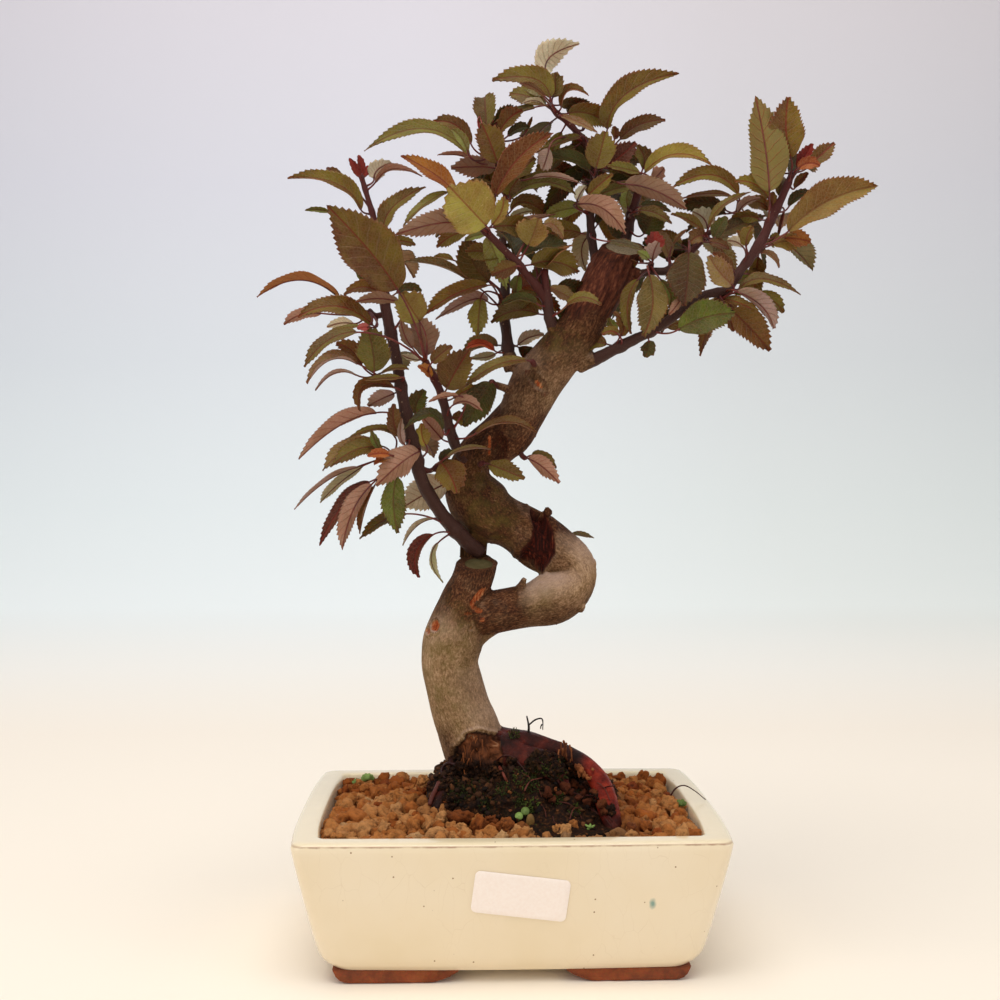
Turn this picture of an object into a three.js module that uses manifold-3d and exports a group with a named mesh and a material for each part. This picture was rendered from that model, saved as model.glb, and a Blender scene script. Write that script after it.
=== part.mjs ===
// Apple bonsai in a glazed rectangular pot. Millimetres, +Z up, front of the pot towards -Y.
// Working heights count from a level just over the soles of the pot's feet, and x and y from the
// pot's middle. The finished group is moved so that it stands on z = 0, with the middle of its own
// bounding box at x = 0, y = 0.
import * as THREE from 'three';
import Module from 'manifold-3d';

const wasm = await Module();
wasm.setup();

// Driving dimensions
const CLEARANCE = 0.35;
const POT_BASE = 2.4;
const FOOT_FRONT = 55;
const FOOT_DEPTH = 17;
const DRAIN_X = 38;
const DRAIN_RADIUS = 6;
const DRAIN_SIDES = 8;
const FLOOR_TOP = 10;
const NET_WIDTH = 20;
const NET_THICKNESS = 1;
const SOIL_BOTTOM = 12.2;
const SOIL_LEVEL = 52.5;
const SOIL_MOUND = 4.5;
// Middle and half-sizes in plan of that low mound, and the ring above the soil that its sides rise to
const SOIL_CROWN = { x: -4, y: 6, length: 62, depth: 46 };
const SOIL_BRIM = [77.8, 54.9, 4, 75];
const GRANULE_PITCH = 8;
const GRANULE_RELIEF = 2.2;
const GRANULE_COLUMNS = 25;
const GRANULE_ROWS = 18;
const PETIOLE_HALF_WIDTH = 0.55;
const PETIOLE_THICKNESS = 1.0;
const BLADE_THICKNESS = 0.7;
const BLADE_FOLD = 0.24;
const LEAF_SPACING = 2;
const ROOT_DEPTH = 1.3;
const TRUNK_SIDES = 9;
const ROOT_SIDES = 6;

// Pot rings: half-length, half-depth, corner radius, height.
// Outside from the underside up over the rim, then inside from the rim down to the floor
const POT_OUTSIDE = [
  [72.5, 53.8, 9, POT_BASE], [76.2, 56.2, 9, 5.4], [78.8, 57.6, 9, 9.6],
  [88.2, 64.8, 5, 53.6], [87.5, 64.1, 5, 55.6], [85.6, 62.2, 5, 56.4],
];
const POT_INSIDE = [
  [78.6, 55.7, 4, 56.4], [77.4, 54.5, 4, 55.2], [73.6, 50.7, 5, 24], [70.5, 47.5, 6, 13.6],
  [67, 44, 6, FLOOR_TOP],
];
const SIDE_BOW = 2.2;
const FRONT_BOW = 0.8;
// Foot outline seen from the front: x from the pot's middle, height over the pot's base
const FOOT_OUTLINE = [[21, 0.5], [24, -1.2], [30.5, -5], [67.8, -5], [71.4, -2.1], [72.3, 0.5]];

// Blank paper label on the front wall: centre, length, width, thickness, turn in degrees
const LABEL = { x: 2.9, z: 34.7, length: 38, width: 17.5, thick: 0.6, turn: -7.2, corner: 2 };

// Viewing point: twigs and leaves are laid out as seen from here. A point is given by x and z
// on the upright plane through the pot's middle and by its depth y, and it keeps its line of
// sight when its depth changes.
const EYE = new THREE.Vector3(-19.8, -563.5, 200.7);

// Trunk, stump, upper trunk and surface roots: rows of x, z, depth, radius
const TRUNK = [
  [[-9, 46, 0, 13], [-12, 70, 0, 14.2], [-13.8, 77, 0, 13.8], [-15.8, 84, 0, 13.8],
    [-18.2, 91, 0, 13.6], [-21.2, 99, 0, 13.1], [-25.3, 115, 0, 12.3],
    [-25.4, 122, 0, 12.5], [-23.8, 130, 0, 12.9], [-19.4, 146, 0, 10.2],
    [-17, 153, 0, 8.9], [-15.3, 160, 0, 8.5], [-14.8, 165, 0, 8.1]],
  [[-22, 137, 0, 10], [-12, 139.5, 0, 9.6], [8, 143.3, 2, 9.5],
    [15, 145, 3, 11], [21, 147.2, 4, 11.8], [26.8, 151.5, 5, 11], [29.3, 157.5, 6, 9.9],
    [27, 163, 7, 10.4], [16.5, 169.8, 9, 12.4], [11, 173.5, 10, 12.2],
    [5, 177.5, 11, 11.3], [-1, 180.5, 12, 11], [-7, 183.3, 12, 12.8], [-12.5, 188.5, 12, 13.5],
    [-16.5, 196, 11, 11.6], [-17, 203.5, 10, 9.2], [-13, 212, 8, 8], [-5, 219, 6, 8], [3, 226, 4, 9]],
  [[-5, 206.5, 5, 4], [-2, 212.5, 5, 7], [2, 219, 4, 9.4], [9.5, 235.5, 1, 10.8],
    [13.5, 243, 0, 11.3], [19.5, 250.5, 0, 11], [30.5, 264, 0, 10.2],
    [34.5, 270.7, 1, 9.9], [38.7, 278, 2, 9.7], [42.7, 286, 3, 9.6], [46.4, 293, 4, 9.7],
    [49.6, 300.6, 5, 10]],
];
const ROOTS = [
  [[-6, 82, 0, 8], [4, 81.5, -2, 7], [13, 80.8, -4, 5.4], [21, 78.3, -7, 4.8], [29, 75, -10, 4.6],
    [36, 70.5, -14, 4.6], [40.8, 64, -18, 4.6], [43.5, 56, -22, 4.7], [46, 48, -27, 4.3],
    [48, 41, -31, 3.6], [49.5, 34, -33, 3]],
  [[-4, 80, -5, 8], [5, 75.5, -10, 6.8], [13, 73, -14, 6.4], [19.5, 69.5, -16, 5.2], [24, 63, -17, 3.8],
    [26, 55, -18, 3]],
  [[-18, 80, -3, 7], [-22.5, 71, -9, 4.6], [-27, 62, -14, 3.4], [-31, 54, -17, 2.8], [-34, 46, -19, 2.2]],
  [[-6, 82, 6, 7], [2, 78, 16, 4.8], [9, 74, 26, 3.8], [15, 66, 36, 3.2], [18, 58, 42, 2.6]],
  [[-18, 80, 5, 7], [-23, 70, 12, 4.4], [-28, 61, 19, 3.4], [-32, 53, 26, 2.8], [-35, 46, 32, 2.3]],
];
// Knobs, old pruning spurs and one dead twig on the arching root
const KNOBS = [
  [[30, 143.5, 0, 3.4], [34, 141.5, -1, 1.8]],
  [[5, 150, -2, 2.4], [7.6, 155.6, -3, 1]],
  [[15, 182, 4, 2.6], [18.8, 186, 3, 1.3]],
  [[35, 162, 4, 3.4], [39.2, 162.4, 4, 1.3]],
  [[-11.5, 210, 0, 1.6], [-9, 219.5, -3, 0.8]],
  [[8, 84, -3, 0.9], [8.8, 90, -3, 0.7], [13, 92, -4, 0.6], [15.2, 90.6, -4, 0.5]],
];
// Healed pruning wounds cut as shallow hollows: x, z, depth of centre, half-width, half-depth, half-height
const WOUNDS = [[15.4, 171.5, -5.4, 6, 5, 13.4], [13, 241.6, -11.8, 3.4, 3, 2.7]];

// Dark humus mound that holds the surface roots: x, y, half-length, half-depth, height
const MOUND_RINGS = [
  [7, -3, 42.5, 27, 38], [7, -3, 43.5, 28, 50], [6.5, -3, 42, 26.5, 57], [5.5, -3, 38.5, 23.5, 63.5],
  [3.5, -3, 33.5, 19.5, 69.5], [2, -2, 27, 15, 74.5], [0, -2, 18, 9, 78],
];
const MOUND_SIDES = 14;
const MOUND_ROUGHNESS = 0.09;

// Leafy shoots. Each has stems, rows of x, z, depth, radius, whose first piece is a stub on the
// trunk, and whorls: the stem's number, the place along it, and the leaves that start there.
// The second entry sets the leaves of the far side: their number, the place along the stem from
// which they stand, and the range of their headings in plan in degrees, 90 being straight back.
// A leaf row holds the blade's base x, z, middle x, z, tip x, z, width, turn of the upper face in
// degrees (0 faces the viewing point, 90 faces up, 180 faces away), depth of base, depth of tip
// and colour.
const SHOOTS = [
  ["shoot_left", [3, 4.4, 50, 150], [
    [[-13, 163, 1, 3.4], [-20, 172, -3, 3.2], [-27, 181, -5, 3.1], [-35, 193, -8, 3], [-39, 202, -10, 3.1],
      [-41.5, 213, -12, 2.8], [-44.3, 225, -14, 2.6], [-47, 240, -15, 2.5], [-50, 257, -15, 2.4],
      [-53.5, 273, -14, 2.4], [-55, 288, -13, 2.1], [-57, 306, -12, 1.5], [-61, 321, -11, 1.2],
      [-64.3, 332, -10, 1]],
    [[-47.5, 243, -15, 1.3], [-54, 242.8, -18, 1.2], [-59, 244.5, -20, 1.2]],
    [[-53.5, 272, -14, 1.4], [-58, 271, -12, 1.3], [-61, 273, -10, 1.2]],
    [[-41, 211, -12, 1.7], [-47, 211, -15, 1.5], [-51, 209.5, -17, 1.4]],
    [[-38.5, 203.5, -10, 1.8], [-34, 203, -9, 1.1], [-31, 205.5, -7, 1]],
  ], [
    [0, 1.6, [
      [-33, 174.8, -40.4, 166.5, -39, 155.8, 7, 35, -7, -10, "redbrown"],
      [-31, 171, -33.6, 163, -28.5, 153.5, 5, 125, -4, -4, "palegreen"],
      [-33, 182, -40.5, 178.5, -46.5, 170, 5, 112, 2, 6, "pale"],
      [-45, 184, -54, 181.5, -65.5, 173, 9, 50, -13, -16, "olive"]]],
    [4, 1.9, [
      [-27, 197.5, -36, 193, -46, 187, 15, 168, 4, 2, "pale"],
      [-29.5, 206.5, -25.5, 201, -22.5, 193, 14, 15, -9, -12, "bronze"],
      [-27, 209, -18, 213, -7.5, 212.5, 4, 60, -12, -14, "tan"]]],
    [0, 5, [[-39, 211.5, -47, 206.5, -58, 196.5, 13, 162, -18, -28, "pinktan"]]],
    [3, 1.9, [
      [-61, 198, -72, 188.5, -83, 170, 8, 35, -19, -22, "redbrown"],
      [-60, 197, -68.5, 185, -73, 168, 9, 152, -24, -32, "pinktan"],
      [-59, 196, -63, 186, -65.3, 175, 5, 60, -17, -16, "brown"],
      [-49, 200.5, -50.5, 189, -48.5, 175.5, 11, 8, -21, -23, "green"],
      [-66, 204.8, -80, 198.5, -94, 186, 6, 108, -14, -20, "tan"],
      [-64, 205, -75, 197, -82.5, 189, 7, 130, -8, -4, "palegreen"],
      [-55, 212.5, -66, 212.5, -78, 204.5, 10, 38, -18, -26, "olive"],
      [-57, 214, -70, 212.5, -81.5, 203, 11, 50, -9, -6, "tan"],
      [-49.5, 217.5, -57, 221.5, -72, 216.5, 6, 62, -15, -20, "olive"]]],
    [0, 5.4, [
      [-48, 218, -50.3, 225, -50, 232.5, 7, 15, -18, -20, "brown"]]],
    [0, 4.5, [[-36, 214, -37.8, 218, -38, 224, 7, 20, -8, -9, "yellowolive"]]],
    [0, 6.2, [
      [-58, 228.5, -74, 223, -92, 208, 10, 122, -12, -20, "pinktan"],
      [-40.5, 228, -40, 233, -36.5, 238.5, 9, 12, -7, -5, "green"]]],
    [0, 7, [
      [-50, 239.5, -63, 240, -65, 229, 6.5, 42, -21, -25, "dbrown"],
      [-50, 237, -56, 234.5, -61.5, 231.5, 8, 152, -13, -9, "tan"],
      [-47, 244, -54, 243.7, -63, 242.8, 5, 58, -23, -27, "olive"]]],
    [1, 2, [
      [-66, 250, -78, 251.8, -88.3, 241.2, 8, 68, -25, -30, "tan"],
      [-64.3, 249.6, -69, 256, -75.5, 258.6, 8.5, 25, -19, -17, "brown"],
      [-66.5, 245, -76, 246, -84.7, 238.2, 4.5, 112, -15, -13, "tan"],
      [-58.8, 246.5, -59.5, 256, -62, 266.5, 15, 12, -25, -27, "olivegreen"],
      [-55.5, 246, -49, 248, -43.5, 247.5, 4.5, 58, -20, -21, "olive"]]],
    [2, 2, [
      [-59.5, 267, -75, 275, -92, 270.3, 11, 45, -17, -22, "bronze"],
      [-82, 272, -91, 271.3, -98.3, 267, 6, 150, -12, -10, "pinktan"],
      [-74, 279, -91, 286.7, -110, 279, 9, 112, -8, -14, "redtan"],
      [-68, 267.5, -73.5, 267.8, -79.5, 266, 5, 160, -14, -10, "pale"],
      [-64, 266.5, -74, 264.5, -84.3, 259, 5.5, 65, -24, -28, "olivegreen"],
      [-61, 266, -63.5, 266, -66.2, 265.5, 4, 20, -28, -31, "red"]]],
    [0, 8.4, [[-48, 277, -57, 278.7, -67, 277, 6, 150, -22, -25, "greypink"]]],
    [0, 9.4, [
      [-56, 281, -64, 283.5, -72, 279.8, 6.5, 35, -17, -20, "brown"],
      [-49, 281, -43, 283.3, -37.8, 281.8, 4.8, 30, -9, -5, "dgreen"]]],
    [0, 10.1, [[-57, 289.5, -62, 294.5, -70, 297, 8, 30, -22, -25, "yellowolive"]]],
    [0, 11, [
      [-52, 303, -46, 303.7, -40.5, 302, 5, 30, -11, -8, "olive"],
      [-54.3, 306.8, -50.8, 318, -36, 327.5, 9.5, 42, -17, -24, "olive"]]],
    [0, 11.7, [
      [-64.5, 317.5, -75.5, 328.6, -96.5, 331, 9, 48, -12, -16, "olive"]]],
    [0, 12.5, [
      [-58, 329.5, -50, 335.5, -37.5, 332, 5.5, 120, -12, -18, "pinktan"],
      [-58.7, 331, -57, 335, -51, 338, 8, 165, -7, -4, "pale"]]],
    [0, 12.95, [
      [-65, 331.5, -67, 335.5, -69.6, 340, 4.6, 20, -12, -14, "crimson"],
      [-64, 332.5, -64.3, 337, -65.6, 341.3, 5, 20, -9, -9, "crimson"],
      [-63.2, 331.5, -62, 334, -61.5, 336.8, 3, 20, -7, -5, "crimson"]]],
  ]],
  ["shoot_mid_left", [1, 2.6, 70, 110], [
    [[-17, 207, 3, 3], [-22, 212, -3, 2.4], [-25.5, 221, -8, 2.1], [-28, 232, -12, 1.9],
      [-31.5, 242, -15, 1.7], [-36.5, 251, -18, 1.5]],
  ], [
    [0, 1.5, [
      [-29, 217, -33, 221.5, -37.5, 226.5, 9, 160, -3, -2, "pinktan"],
      [-14, 219.5, 0, 224.3, 13, 219.5, 6, 58, -15, -18, "brown"]]],
    [0, 2, [
      [-22, 236, -28, 235.7, -35, 233.3, 4.5, 120, -20, -23, "pinktan"],
      [-28.5, 220.5, -34.5, 228, -46, 221, 6.5, 48, -19, -24, "dgreen"]]],
    [0, 2.5, [
      [-24, 232, -18, 233.5, -11, 229, 5.5, 140, -17, -21, "pinktan"]]],
    [0, 3.3, [
      [-24, 235, -18.5, 238, -13.5, 240.5, 5, 30, -10, -9, "olive"],
      [-27, 239, -22.8, 247, -17, 256, 15.5, 16, -19, -24, "bronze"]]],
    [0, 5, [
      [-33.5, 250.5, -29.5, 254.3, -24.5, 257.8, 7, 25, -26, -29, "brown"],
      [-36.3, 253.3, -38, 262, -39.2, 271.5, 14, 160, -15, -17, "greypink"],
      [-42, 257, -45.3, 262.5, -47, 269, 6.5, 150, -21, -24, "greypink"],
      [-38.8, 268.5, -43, 275, -46.5, 281.3, 15, 14, -26, -30, "yellowolive"],
      [-48.5, 282.5, -60.5, 299, -79.5, 319.3, 23.5, 12, -34, -40, "bronze"],
      [-66.5, 263.8, -79, 260, -89.5, 248.5, 9, 52, -36, -40, "olive"]]],
  ]],
  ["shoot_centre", [2, 3.4, 95, 150], [
    [[2, 247, 4, 3.2], [0.3, 255, 4, 2.7], [-0.5, 263, 6, 2.4], [-1.8, 273, 8, 2.4], [-1.2, 283, 9, 2.2],
      [-1, 292, 11, 2], [-2, 303, 12, 1.6], [-1.8, 314, 13, 1.4], [-1, 322, 12, 1.2],
      [-1.8, 331, 10, 1.1], [-6, 340, 6, 1], [-9.5, 350, 3, 0.9]],
  ], [
    [0, 1.3, [
      [-6, 256, -12, 259, -19, 256.5, 5.2, 52, 0, -4, "vermilion"],
      [-5.5, 254.5, -10, 253, -17, 252.5, 5, 140, 5, 7, "palegreen"],
      [4.5, 258.5, 9.5, 261.8, 16, 263, 6.5, 150, 15, 20, "pale"]]],
    [0, 3.3, [
      [-8.3, 286, -15.5, 295, -17.5, 305.5, 15, 12, 3, 1, "dolive"],
      [-15, 285, -30, 293, -46.5, 294.5, 6, 58, 6, 1, "greygreen"],
      [-9, 284.5, -23, 280.5, -37, 271, 8.5, 40, -2, -8, "bronze"],
      [-9, 277.5, -17, 278, -32, 269.5, 7, 140, 3, -1, "tan"],
      [-12, 278.5, -12.8, 271, -13.3, 262, 9, 15, -3, -5, "olivegreen"]]],
    [0, 7.5, [
      [1.5, 317.5, 6, 321, 12.5, 319, 5, 40, 5, 3, "olive"],
      [1.5, 312, 10, 313.5, 21, 316, 4.5, 120, 6, 2, "pinktan"]]],
    [0, 8, [
      [-5.5, 324, 4.5, 340, 20, 351.5, 12.5, 28, -8, -16, "amberbrown"],
      [1, 322.8, 15, 329.8, 30, 324.5, 8.5, 38, 4, 0, "olivegreen"],
      [0.8, 324, 1.5, 327, 5, 331.5, 8, 20, -2, -4, "olive"]]],
    [0, 9, [
      [-4.5, 338, -7.8, 347, -11.5, 355.5, 13, 16, -6, -9, "bronze"],
      [2, 331.5, 7, 336, 12, 340.5, 9, 25, 4, 4, "olive"],
      [11, 331.8, 21, 332.5, 33, 329.2, 4.5, 120, -6, -8, "tan"],
      [-5.5, 336, -14, 336.5, -25, 336, 10, 162, 4, -1, "greypink"]]],
    [0, 9.9, [
      [-14, 339.5, -22, 341.7, -31, 341.5, 4, 120, 10, 11, "pinktan"],
      [-17, 341.5, -37, 352.8, -63, 343, 9, 48, -3, -12, "olivegreen"],
      [-16.3, 346.5, -23, 354.5, -33, 356, 8, 35, 3, 0, "bronze"],
      [-17.8, 343, -20.5, 349, -25, 353, 5, 20, -9, -12, "palegreen"]]],
    [0, 10.6, [
      [-3.5, 352, 1, 358, 6.5, 361, 8, 20, -1, -3, "bronze"]]],
    [0, 10.95, [
      [-12, 352.5, -12.8, 355.5, -12.3, 358.8, 2.4, 30, 4, 5, "red"],
      [-10, 353, -9.7, 356, -9, 358.3, 2.4, 30, 6, 8, "red"],
      [-8, 353, -6.5, 355, -4.8, 356.8, 3.2, 30, 6, 6, "red"]]],
  ]],
  ["shoot_pruned_twig", [0, 3, 60, 120], [
    [[23, 257, -2, 3], [19.2, 267.4, -7, 2.4], [18, 273, -8, 2.1], [17, 280, -9, 1.9], [16.3, 286, -10, 1.8],
      [16, 291.5, -10, 1.8]],
    [[17.5, 276, -8, 1.8], [12.5, 284.5, -12, 1.8], [8, 289.5, -15, 1.7], [4.5, 294, -17, 1.7],
      [-1.5, 300, -20, 1.7], [-7, 305.5, -23, 1.6], [-11, 309.5, -25, 1.4]],
  ], [
    [0, 1.6, [[26, 276, 33, 279.5, 41.5, 276, 6, 42, -16, -21, "olive"]]],
    [0, 2.4, [[13, 276.5, 5.5, 279, -4.5, 275, 5.2, 42, -12, -13, "dgreen"]]],
    [0, 3, [[17.5, 282, 15.5, 286.5, 12, 289.2, 6.5, 15, -3, -1, "green"]]],
    [1, 1, [[11.7, 294.5, 6, 301.5, -2, 301.5, 6.5, 38, -8, -4, "dgreen"]]],
    [1, 2.6, [
      [4, 293, -1, 291.5, -7.5, 289, 8, 18, -20, -16, "brown"]]],
    [1, 3.1, [
      [9, 302, 11.5, 307.5, 13.5, 314, 15, 18, -17, -19, "amber"],
      [16, 311, 20.5, 311, 24.3, 305, 6, 25, -14, -12, "tan"]]],
    [1, 5.7, [
      [-13, 310, -28, 312, -50, 306.3, 12, 158, -31, -38, "greypink"]]],
    [1, 5.95, [
      [-9.5, 310.5, -17, 318.5, -26, 328, 24, 12, -33, -38, "yellowolive"],
      [-7, 311, -2.8, 317, -2, 323.5, 7, 15, -27, -27, "yellowolive"],
      [-23.5, 325.3, -33, 333.5, -47, 341, 9.5, 38, -27, -25, "amber"],
      [-26.5, 325.3, -36, 320, -46, 310.5, 6, 55, -25, -31, "olivegreen"]]],
  ]],
  ["shoot_right", [3, 3.6, 25, 70], [
    [[31, 250, -1, 4.2], [39, 252.5, -4, 2.9], [46, 256, -7, 2.6], [56, 261, -10, 2.3], [66, 266, -12, 2.1],
      [76, 273, -13, 2], [87, 280.5, -13, 1.9], [97, 283, -12, 1.9], [102.5, 291, -11, 2],
      [109, 299.5, -10, 2.1], [113, 306, -9, 2.2], [116, 313, -8, 2], [119.5, 320, -7, 1.8],
      [123.5, 329, -6, 1.6], [126, 335, -5, 1.2]],
  ], [
    [0, 2.4, [
      [49.8, 262.5, 51, 268, 46.5, 273, 7, 30, -12, -13, "brown"]]],
    [0, 3.7, [
      [62.3, 260.5, 62.3, 257, 60.5, 253.2, 7, 12, -12, -13, "dgreen"],
      [75.5, 265.5, 88, 271, 100.5, 272.5, 15, 12, -19, -24, "green"]]],
    [0, 5.5, [
      [72.5, 274.5, 70, 270, 68, 264, 5.5, 20, -9, -8, "dgreen"]]],
    [0, 6.6, [
      [94, 279.3, 103, 277, 112.5, 272, 6.5, 50, -12, -15, "bronze"],
      [99, 274, 107, 266.5, 116.3, 256.2, 13, 15, -17, -19, "brown"]]],
    [0, 7, [
      [99.5, 285, 93.5, 291, 89, 298, 11, 18, -18, -22, "tan"],
      [102.5, 283.4, 113.5, 287.8, 130, 281, 7, 50, -13, -19, "olive"],
      [101.5, 282.3, 112.5, 276, 118, 266, 9, 140, -20, -26, "tan"],
      [111, 281, 117, 278.5, 122.3, 273, 7.5, 25, -10, -11, "olivegreen"],
      [99.8, 281.5, 107, 281.8, 115, 280.5, 5, 35, -7, -6, "green"],
      [100.5, 286, 105.5, 288.5, 112, 288, 7.5, 30, -6, -2, "green"]]],
    [0, 7.8, [
      [99.5, 292, 95.5, 296, 90.5, 299.3, 5.5, 30, -13, -15, "brown"]]],
    [0, 8.5, [
      [105.5, 302.5, 106, 307, 108.5, 311, 6.5, 25, -15, -17, "olive"]]],
    [0, 9.6, [
      [124.3, 309, 142, 322.5, 164.3, 329.3, 15, 18, -14, -20, "olivetan"],
      [122.5, 306.3, 128.5, 305.6, 134.3, 304.5, 7.5, 15, -6, -4, "amber"]]],
    [0, 11, [
      [115.8, 326.5, 113.8, 346, 109.3, 368.5, 17, 170, -15, -11, "yellowgreen"],
      [115.3, 323.5, 109, 329.7, 100.3, 330.8, 7.5, 35, -5, -5, "amberolive"]]],
    [0, 11.9, [
      [124.5, 320, 128.5, 324.5, 134.5, 326.8, 5.5, 38, -3, 0, "dgreen"]]],
    [0, 13.1, [
      [125.3, 341, 123, 354, 124, 368, 15, 12, -10, -12, "bronze"]]],
    [0, 13.95, [
      [128, 337, 131.7, 342, 135, 347.8, 6, 20, -9, -11, "crimson"],
      [128.5, 336.5, 133, 339, 138.3, 337.8, 6.5, 25, -11, -14, "orangered"],
      [132.5, 337, 138.5, 342.5, 144.7, 348, 8, 20, -4, -3, "bronze"]]],
  ]],
  ["shoot_upper_right", [2, 2.5, 60, 110], [
    [[50, 289, 4, 2.6], [59, 290, 1, 1.9], [64, 291, 0, 1.8], [71, 291.5, 0, 1.7], [78, 297, 2, 1.6],
      [84, 303, 4, 1.5], [88, 307.5, 4, 1.5]],
    [[63, 291, 0, 1.3], [63.2, 294.5, -3, 1.2]],
    [[88, 307.5, 4, 1.3], [95, 311.5, 8, 1.1], [100.5, 315, 9, 1.1], [102.5, 322, 9, 1]],
  ], [
    [1, 0.95, [
      [62.5, 289.5, 64, 276, 60, 262.5, 13.5, 10, -17, -21, "bronzegreen"],
      [57.5, 287.3, 53, 277, 54.5, 263.3, 6.5, 28, -12, -14, "olive"],
      [67.5, 287.5, 72, 280.5, 71, 274.8, 5, 20, -8, -7, "green"],
      [63.8, 296, 64.5, 299.8, 66.5, 304, 8, 155, -7, -10, "tan"],
      [65, 300, 64.8, 304, 64.5, 308.5, 9, 18, -3, -3, "crimson"]]],
    [0, 3.1, [
      [71, 297, 69.5, 303, 67, 309, 7, 25, 0, 2, "tan"]]],
    [0, 4.4, [[80, 299.5, 79.5, 288, 78, 276, 17, 8, -19, -21, "greenpurple"]]],
    [0, 5.9, [
      [86.3, 309, 80, 313.3, 72, 316.3, 5.5, 45, 1, -3, "olive"],
      [88.3, 310, 86.5, 314.5, 81.5, 317.5, 9, 165, 11, 14, "pale"],
      [89, 311, 95, 320, 107.5, 326.3, 4.8, 48, 0, -1, "olive"],
      [91, 306, 103, 312, 114, 315.8, 8, 30, 0, 1, "dolive"],
      [91.5, 305.5, 93.5, 310.5, 97, 315.3, 7, 20, -7, -9, "dgreen"],
      [86.5, 306.5, 84, 306.5, 80, 303.5, 8, 20, -4, -6, "brown"],
      [89, 304, 93.3, 303.3, 98, 301, 5.5, 35, -7, -10, "dbrown"]]],
    [2, 3, [
      [101.8, 325, 90, 333.5, 72.3, 327.8, 8.5, 38, 7, 2, "amberolive"],
      [99, 324, 90, 325.3, 77, 323.3, 4, 48, 10, 10, "brown"]]],
    [2, 2.1, [[101.7, 317, 105.5, 321.5, 112, 323.5, 5.5, 130, 5, 2, "tan"]]],
  ]],
  ["shoot_top", [2, 3.2, 60, 120], [
    [[41, 290, 8, 2.6], [38.3, 298, 12, 2.1], [37, 305, 14, 1.9], [36.3, 313, 15, 1.8], [36.5, 322, 14, 1.6],
      [38, 332, 12, 1.5], [37.5, 340, 9, 1.4], [33.5, 348, 6, 1.3], [27.5, 355, 3, 1.3],
      [21.5, 360, 0, 1.2], [18.5, 364, -2, 1.1]],
  ], [
    [0, 2.2, [
      [37, 307.5, 32.5, 301, 34.5, 291, 9, 155, 22, 24, "palegreen"],
      [44.5, 304, 52, 302.8, 61, 300.3, 5, 50, -9, -13, "greygreen"]]],
    [0, 3.4, [
      [31, 320.5, 42.5, 318.3, 52, 307.3, 11, 152, 2, -5, "pinktan"]]],
    [0, 4, [
      [35.5, 324.5, 40.5, 329, 46.3, 333.8, 7, 22, 0, -5, "amberolive"],
      [37.5, 322.5, 45, 326.6, 53, 328.6, 6, 32, 8, 6, "olivegreen"]]],
    [0, 4.8, [
      [31.5, 330.8, 22, 335.5, 13, 336, 8, 25, 17, 18, "dgreen"]]],
    [0, 5.3, [
      [36, 335, 28, 340, 14.5, 341.3, 7, 38, 3, -2, "dgreen"],
      [38.8, 336, 41, 344, 43, 352.3, 13.5, 12, -2, -5, "olive"],
      [43, 337, 50, 341.8, 56.5, 347.5, 10, 18, 2, -3, "redbrown"],
      [35.5, 337.5, 31, 342.5, 25, 345.5, 6.5, 25, 10, 10, "dolive"]]],
    [0, 6.9, [
      [32, 350, 24, 347.6, 12.5, 342.8, 4.8, 48, 1, -4, "olive"],
      [18, 344.5, 16.8, 340, 15, 335.3, 8, 158, -8, -12, "tan"]]],
    [0, 5.8, [
      [43.8, 353.5, 52.5, 369, 75.5, 378, 11.5, 36, 6, 0, "olive"],
      [49.5, 349, 58, 355.3, 69.5, 357.5, 8.5, 35, 9, 6, "brown"]]],
    [0, 8, [
      [33, 354.5, 31.5, 358, 27.5, 361, 7, 165, 10, 12, "pale"]]],
    [0, 8.9, [
      [23.5, 359, 31, 356.2, 39.5, 351.8, 4.8, 48, -4, -6, "tan"],
      [23.5, 363, 27, 370.3, 35.7, 368, 5, 52, -3, -6, "bronze"]]],
    [0, 9.9, [
      [18.5, 367, 11, 375.2, -7, 374.3, 11.5, 36, -7, -12, "olive"],
      [19.7, 367, 20.8, 372, 20.6, 378, 9, 15, -5, -5, "olive"],
      [16.8, 377, 18.8, 385, 31.5, 390.6, 12.5, 150, 1, 5, "pale"],
      [16.3, 367.3, 11, 371.3, 5, 373, 4.2, 50, -14, -17, "dbrown"]]],
  ]],
  ["shoot_behind_stump", [2, 2.6, 50, 110], [
    [[47, 288, 8, 3], [50.5, 300, 16, 2.5], [52.5, 308, 17, 2.4], [54.5, 316, 18, 2.2], [57, 324, 18, 1.9],
      [59.5, 331, 17, 1.5]],
  ], [
    [0, 1.5, [[51, 305.5, 47.5, 309.5, 43.8, 314.5, 6.5, 15, 16, 16, "dgreen"]]],
    [0, 2.2, [
      [60, 307.5, 63, 313, 63, 319, 14, 12, 9, 8, "dgreen"]]],
    [0, 3, [
      [58, 317.7, 65, 316.7, 72.5, 312, 6, 38, 3, 0, "olive"],
      [58.5, 319.5, 64.5, 320, 72, 317.3, 5, 38, 13, 14, "dgreen"]]],
    [0, 4.8, [
      [60.5, 334.5, 74, 342.5, 90, 338, 8.5, 42, 9, 4, "yellowolive"],
      [59.5, 336, 60, 341, 57, 346.5, 8, 20, 11, 12, "olive"],
      [58, 334.5, 51, 336, 43.8, 337.3, 5.5, 38, -6, -12, "olivegreen"],
      [51.5, 329.3, 65, 326.6, 79.2, 318.3, 10.5, 156, -3, -10, "greypink"]]],
  ]],
  ["leaf_long_front", [0, 1, 0, 0], [
    [[12, 247, -6, 1.6], [11.5, 250, -13.5, 1.2], [10.5, 251.4, -15.5, 1]],
  ], [[0, 1.7, [[8.5, 251.6, -6, 249, -20.5, 238.5, 7.5, 50, -16.5, -23, "olive"]]]]],
  ["leaf_dark_left", [0, 1, 0, 0], [
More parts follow.
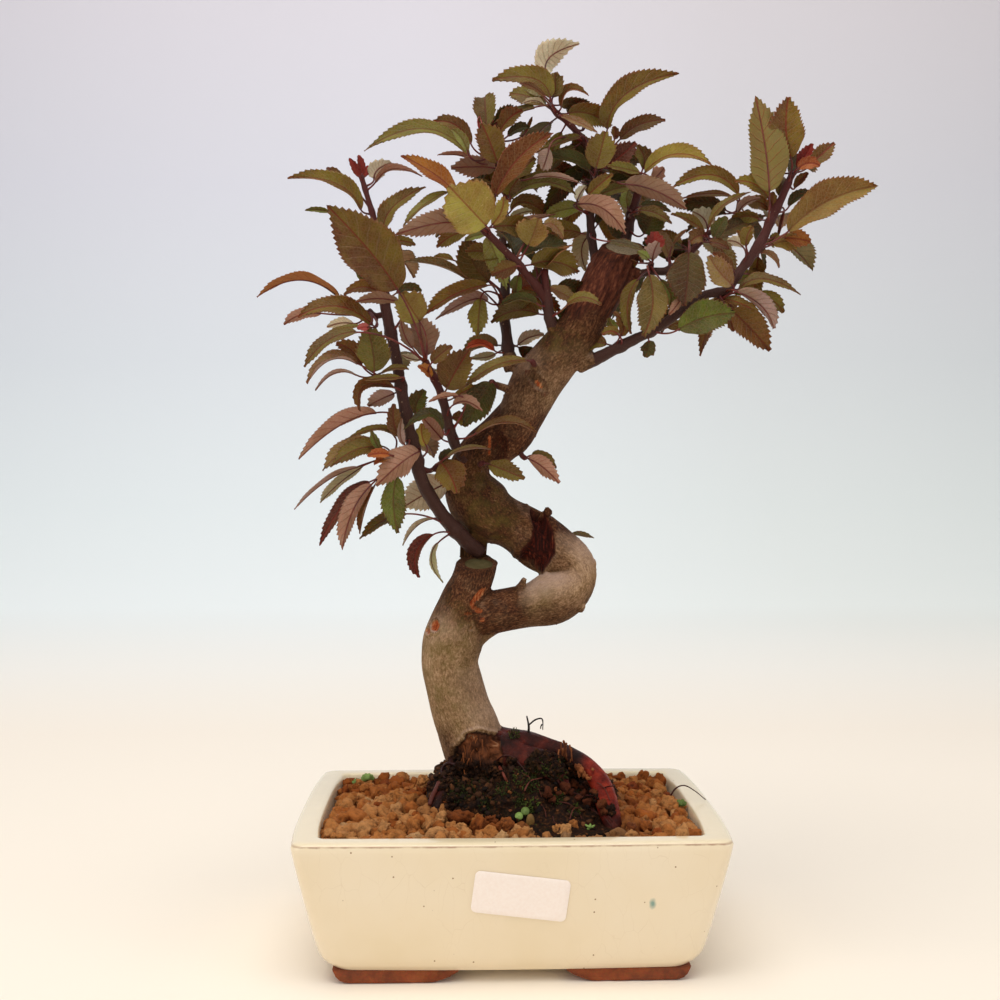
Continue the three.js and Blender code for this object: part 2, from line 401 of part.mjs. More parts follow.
    [[3, 238, -2, 1.8], [-6, 241, -7, 1.3], [-7.2, 242.6, -8.5, 1.1]],
  ], [[0, 1.7, [[-7.2, 242, -12.5, 233.5, -19.5, 222.5, 13, 10, -10, -12, "dgreen"]]]]],
  ["leaf_pair_under_trunk", [0, 1, 0, 0], [
    [[3, 216, 2, 1.6], [6.4, 209.4, 0, 1.1], [7.8, 208.4, -0.5, 1]],
  ], [[0, 1.7, [
    [9, 208.4, 15.4, 204.8, 22.8, 197.5, 8.5, 148, -2, -7, "pinktan"],
    [10.5, 209.8, 16, 209.2, 21.5, 204, 5.5, 48, 2, 2, "olive"]]]]],
  ["leaf_blunt_front", [0, 1, 0, 0], [
    [[-13, 203, 2, 1.6], [-12.3, 205.8, -3, 1.1], [-10.5, 206.3, -4.5, 1]],
  ], [[0, 1.7, [[-8.5, 206, -1, 203, 7.4, 199.5, 9, 20, -7, -11, "olive"]]]]],
  ["leaf_behind_loop", [0, 1, 0, 0], [
    [[25, 170, 12, 1.8], [25, 172, 22, 1.2], [26, 173.6, 24, 1]],
  ], [[0, 1.7, [[28, 174.6, 32.5, 174.6, 38.3, 173.3, 4.4, 60, 24, 28, "greygreen"]]]]],
];

// Leaves of the side away from the viewing point, drawn from a seeded sequence
const BACK_LENGTH = 33;
const BACK_PETIOLE = 9;
const BACK_WIDTH = 14;

// Toothed outlines of one half of a blade, from the shortest blades to the longest:
// blade length and width that they serve up to, then place along the midrib, part of half-width
const EDGES = [
  { length: 9, width: 99, teeth: [[0.48, 1]] },
  { length: 16, width: 99, teeth: [[0.44, 1], [0.52, 0.76]] },
  { length: 99, width: 6, teeth: [[0.44, 1], [0.52, 0.76]] },
  { length: 26, width: 13, teeth: [[0.16, 0.62], [0.45, 1], [0.52, 0.8]] },
  { length: 99, width: 99, teeth: [[0.13, 0.55], [0.38, 1], [0.44, 0.86], [0.66, 0.86], [0.72, 0.64]] },
];

// Seeded sequence of numbers from 0 to 1
function sequence(seed) {
  let state = seed >>> 0;
  return () => {
    state = (Math.imul(state, 1664525) + 1013904223) >>> 0;
    return state / 4294967296;
  };
}

// A closed triangle mesh as a solid
function solid(positions, triangles) {
  return new wasm.Manifold(new wasm.Mesh({
    numProp: 3,
    vertProperties: Float32Array.from(positions),
    triVerts: Uint32Array.from(triangles),
  }));
}

// A three.js geometry as a solid, with its corners merged by place
function solidOf(geometry) {
  const place = geometry.getAttribute('position');
  const index = geometry.getIndex();
  const corner = new Map();
  const positions = [];
  const triangles = [];
  const count = index ? index.count : place.count;
  for (let i = 0; i < count; i += 1) {
    const at = index ? index.getX(i) : i;
    const point = [place.getX(at), place.getY(at), place.getZ(at)];
    const key = point.map((value) => Math.round(value * 1e4)).join();
    if (!corner.has(key)) {
      corner.set(key, corner.size);
      positions.push(...point);
    }
    triangles.push(corner.get(key));
  }
  const kept = [];
  for (let i = 0; i < triangles.length; i += 3) {
    const [a, b, c] = triangles.slice(i, i + 3);
    if (a !== b && b !== c && a !== c) {
      kept.push(a, b, c);
    }
  }
  return solid(positions, kept);
}

// A solid's largest body as a mesh
function meshOf(name, body, colour, roughness) {
  const bodies = body.decompose();
  bodies.sort((a, b) => b.volume() - a.volume());
  const { vertProperties, triVerts, numProp } = bodies[0].getMesh();
  const positions = [];
  for (let i = 0; i < vertProperties.length; i += numProp) {
    positions.push(vertProperties[i], vertProperties[i + 1], vertProperties[i + 2]);
  }
  const geometry = new THREE.BufferGeometry();
  geometry.setAttribute('position', new THREE.Float32BufferAttribute(positions, 3));
  geometry.setIndex(Array.from(triVerts));
  geometry.computeVertexNormals();
  const material = new THREE.MeshStandardMaterial({ color: colour, roughness, metalness: 0 });
  const mesh = new THREE.Mesh(geometry, material);
  mesh.name = name;
  return mesh;
}

function union(bodies) {
  return wasm.Manifold.union(bodies);
}

// A point on its line of sight from the viewing point, moved to depth y
function seen(x, z, y) {
  const scale = (y - EYE.y) / -EYE.y;
  return new THREE.Vector3(x, 0, z).sub(EYE).multiplyScalar(scale).add(EYE);
}

// Rings of equal point count joined into one closed body
function loft(rings) {
  const sides = rings[0].length;
  const positions = rings.flat().flatMap((point) => [point.x, point.y, point.z]);
  const triangles = [];
  for (let ring = 0; ring + 1 < rings.length; ring += 1) {
    for (let side = 0; side < sides; side += 1) {
      const next = (side + 1) % sides;
      const a = ring * sides + side;
      const b = ring * sides + next;
      triangles.push(a, b, b + sides, a, b + sides, a + sides);
    }
  }
  const last = (rings.length - 1) * sides;
  for (let side = 1; side + 1 < sides; side += 1) {
    triangles.push(0, side + 1, side, last, last + side, last + side + 1);
  }
  return solid(positions, triangles);
}

// A round tube through rows of x, z, depth, radius, made thicker and longer all round by grow.
// Its last end faces the row named beyond, if there is one
function tube(rows, sides, grow = 0, beyond = null) {
  const points = rows.map(([x, z, y]) => seen(x, z, y));
  const radii = rows.map(([, , y, radius]) => radius * (y - EYE.y) / -EYE.y + grow);
  const headings = points.map((point, i) => {
    const after = points[Math.min(i + 1, points.length - 1)];
    const before = points[Math.max(i - 1, 0)];
    return after.clone().sub(before).normalize();
  });
  if (beyond) {
    headings[points.length - 1] = seen(...beyond).sub(points[points.length - 1]).normalize();
  }
  points[0].addScaledVector(headings[0], -grow);
  points[points.length - 1].addScaledVector(headings[points.length - 1], grow);
  let across = new THREE.Vector3(0, 1, 0);
  const rings = points.map((point, i) => {
    across = across.clone().addScaledVector(headings[i], -across.dot(headings[i])).normalize();
    const other = headings[i].clone().cross(across);
    const ring = [];
    for (let side = 0; side < sides; side += 1) {
      const angle = 2 * Math.PI * side / sides;
      ring.push(point.clone()
        .addScaledVector(across, radii[i] * Math.cos(angle))
        .addScaledVector(other, radii[i] * Math.sin(angle)));
    }
    return ring;
  });
  return loft(rings);
}

// Rectangle with round corners and bowed sides, counter-clockwise seen from above
function bowedRectangle(halfLength, halfDepth, corner, z, grow = 0) {
  const ring = [];
  const steps = 2;
  for (let quarter = 0; quarter < 4; quarter += 1) {
    const alongX = quarter === 0 || quarter === 3 ? 1 : -1;
    const alongY = quarter < 2 ? 1 : -1;
    for (let step = 0; step <= steps; step += 1) {
      const angle = (quarter + step / steps) * Math.PI / 2;
      ring.push(new THREE.Vector3(
        alongX * (halfLength - corner) + (corner + grow) * Math.cos(angle),
        alongY * (halfDepth - corner) + (corner + grow) * Math.sin(angle),
        z,
      ));
    }
    if (quarter % 2 === 0) {
      ring.push(new THREE.Vector3(0, alongY * (halfDepth + grow + FRONT_BOW), z));
      continue;
    }
    for (const place of [-0.3, 0.3]) {
      ring.push(new THREE.Vector3(alongX * (halfLength + grow + SIDE_BOW), -alongY * place * halfDepth, z));
    }
  }
  return ring;
}

// Pot body with its feet and two drainage holes
function potSolid() {
  const walls = loft([...POT_OUTSIDE, ...POT_INSIDE].map((ring) => bowedRectangle(...ring)));
  const feet = [];
  for (const side of [-1, 1]) {
    const shape = new THREE.Shape(FOOT_OUTLINE.map(([x, z]) => new THREE.Vector2(side * x, z)));
    for (const y of [-FOOT_FRONT, FOOT_FRONT - FOOT_DEPTH]) {
      const foot = new THREE.ExtrudeGeometry(shape, { depth: FOOT_DEPTH, bevelEnabled: false });
      foot.rotateX(Math.PI / 2);
      foot.translate(0, y + FOOT_DEPTH, POT_BASE);
      feet.push(solidOf(foot));
    }
  }
  const holes = [-1, 1].map((side) => {
    const hole = new THREE.CylinderGeometry(DRAIN_RADIUS, DRAIN_RADIUS, 2 * FLOOR_TOP, DRAIN_SIDES);
    hole.rotateX(Math.PI / 2);
    hole.translate(side * DRAIN_X, 0, FLOOR_TOP);
    return solidOf(hole);
  });
  return union([walls, ...feet]).subtract(union(holes));
}

// Box between two corners
function boxSolid(length, depth, height, x, y, z) {
  const box = new THREE.BoxGeometry(length, depth, height);
  box.translate(x, y, z);
  return solidOf(box);
}

// Square of drainage netting with four openings
function nettingSolid(x) {
  const level = FLOOR_TOP + CLEARANCE + NET_THICKNESS / 2;
  const openings = [];
  for (const across of [-3, 3]) {
    for (const along of [-3, 3]) {
      openings.push(boxSolid(4, 4, 3 * NET_THICKNESS, x + across, along, level));
    }
  }
  return boxSolid(NET_WIDTH, NET_WIDTH, NET_THICKNESS, x, 0, level).subtract(union(openings));
}

// Paper label with round corners, laid on the sloping front wall
function labelSolid() {
  const { length, width, corner } = LABEL;
  const shape = new THREE.Shape();
  shape.moveTo(-length / 2 + corner, -width / 2).lineTo(length / 2 - corner, -width / 2);
  shape.lineTo(length / 2, -width / 2 + corner).lineTo(length / 2, width / 2 - corner);
  shape.lineTo(length / 2 - corner, width / 2).lineTo(-length / 2 + corner, width / 2);
  shape.lineTo(-length / 2, width / 2 - corner).lineTo(-length / 2, -width / 2 + corner).closePath();
  const label = new THREE.ExtrudeGeometry(shape, { depth: LABEL.thick, bevelEnabled: false });
  const [, lowDepth, , lowHeight] = POT_OUTSIDE[2];
  const [, highDepth, , highHeight] = POT_OUTSIDE[3];
  const lean = Math.atan2(highDepth - lowDepth, highHeight - lowHeight);
  const wall = lowDepth + (LABEL.z - lowHeight) * Math.tan(lean) + FRONT_BOW;
  label.rotateZ(THREE.MathUtils.degToRad(LABEL.turn));
  label.translate(0, 0, CLEARANCE);
  label.rotateX(Math.PI / 2 + lean);
  label.translate(LABEL.x, -wall, LABEL.z);
  return solidOf(label);
}

// Trunk, stump and roots, or the hollow that they leave when grown by a clearance
function trunkSolid(grow = 0) {
  const stubs = SHOOTS.map(([, , [rows]]) => tube(rows.slice(0, 2), 5, 0, rows[2].slice(0, 3)));
  const bodies = [
    ...TRUNK.map((rows) => tube(rows, TRUNK_SIDES, grow)),
    ...ROOTS.map((rows) => tube(rows, ROOT_SIDES, grow)),
  ];
  if (grow > 0) {
    return union(bodies);
  }
  const knobs = KNOBS.map((rows) => tube(rows, 5));
  const wounds = WOUNDS.map(([x, z, y, halfWidth, halfDepth, halfHeight]) => {
    const hollow = new THREE.SphereGeometry(1, 8, 5);
    hollow.scale(halfWidth, halfDepth, halfHeight);
    hollow.translate(...seen(x, z, y).toArray());
    return solidOf(hollow);
  });
  return union([...bodies, ...knobs, ...stubs]).subtract(union(wounds));
}

// Humus mound with a rough skin, grown by a clearance where the soil is cut by it
function moundSolid(grow = 0) {
  const rough = sequence(11);
  const rings = MOUND_RINGS.map(([x, y, halfLength, halfDepth, z], i) => {
    const ring = [];
    for (let side = 0; side < MOUND_SIDES; side += 1) {
      const angle = 2 * Math.PI * side / MOUND_SIDES;
      const swell = i < 2 ? 1 : 1 + MOUND_ROUGHNESS * (rough() - 0.5) * 2;
      ring.push(new THREE.Vector3(
        x + (halfLength + grow) * swell * Math.cos(angle),
        y + (halfDepth + grow) * swell * Math.sin(angle),
        i === 0 ? z - grow : z,
      ));
    }
    return ring;
  });
  return loft(rings);
}

// Soil surface height without its granules: level, with a low mound round the roots
function soilHeight(x, y) {
  const away = Math.hypot((x - SOIL_CROWN.x) / SOIL_CROWN.length, (y - SOIL_CROWN.y) / SOIL_CROWN.depth);
  return SOIL_LEVEL + SOIL_MOUND * Math.max(0, 1 - away * away);
}

// Soil filling the pot, its granules raised as a relief of rough cones
function soilSolid() {
  const random = sequence(5);
  const columns = GRANULE_COLUMNS;
  const rows = GRANULE_ROWS;
  const across = GRANULE_PITCH;
  const along = GRANULE_PITCH * Math.sqrt(3) / 2;
  const positions = [];
  const triangles = [];
  const bottom = SOIL_BOTTOM - GRANULE_PITCH / 2;
  for (let row = 0; row < rows; row += 1) {
    for (let column = 0; column < columns; column += 1) {
      const jitter = GRANULE_PITCH * 0.16;
      const x = (column - (columns - 1) / 2 + (row % 2) / 2 - 0.25) * across + jitter * (random() - 0.5);
      const y = (row - (rows - 1) / 2) * along + jitter * (random() - 0.5);
      const kind = (column + 2 * (row % 2)) % 3;
      const lift = GRANULE_RELIEF * [0.8, 0.1, -0.4][kind] + GRANULE_RELIEF * 0.4 * random();
      positions.push(x, y, soilHeight(x, y) + lift);
    }
  }
  const top = rows * columns;
  for (let at = 0; at < top; at += 1) {
    positions.push(positions[at * 3], positions[at * 3 + 1], bottom);
  }
  const quad = (a, b, c, d, slant) => {
    if (slant) {
      triangles.push(a, b, d, b, c, d);
    } else {
      triangles.push(a, b, c, a, c, d);
    }
  };
  for (let row = 0; row + 1 < rows; row += 1) {
    for (let column = 0; column + 1 < columns; column += 1) {
      const at = row * columns + column;
      const slant = row % 2 === 0;
      quad(at, at + 1, at + 1 + columns, at + columns, slant);
    }
  }
  const edge = [];
  for (let column = 0; column < columns - 1; column += 1) {
    edge.push(column);
  }
  for (let row = 0; row < rows - 1; row += 1) {
    edge.push(row * columns + columns - 1);
  }
  for (let column = columns - 1; column > 0; column -= 1) {
    edge.push((rows - 1) * columns + column);
  }
  for (let row = rows - 1; row > 0; row -= 1) {
    edge.push(row * columns);
  }
  const centre = positions.length / 3;
  positions.push(0, 0, bottom);
  edge.forEach((at, i) => {
    const next = edge[(i + 1) % edge.length];
    triangles.push(at, at + top, next + top, at, next + top, next);
    triangles.push(centre, next + top, at + top);
  });
  const used = new Map();
  const kept = [];
  for (const at of triangles) {
    if (!used.has(at)) {
      used.set(at, used.size);
      kept.push(positions[at * 3], positions[at * 3 + 1], positions[at * 3 + 2]);
    }
  }
  const relief = solid(kept, triangles.map((at) => used.get(at)));
  const walls = POT_INSIDE.slice(1).reverse().map(([halfLength, halfDepth, corner, z]) => (
    bowedRectangle(halfLength, halfDepth, corner, z, -CLEARANCE)
  ));
  walls[0].forEach((point) => point.setZ(SOIL_BOTTOM));
  walls.push(bowedRectangle(...SOIL_BRIM, -CLEARANCE));
  return relief.intersect(loft(walls));
}

// Quadratic curve through a base, a middle and a tip
function midribPoint(base, middle, tip, along) {
  const handle = middle.clone().multiplyScalar(2).addScaledVector(base, -0.5).addScaledVector(tip, -0.5);
  const rest = 1 - along;
  return base.clone().multiplyScalar(rest * rest)
    .addScaledVector(handle, 2 * rest * along)
    .addScaledVector(tip, along * along);
}

// One leaf with its petiole, as a closed blade folded along its midrib.
// facing: direction that the upper face is turned from by the angle turn
function leafSolid(root, base, middle, tip, width, turn, facing) {
  const length = tip.distanceTo(base);
  const { teeth } = EDGES.find((edge) => length < edge.length && width < edge.width);
  const chord = tip.clone().sub(base).normalize();
  const level = facing.clone().addScaledVector(chord, -facing.dot(chord)).normalize();
  const lift = chord.clone().cross(level).z < 0 ? -1 : 1;
  const frame = (along) => {
    const before = midribPoint(base, middle, tip, Math.max(0, along - 0.05));
    const heading = midribPoint(base, middle, tip, Math.min(1, along + 0.05)).sub(before).normalize();
    const ahead = facing.clone().addScaledVector(heading, -facing.dot(heading)).normalize();
    const aside = heading.clone().cross(ahead).multiplyScalar(lift);
    const upper = ahead.multiplyScalar(Math.cos(turn)).addScaledVector(aside, Math.sin(turn));
    return { upper, out: upper.clone().cross(heading) };
  };
  const positions = [];
  const addPair = (point, upper, thickness) => {
    for (const side of [0.5, -0.5]) {
      positions.push(...point.clone().addScaledVector(upper, side * thickness).toArray());
    }
    return positions.length / 3 - 2;
  };
  const reach = base.clone().sub(root).normalize();
  const start = frame(0);
  const mitre = start.out.clone().cross(start.upper).add(reach).normalize();
  const baseUpper = start.upper.clone().addScaledVector(mitre, -start.upper.dot(mitre)).normalize();
  const baseOut = baseUpper.clone().cross(mitre);
  const rootUpper = baseUpper.clone().addScaledVector(reach, -baseUpper.dot(reach)).normalize();
  const rootOut = rootUpper.clone().cross(reach);
  const rib = addPair(middle, frame(0.5).upper, BLADE_THICKNESS);
  const end = addPair(tip, frame(1).upper, BLADE_THICKNESS);
  const keel = root.clone().addScaledVector(rootUpper, -PETIOLE_THICKNESS / 2);
  const keelAt = positions.push(...keel.toArray()) / 3 - 1;
  const outlines = [1, -1].map((side) => {
    const top = root.clone().addScaledVector(rootOut, side * PETIOLE_HALF_WIDTH)
      .addScaledVector(rootUpper, PETIOLE_THICKNESS / 2);
    const neck = base.clone().addScaledVector(baseOut, side * PETIOLE_HALF_WIDTH);
    const places = [
      positions.push(...top.toArray()) / 3 - 1,
      addPair(neck, baseUpper, PETIOLE_THICKNESS),
    ];
    for (const [along, share] of teeth) {
      const { upper, out } = frame(along);
      const halfWidth = share * width / 2;
      const point = midribPoint(base, middle, tip, along)
        .addScaledVector(out, side * halfWidth)
        .addScaledVector(upper, halfWidth * BLADE_FOLD);
      places.push(addPair(point, upper, BLADE_THICKNESS));
    }
    return [...places, end];
  });
  const triangles = [];
  const bothFaces = (a, b, c) => triangles.push(a, b, c, a + 1, c + 1, b + 1);
  const [left, right] = outlines;
  triangles.push(right[0], right[1], left[1], right[0], left[1], left[0]);
  triangles.push(keelAt, left[1] + 1, right[1] + 1, keelAt, right[0], left[0]);
  triangles.push(left[0], left[1], left[1] + 1, left[0], left[1] + 1, keelAt);
  triangles.push(right[0], right[1] + 1, right[1], right[0], keelAt, right[1] + 1);
  bothFaces(left[1], right[1], rib);
  for (let i = 1; i + 1 < left.length; i += 1) {
    bothFaces(rib, left[i + 1], left[i]);
    bothFaces(rib, right[i], right[i + 1]);
    for (const [c, d] of [[left[i], left[i + 1]], [right[i + 1], right[i]]]) {
      triangles.push(c, d, c + 1, d, d + 1, c + 1);
    }
  }
  return solid(positions, triangles);
}

// A place just under a stem's skin, on the side of the leaf that starts there.
// place counts the stem's rows; shift moves the start along the stem
function alongStem(rows, place, shift, towards) {
  const first = Math.min(Math.floor(place), rows.length - 2);
  const [before, after] = [rows[first], rows[first + 1]].map(([x, z, y]) => seen(x, z, y));
  const heading = after.clone().sub(before);
  const step = heading.length();
  heading.normalize();
  const share = Math.min(place - first + shift / step, (first === rows.length - 2) ? 0.95 : 1.2);
  const root = before.lerp(after, share);
  const aside = towards.clone().sub(root);
  aside.addScaledVector(heading, -aside.dot(heading)).normalize();
  return root.addScaledVector(aside, Math.max(0, 0.8 * rows[first + 1][3] - ROOT_DEPTH));
}

// One leafy shoot: its stems, the leaves that the table lists and the seeded ones behind
function shootSolid([, [backLeaves, backStart, backFrom, backTo], stems, whorls], seed) {
  const bodies = stems.map((rows, i) => {
    if (i > 0) {
      return tube(rows, 4);
    }
    const [, [x, z, y, radius], next] = rows;
    const gap = CLEARANCE / seen(x, z, y).distanceTo(seen(next[0], next[1], next[2]));
    const start = [x + (next[0] - x) * gap, z + (next[1] - z) * gap, y + (next[2] - y) * gap, radius];
    return tube([start, ...rows.slice(2)], 5);
  });
  for (const [stem, place, leaves] of whorls) {
    leaves.forEach(([bx, bz, mx, mz, tx, tz, width, turn, nearDepth, farDepth], i) => {
      const base = seen(bx, bz, nearDepth);
      const shift = LEAF_SPACING * (i - (leaves.length - 1) / 2);
      const root = alongStem(stems[stem], place, shift, base);
      const middle = seen(mx, mz, (nearDepth + farDepth) / 2);
      const tip = seen(tx, tz, farDepth);
      const facing = EYE.clone().sub(middle).normalize();
      const scale = (nearDepth - EYE.y) / -EYE.y;
      bodies.push(leafSolid(root, base, middle, tip, width * scale, turn * Math.PI / 180, facing));
    });
  }
  const random = sequence(seed);
  const up = new THREE.Vector3(0, 0, 1);
  for (let i = 0; i < backLeaves; i += 1) {
    const reach = stems[0].length - 1.4 - backStart;
    const angle = (backFrom + (backTo - backFrom) * random()) * Math.PI / 180;
    const rise = 0.5 * random() - 0.1;
    const away = new THREE.Vector3(Math.cos(angle), Math.sin(angle), rise).normalize();
    const place = backStart + reach * (i + random()) / backLeaves;
    const centre = alongStem(stems[0], place, 0, new THREE.Vector3(0, 1000, 0));
    const root = alongStem(stems[0], place, 0, centre.clone().addScaledVector(away, BACK_LENGTH));
    const base = root.clone().addScaledVector(away, BACK_PETIOLE);
    const length = BACK_LENGTH * (0.75 + 0.4 * random());
    const tip = base.clone().addScaledVector(away, length).add(new THREE.Vector3(0, 0, -0.3 * length));
    const middle = base.clone().lerp(tip, 0.5).add(new THREE.Vector3(0, 0, 0.1 * length));
    const turn = (random() - 0.5) * 0.8;
    bodies.push(leafSolid(root, base, middle, tip, BACK_WIDTH * length / BACK_LENGTH, turn, up));
  }
  return union(bodies);
}

const WOOD = 0x4a3527;
const LEAF_COLOURS = [0x5d4a1a, 0x6b5620, 0x554318, 0x63501f, 0x5f5a22, 0x5a4d1c, 0x615018, 0x4f4a1c];

const tree = new THREE.Group();
const hollow = trunkSolid(CLEARANCE);
tree.add(meshOf('pot', potSolid(), 0xe6d9bd, 0.35));
tree.add(meshOf('drain_net_left', nettingSolid(-DRAIN_X), 0x2b2b2b, 0.6));
tree.add(meshOf('drain_net_right', nettingSolid(DRAIN_X), 0x2b2b2b, 0.6));
tree.add(meshOf('label', labelSolid(), 0xf1ece6, 0.5));
tree.add(meshOf('soil', soilSolid().subtract(moundSolid(CLEARANCE)).subtract(hollow), 0xa9702f, 0.95));
tree.add(meshOf('root_mound', moundSolid().subtract(hollow), 0x2c2418, 0.98));
tree.add(meshOf('trunk', trunkSolid(), WOOD, 0.8));
SHOOTS.forEach((shoot, i) => {
  tree.add(meshOf(shoot[0], shootSolid(shoot, 100 + i), LEAF_COLOURS[i % LEAF_COLOURS.length], 0.55));
});

const box = new THREE.Box3().setFromObject(tree);
tree.position.set(-(box.min.x + box.max.x) / 2, -(box.min.y + box.max.y) / 2, -box.min.z);
const group = new THREE.Group();
group.add(tree);

export default group;
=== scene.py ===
# Apple bonsai in a glazed rectangular pot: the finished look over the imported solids.
# Tables are in millimetres, in the part's working frame: x and y from the pot's middle, z from just
# over the soles of its feet, front towards -y. Meshes are written in metres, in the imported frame.
import math

import bmesh
import bpy
import numpy as np
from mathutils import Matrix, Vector
from mathutils.bvhtree import BVHTree


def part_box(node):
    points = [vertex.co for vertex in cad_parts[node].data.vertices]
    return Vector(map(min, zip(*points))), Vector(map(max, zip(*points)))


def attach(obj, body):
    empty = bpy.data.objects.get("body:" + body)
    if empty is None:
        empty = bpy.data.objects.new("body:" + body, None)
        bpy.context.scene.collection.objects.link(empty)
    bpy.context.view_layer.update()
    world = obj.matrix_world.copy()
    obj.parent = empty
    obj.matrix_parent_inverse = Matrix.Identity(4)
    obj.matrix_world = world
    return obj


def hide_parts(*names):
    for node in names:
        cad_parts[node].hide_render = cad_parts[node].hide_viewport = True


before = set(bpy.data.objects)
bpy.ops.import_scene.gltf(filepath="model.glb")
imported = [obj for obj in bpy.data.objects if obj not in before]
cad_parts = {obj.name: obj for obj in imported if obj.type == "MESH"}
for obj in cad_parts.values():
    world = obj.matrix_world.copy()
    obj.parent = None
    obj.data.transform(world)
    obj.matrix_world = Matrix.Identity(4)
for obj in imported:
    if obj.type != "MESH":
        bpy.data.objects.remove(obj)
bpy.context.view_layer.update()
pot_low, pot_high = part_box("pot")

# How far the soles of the feet lie under level 0 of the tables
FOOT_DROP = 2.6
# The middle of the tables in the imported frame, and the point the photo was taken from
MIDDLE = np.array([(pot_low.x + pot_high.x) * 500, 0.0, pot_low.z * 1000 + FOOT_DROP])
EYE = np.array([-19.8, -563.5, 200.7])
UP = np.array([0.0, 0.0, 1.0])

POT_BASE = 2.4
FLOOR_TOP = 10
# Pot rings: half-length, half-depth, corner radius, height
POT_OUTSIDE = [
    (72.5, 53.8, 9, POT_BASE), (76.2, 56.2, 9, 5.4), (78.8, 57.6, 9, 9.6),
    (88.2, 64.8, 5, 53.6), (87.5, 64.1, 5, 55.6), (85.6, 62.2, 5, 56.4),
]
POT_INSIDE = [
    (78.6, 55.7, 4, 56.4), (77.4, 54.5, 4, 55.2), (73.6, 50.7, 5, 24), (70.5, 47.5, 6, 13.6),
    (67, 44, 6, FLOOR_TOP),
]
# How far the short and the long sides swell in the middle of their length
SIDE_BOW = 2.2
FRONT_BOW = 0.8
# Half of the feet as seen from the front: x, height from the pot's base
FOOT_OUTLINE = [(21, 0.5), (24, -1.2), (30.5, -5), (67.8, -5), (71.4, -2.1), (72.3, 0.5)]
FOOT_FRONT = 55
FOOT_DEPTH = 17
DRAIN_X = 38
DRAIN_RADIUS = 6
LABEL = {"x": 2.9, "z": 34.7, "length": 38, "width": 17.5, "turn": -7.2, "corner": 2.2}
# The soil's underside, its level at the walls, and its rise towards the trunk
SOIL_BOTTOM = 12.2
SOIL_LEVEL = 52.5
SOIL_MOUND = 4.5

# Lower trunk up to its stump, loop, upper trunk and the fork under the loop, then the surface
# roots, the first of them the arch: rows of x, z, depth, radius
LOWER_RUN, LOOP_RUN, UPPER_RUN, FORK_RUN = range(4)
TRUNK = [
    [(-9, 46, 0, 13), (-12, 70, 0, 14.2), (-13.8, 77, 0, 13.8), (-15.8, 84, 0, 13.8),
     (-18.2, 91, 0, 13.6), (-21.2, 99, 0, 13.1), (-25.3, 115, 0, 12.3), (-25.4, 122, 0, 12.5),
     (-23.8, 130, 0, 12.9), (-19.4, 146, 0, 10.2), (-16.4, 153, 0, 9.1), (-14.2, 160, 0, 8.9),
     (-13, 166, 0, 8.8)],
    [(-22, 137, 0, 10), (-12, 139.5, 0, 9.6), (8, 143.3, 2, 9.5), (15, 145, 3, 11),
     (21, 147.2, 4, 11.8), (26.8, 151.5, 5, 11), (29.3, 157.5, 6, 9.9), (27, 163, 7, 10.4),
     (16.5, 169.8, 9, 12.4), (11, 173.5, 10, 12.2), (5, 177.5, 11, 11.3), (-1, 180.5, 12, 11),
     (-7, 183.3, 12, 12.8), (-12.5, 188.5, 12, 13.5), (-16.5, 196, 11, 11.6),
     (-17, 203.5, 10, 9.2), (-13, 212, 8, 8), (-5, 219, 6, 8), (3, 226, 4, 9)],
    [(-5, 206.5, 5, 4), (-2, 212.5, 5, 7), (2, 219, 4, 9.4), (9.5, 235.5, 1, 10.8),
     (13.5, 243, 0, 11.3), (19.5, 250.5, 0, 11), (30.5, 264, 0, 10.2), (34.5, 270.7, 1, 9.9),
     (38.7, 278, 2, 9.7), (42.7, 286, 3, 9.6), (46.2, 293, 4, 8.9),
     (50.8, 300.8, 5, 8.6), (54.8, 308, 5, 8.4)],
    [(-18, 127, 0, 6), (-12, 131.5, 0, 4.5), (-5, 136, 1, 4.5)],
]
ROOTS = [
    [(-6, 82, 0, 8), (4, 81.5, -2, 7), (13, 80.8, -4, 5.4), (21, 78.3, -7, 4.8),
     (29, 75, -10, 4.6), (36, 70.5, -14, 4.6), (40.8, 64, -18, 4.6), (43.5, 56, -22, 4.7),
     (46, 48, -27, 4.3), (48, 41, -31, 3.6), (49.5, 34, -33, 3)],
    [(-4, 80, -5, 8), (5, 75.5, -10, 6.8), (13, 73, -14, 6.4), (19.5, 69.5, -16, 5.2),
     (24, 63, -17, 3.8), (26, 55, -18, 3)],
    [(-18, 80, -3, 7), (-22.5, 71, -9, 4.6), (-27, 62, -14, 3.4), (-31, 54, -17, 2.8),
     (-34, 46, -19, 2.2)],
    [(-6, 82, 6, 7), (2, 78, 16, 4.8), (9, 74, 26, 3.8), (15, 66, 36, 3.2), (18, 58, 42, 2.6)],
    [(-18, 80, 5, 7), (-23, 70, 12, 4.4), (-28, 61, 19, 3.4), (-32, 53, 26, 2.8),
     (-35, 46, 32, 2.3)],
]
# The frayed flap beside the upper cut, then stubs and swellings: rows likewise
KNOBS = [
    [(55.4, 299.6, 1, 2.0), (58.4, 297.4, 0, 1.5), (59.4, 294.6, -1, 0.8)],
    [(30, 143.5, 0, 3.4), (34, 141.5, -1, 1.8)],
    [(5, 150, -2, 2.4), (7.6, 155.6, -3, 1)],
    [(15, 182, 4, 2.6), (18.8, 186, 3, 1.3)],
    [(35, 162, 4, 3.4), (39.2, 162.4, 4, 1.3)],
    [(-11.5, 210, 0, 1.6), (-9, 219.5, -3, 0.8)],
    [(-13, 160, 5, 7), (-12.5, 166, 6, 5.2), (-13.5, 170, 5, 4)],
]
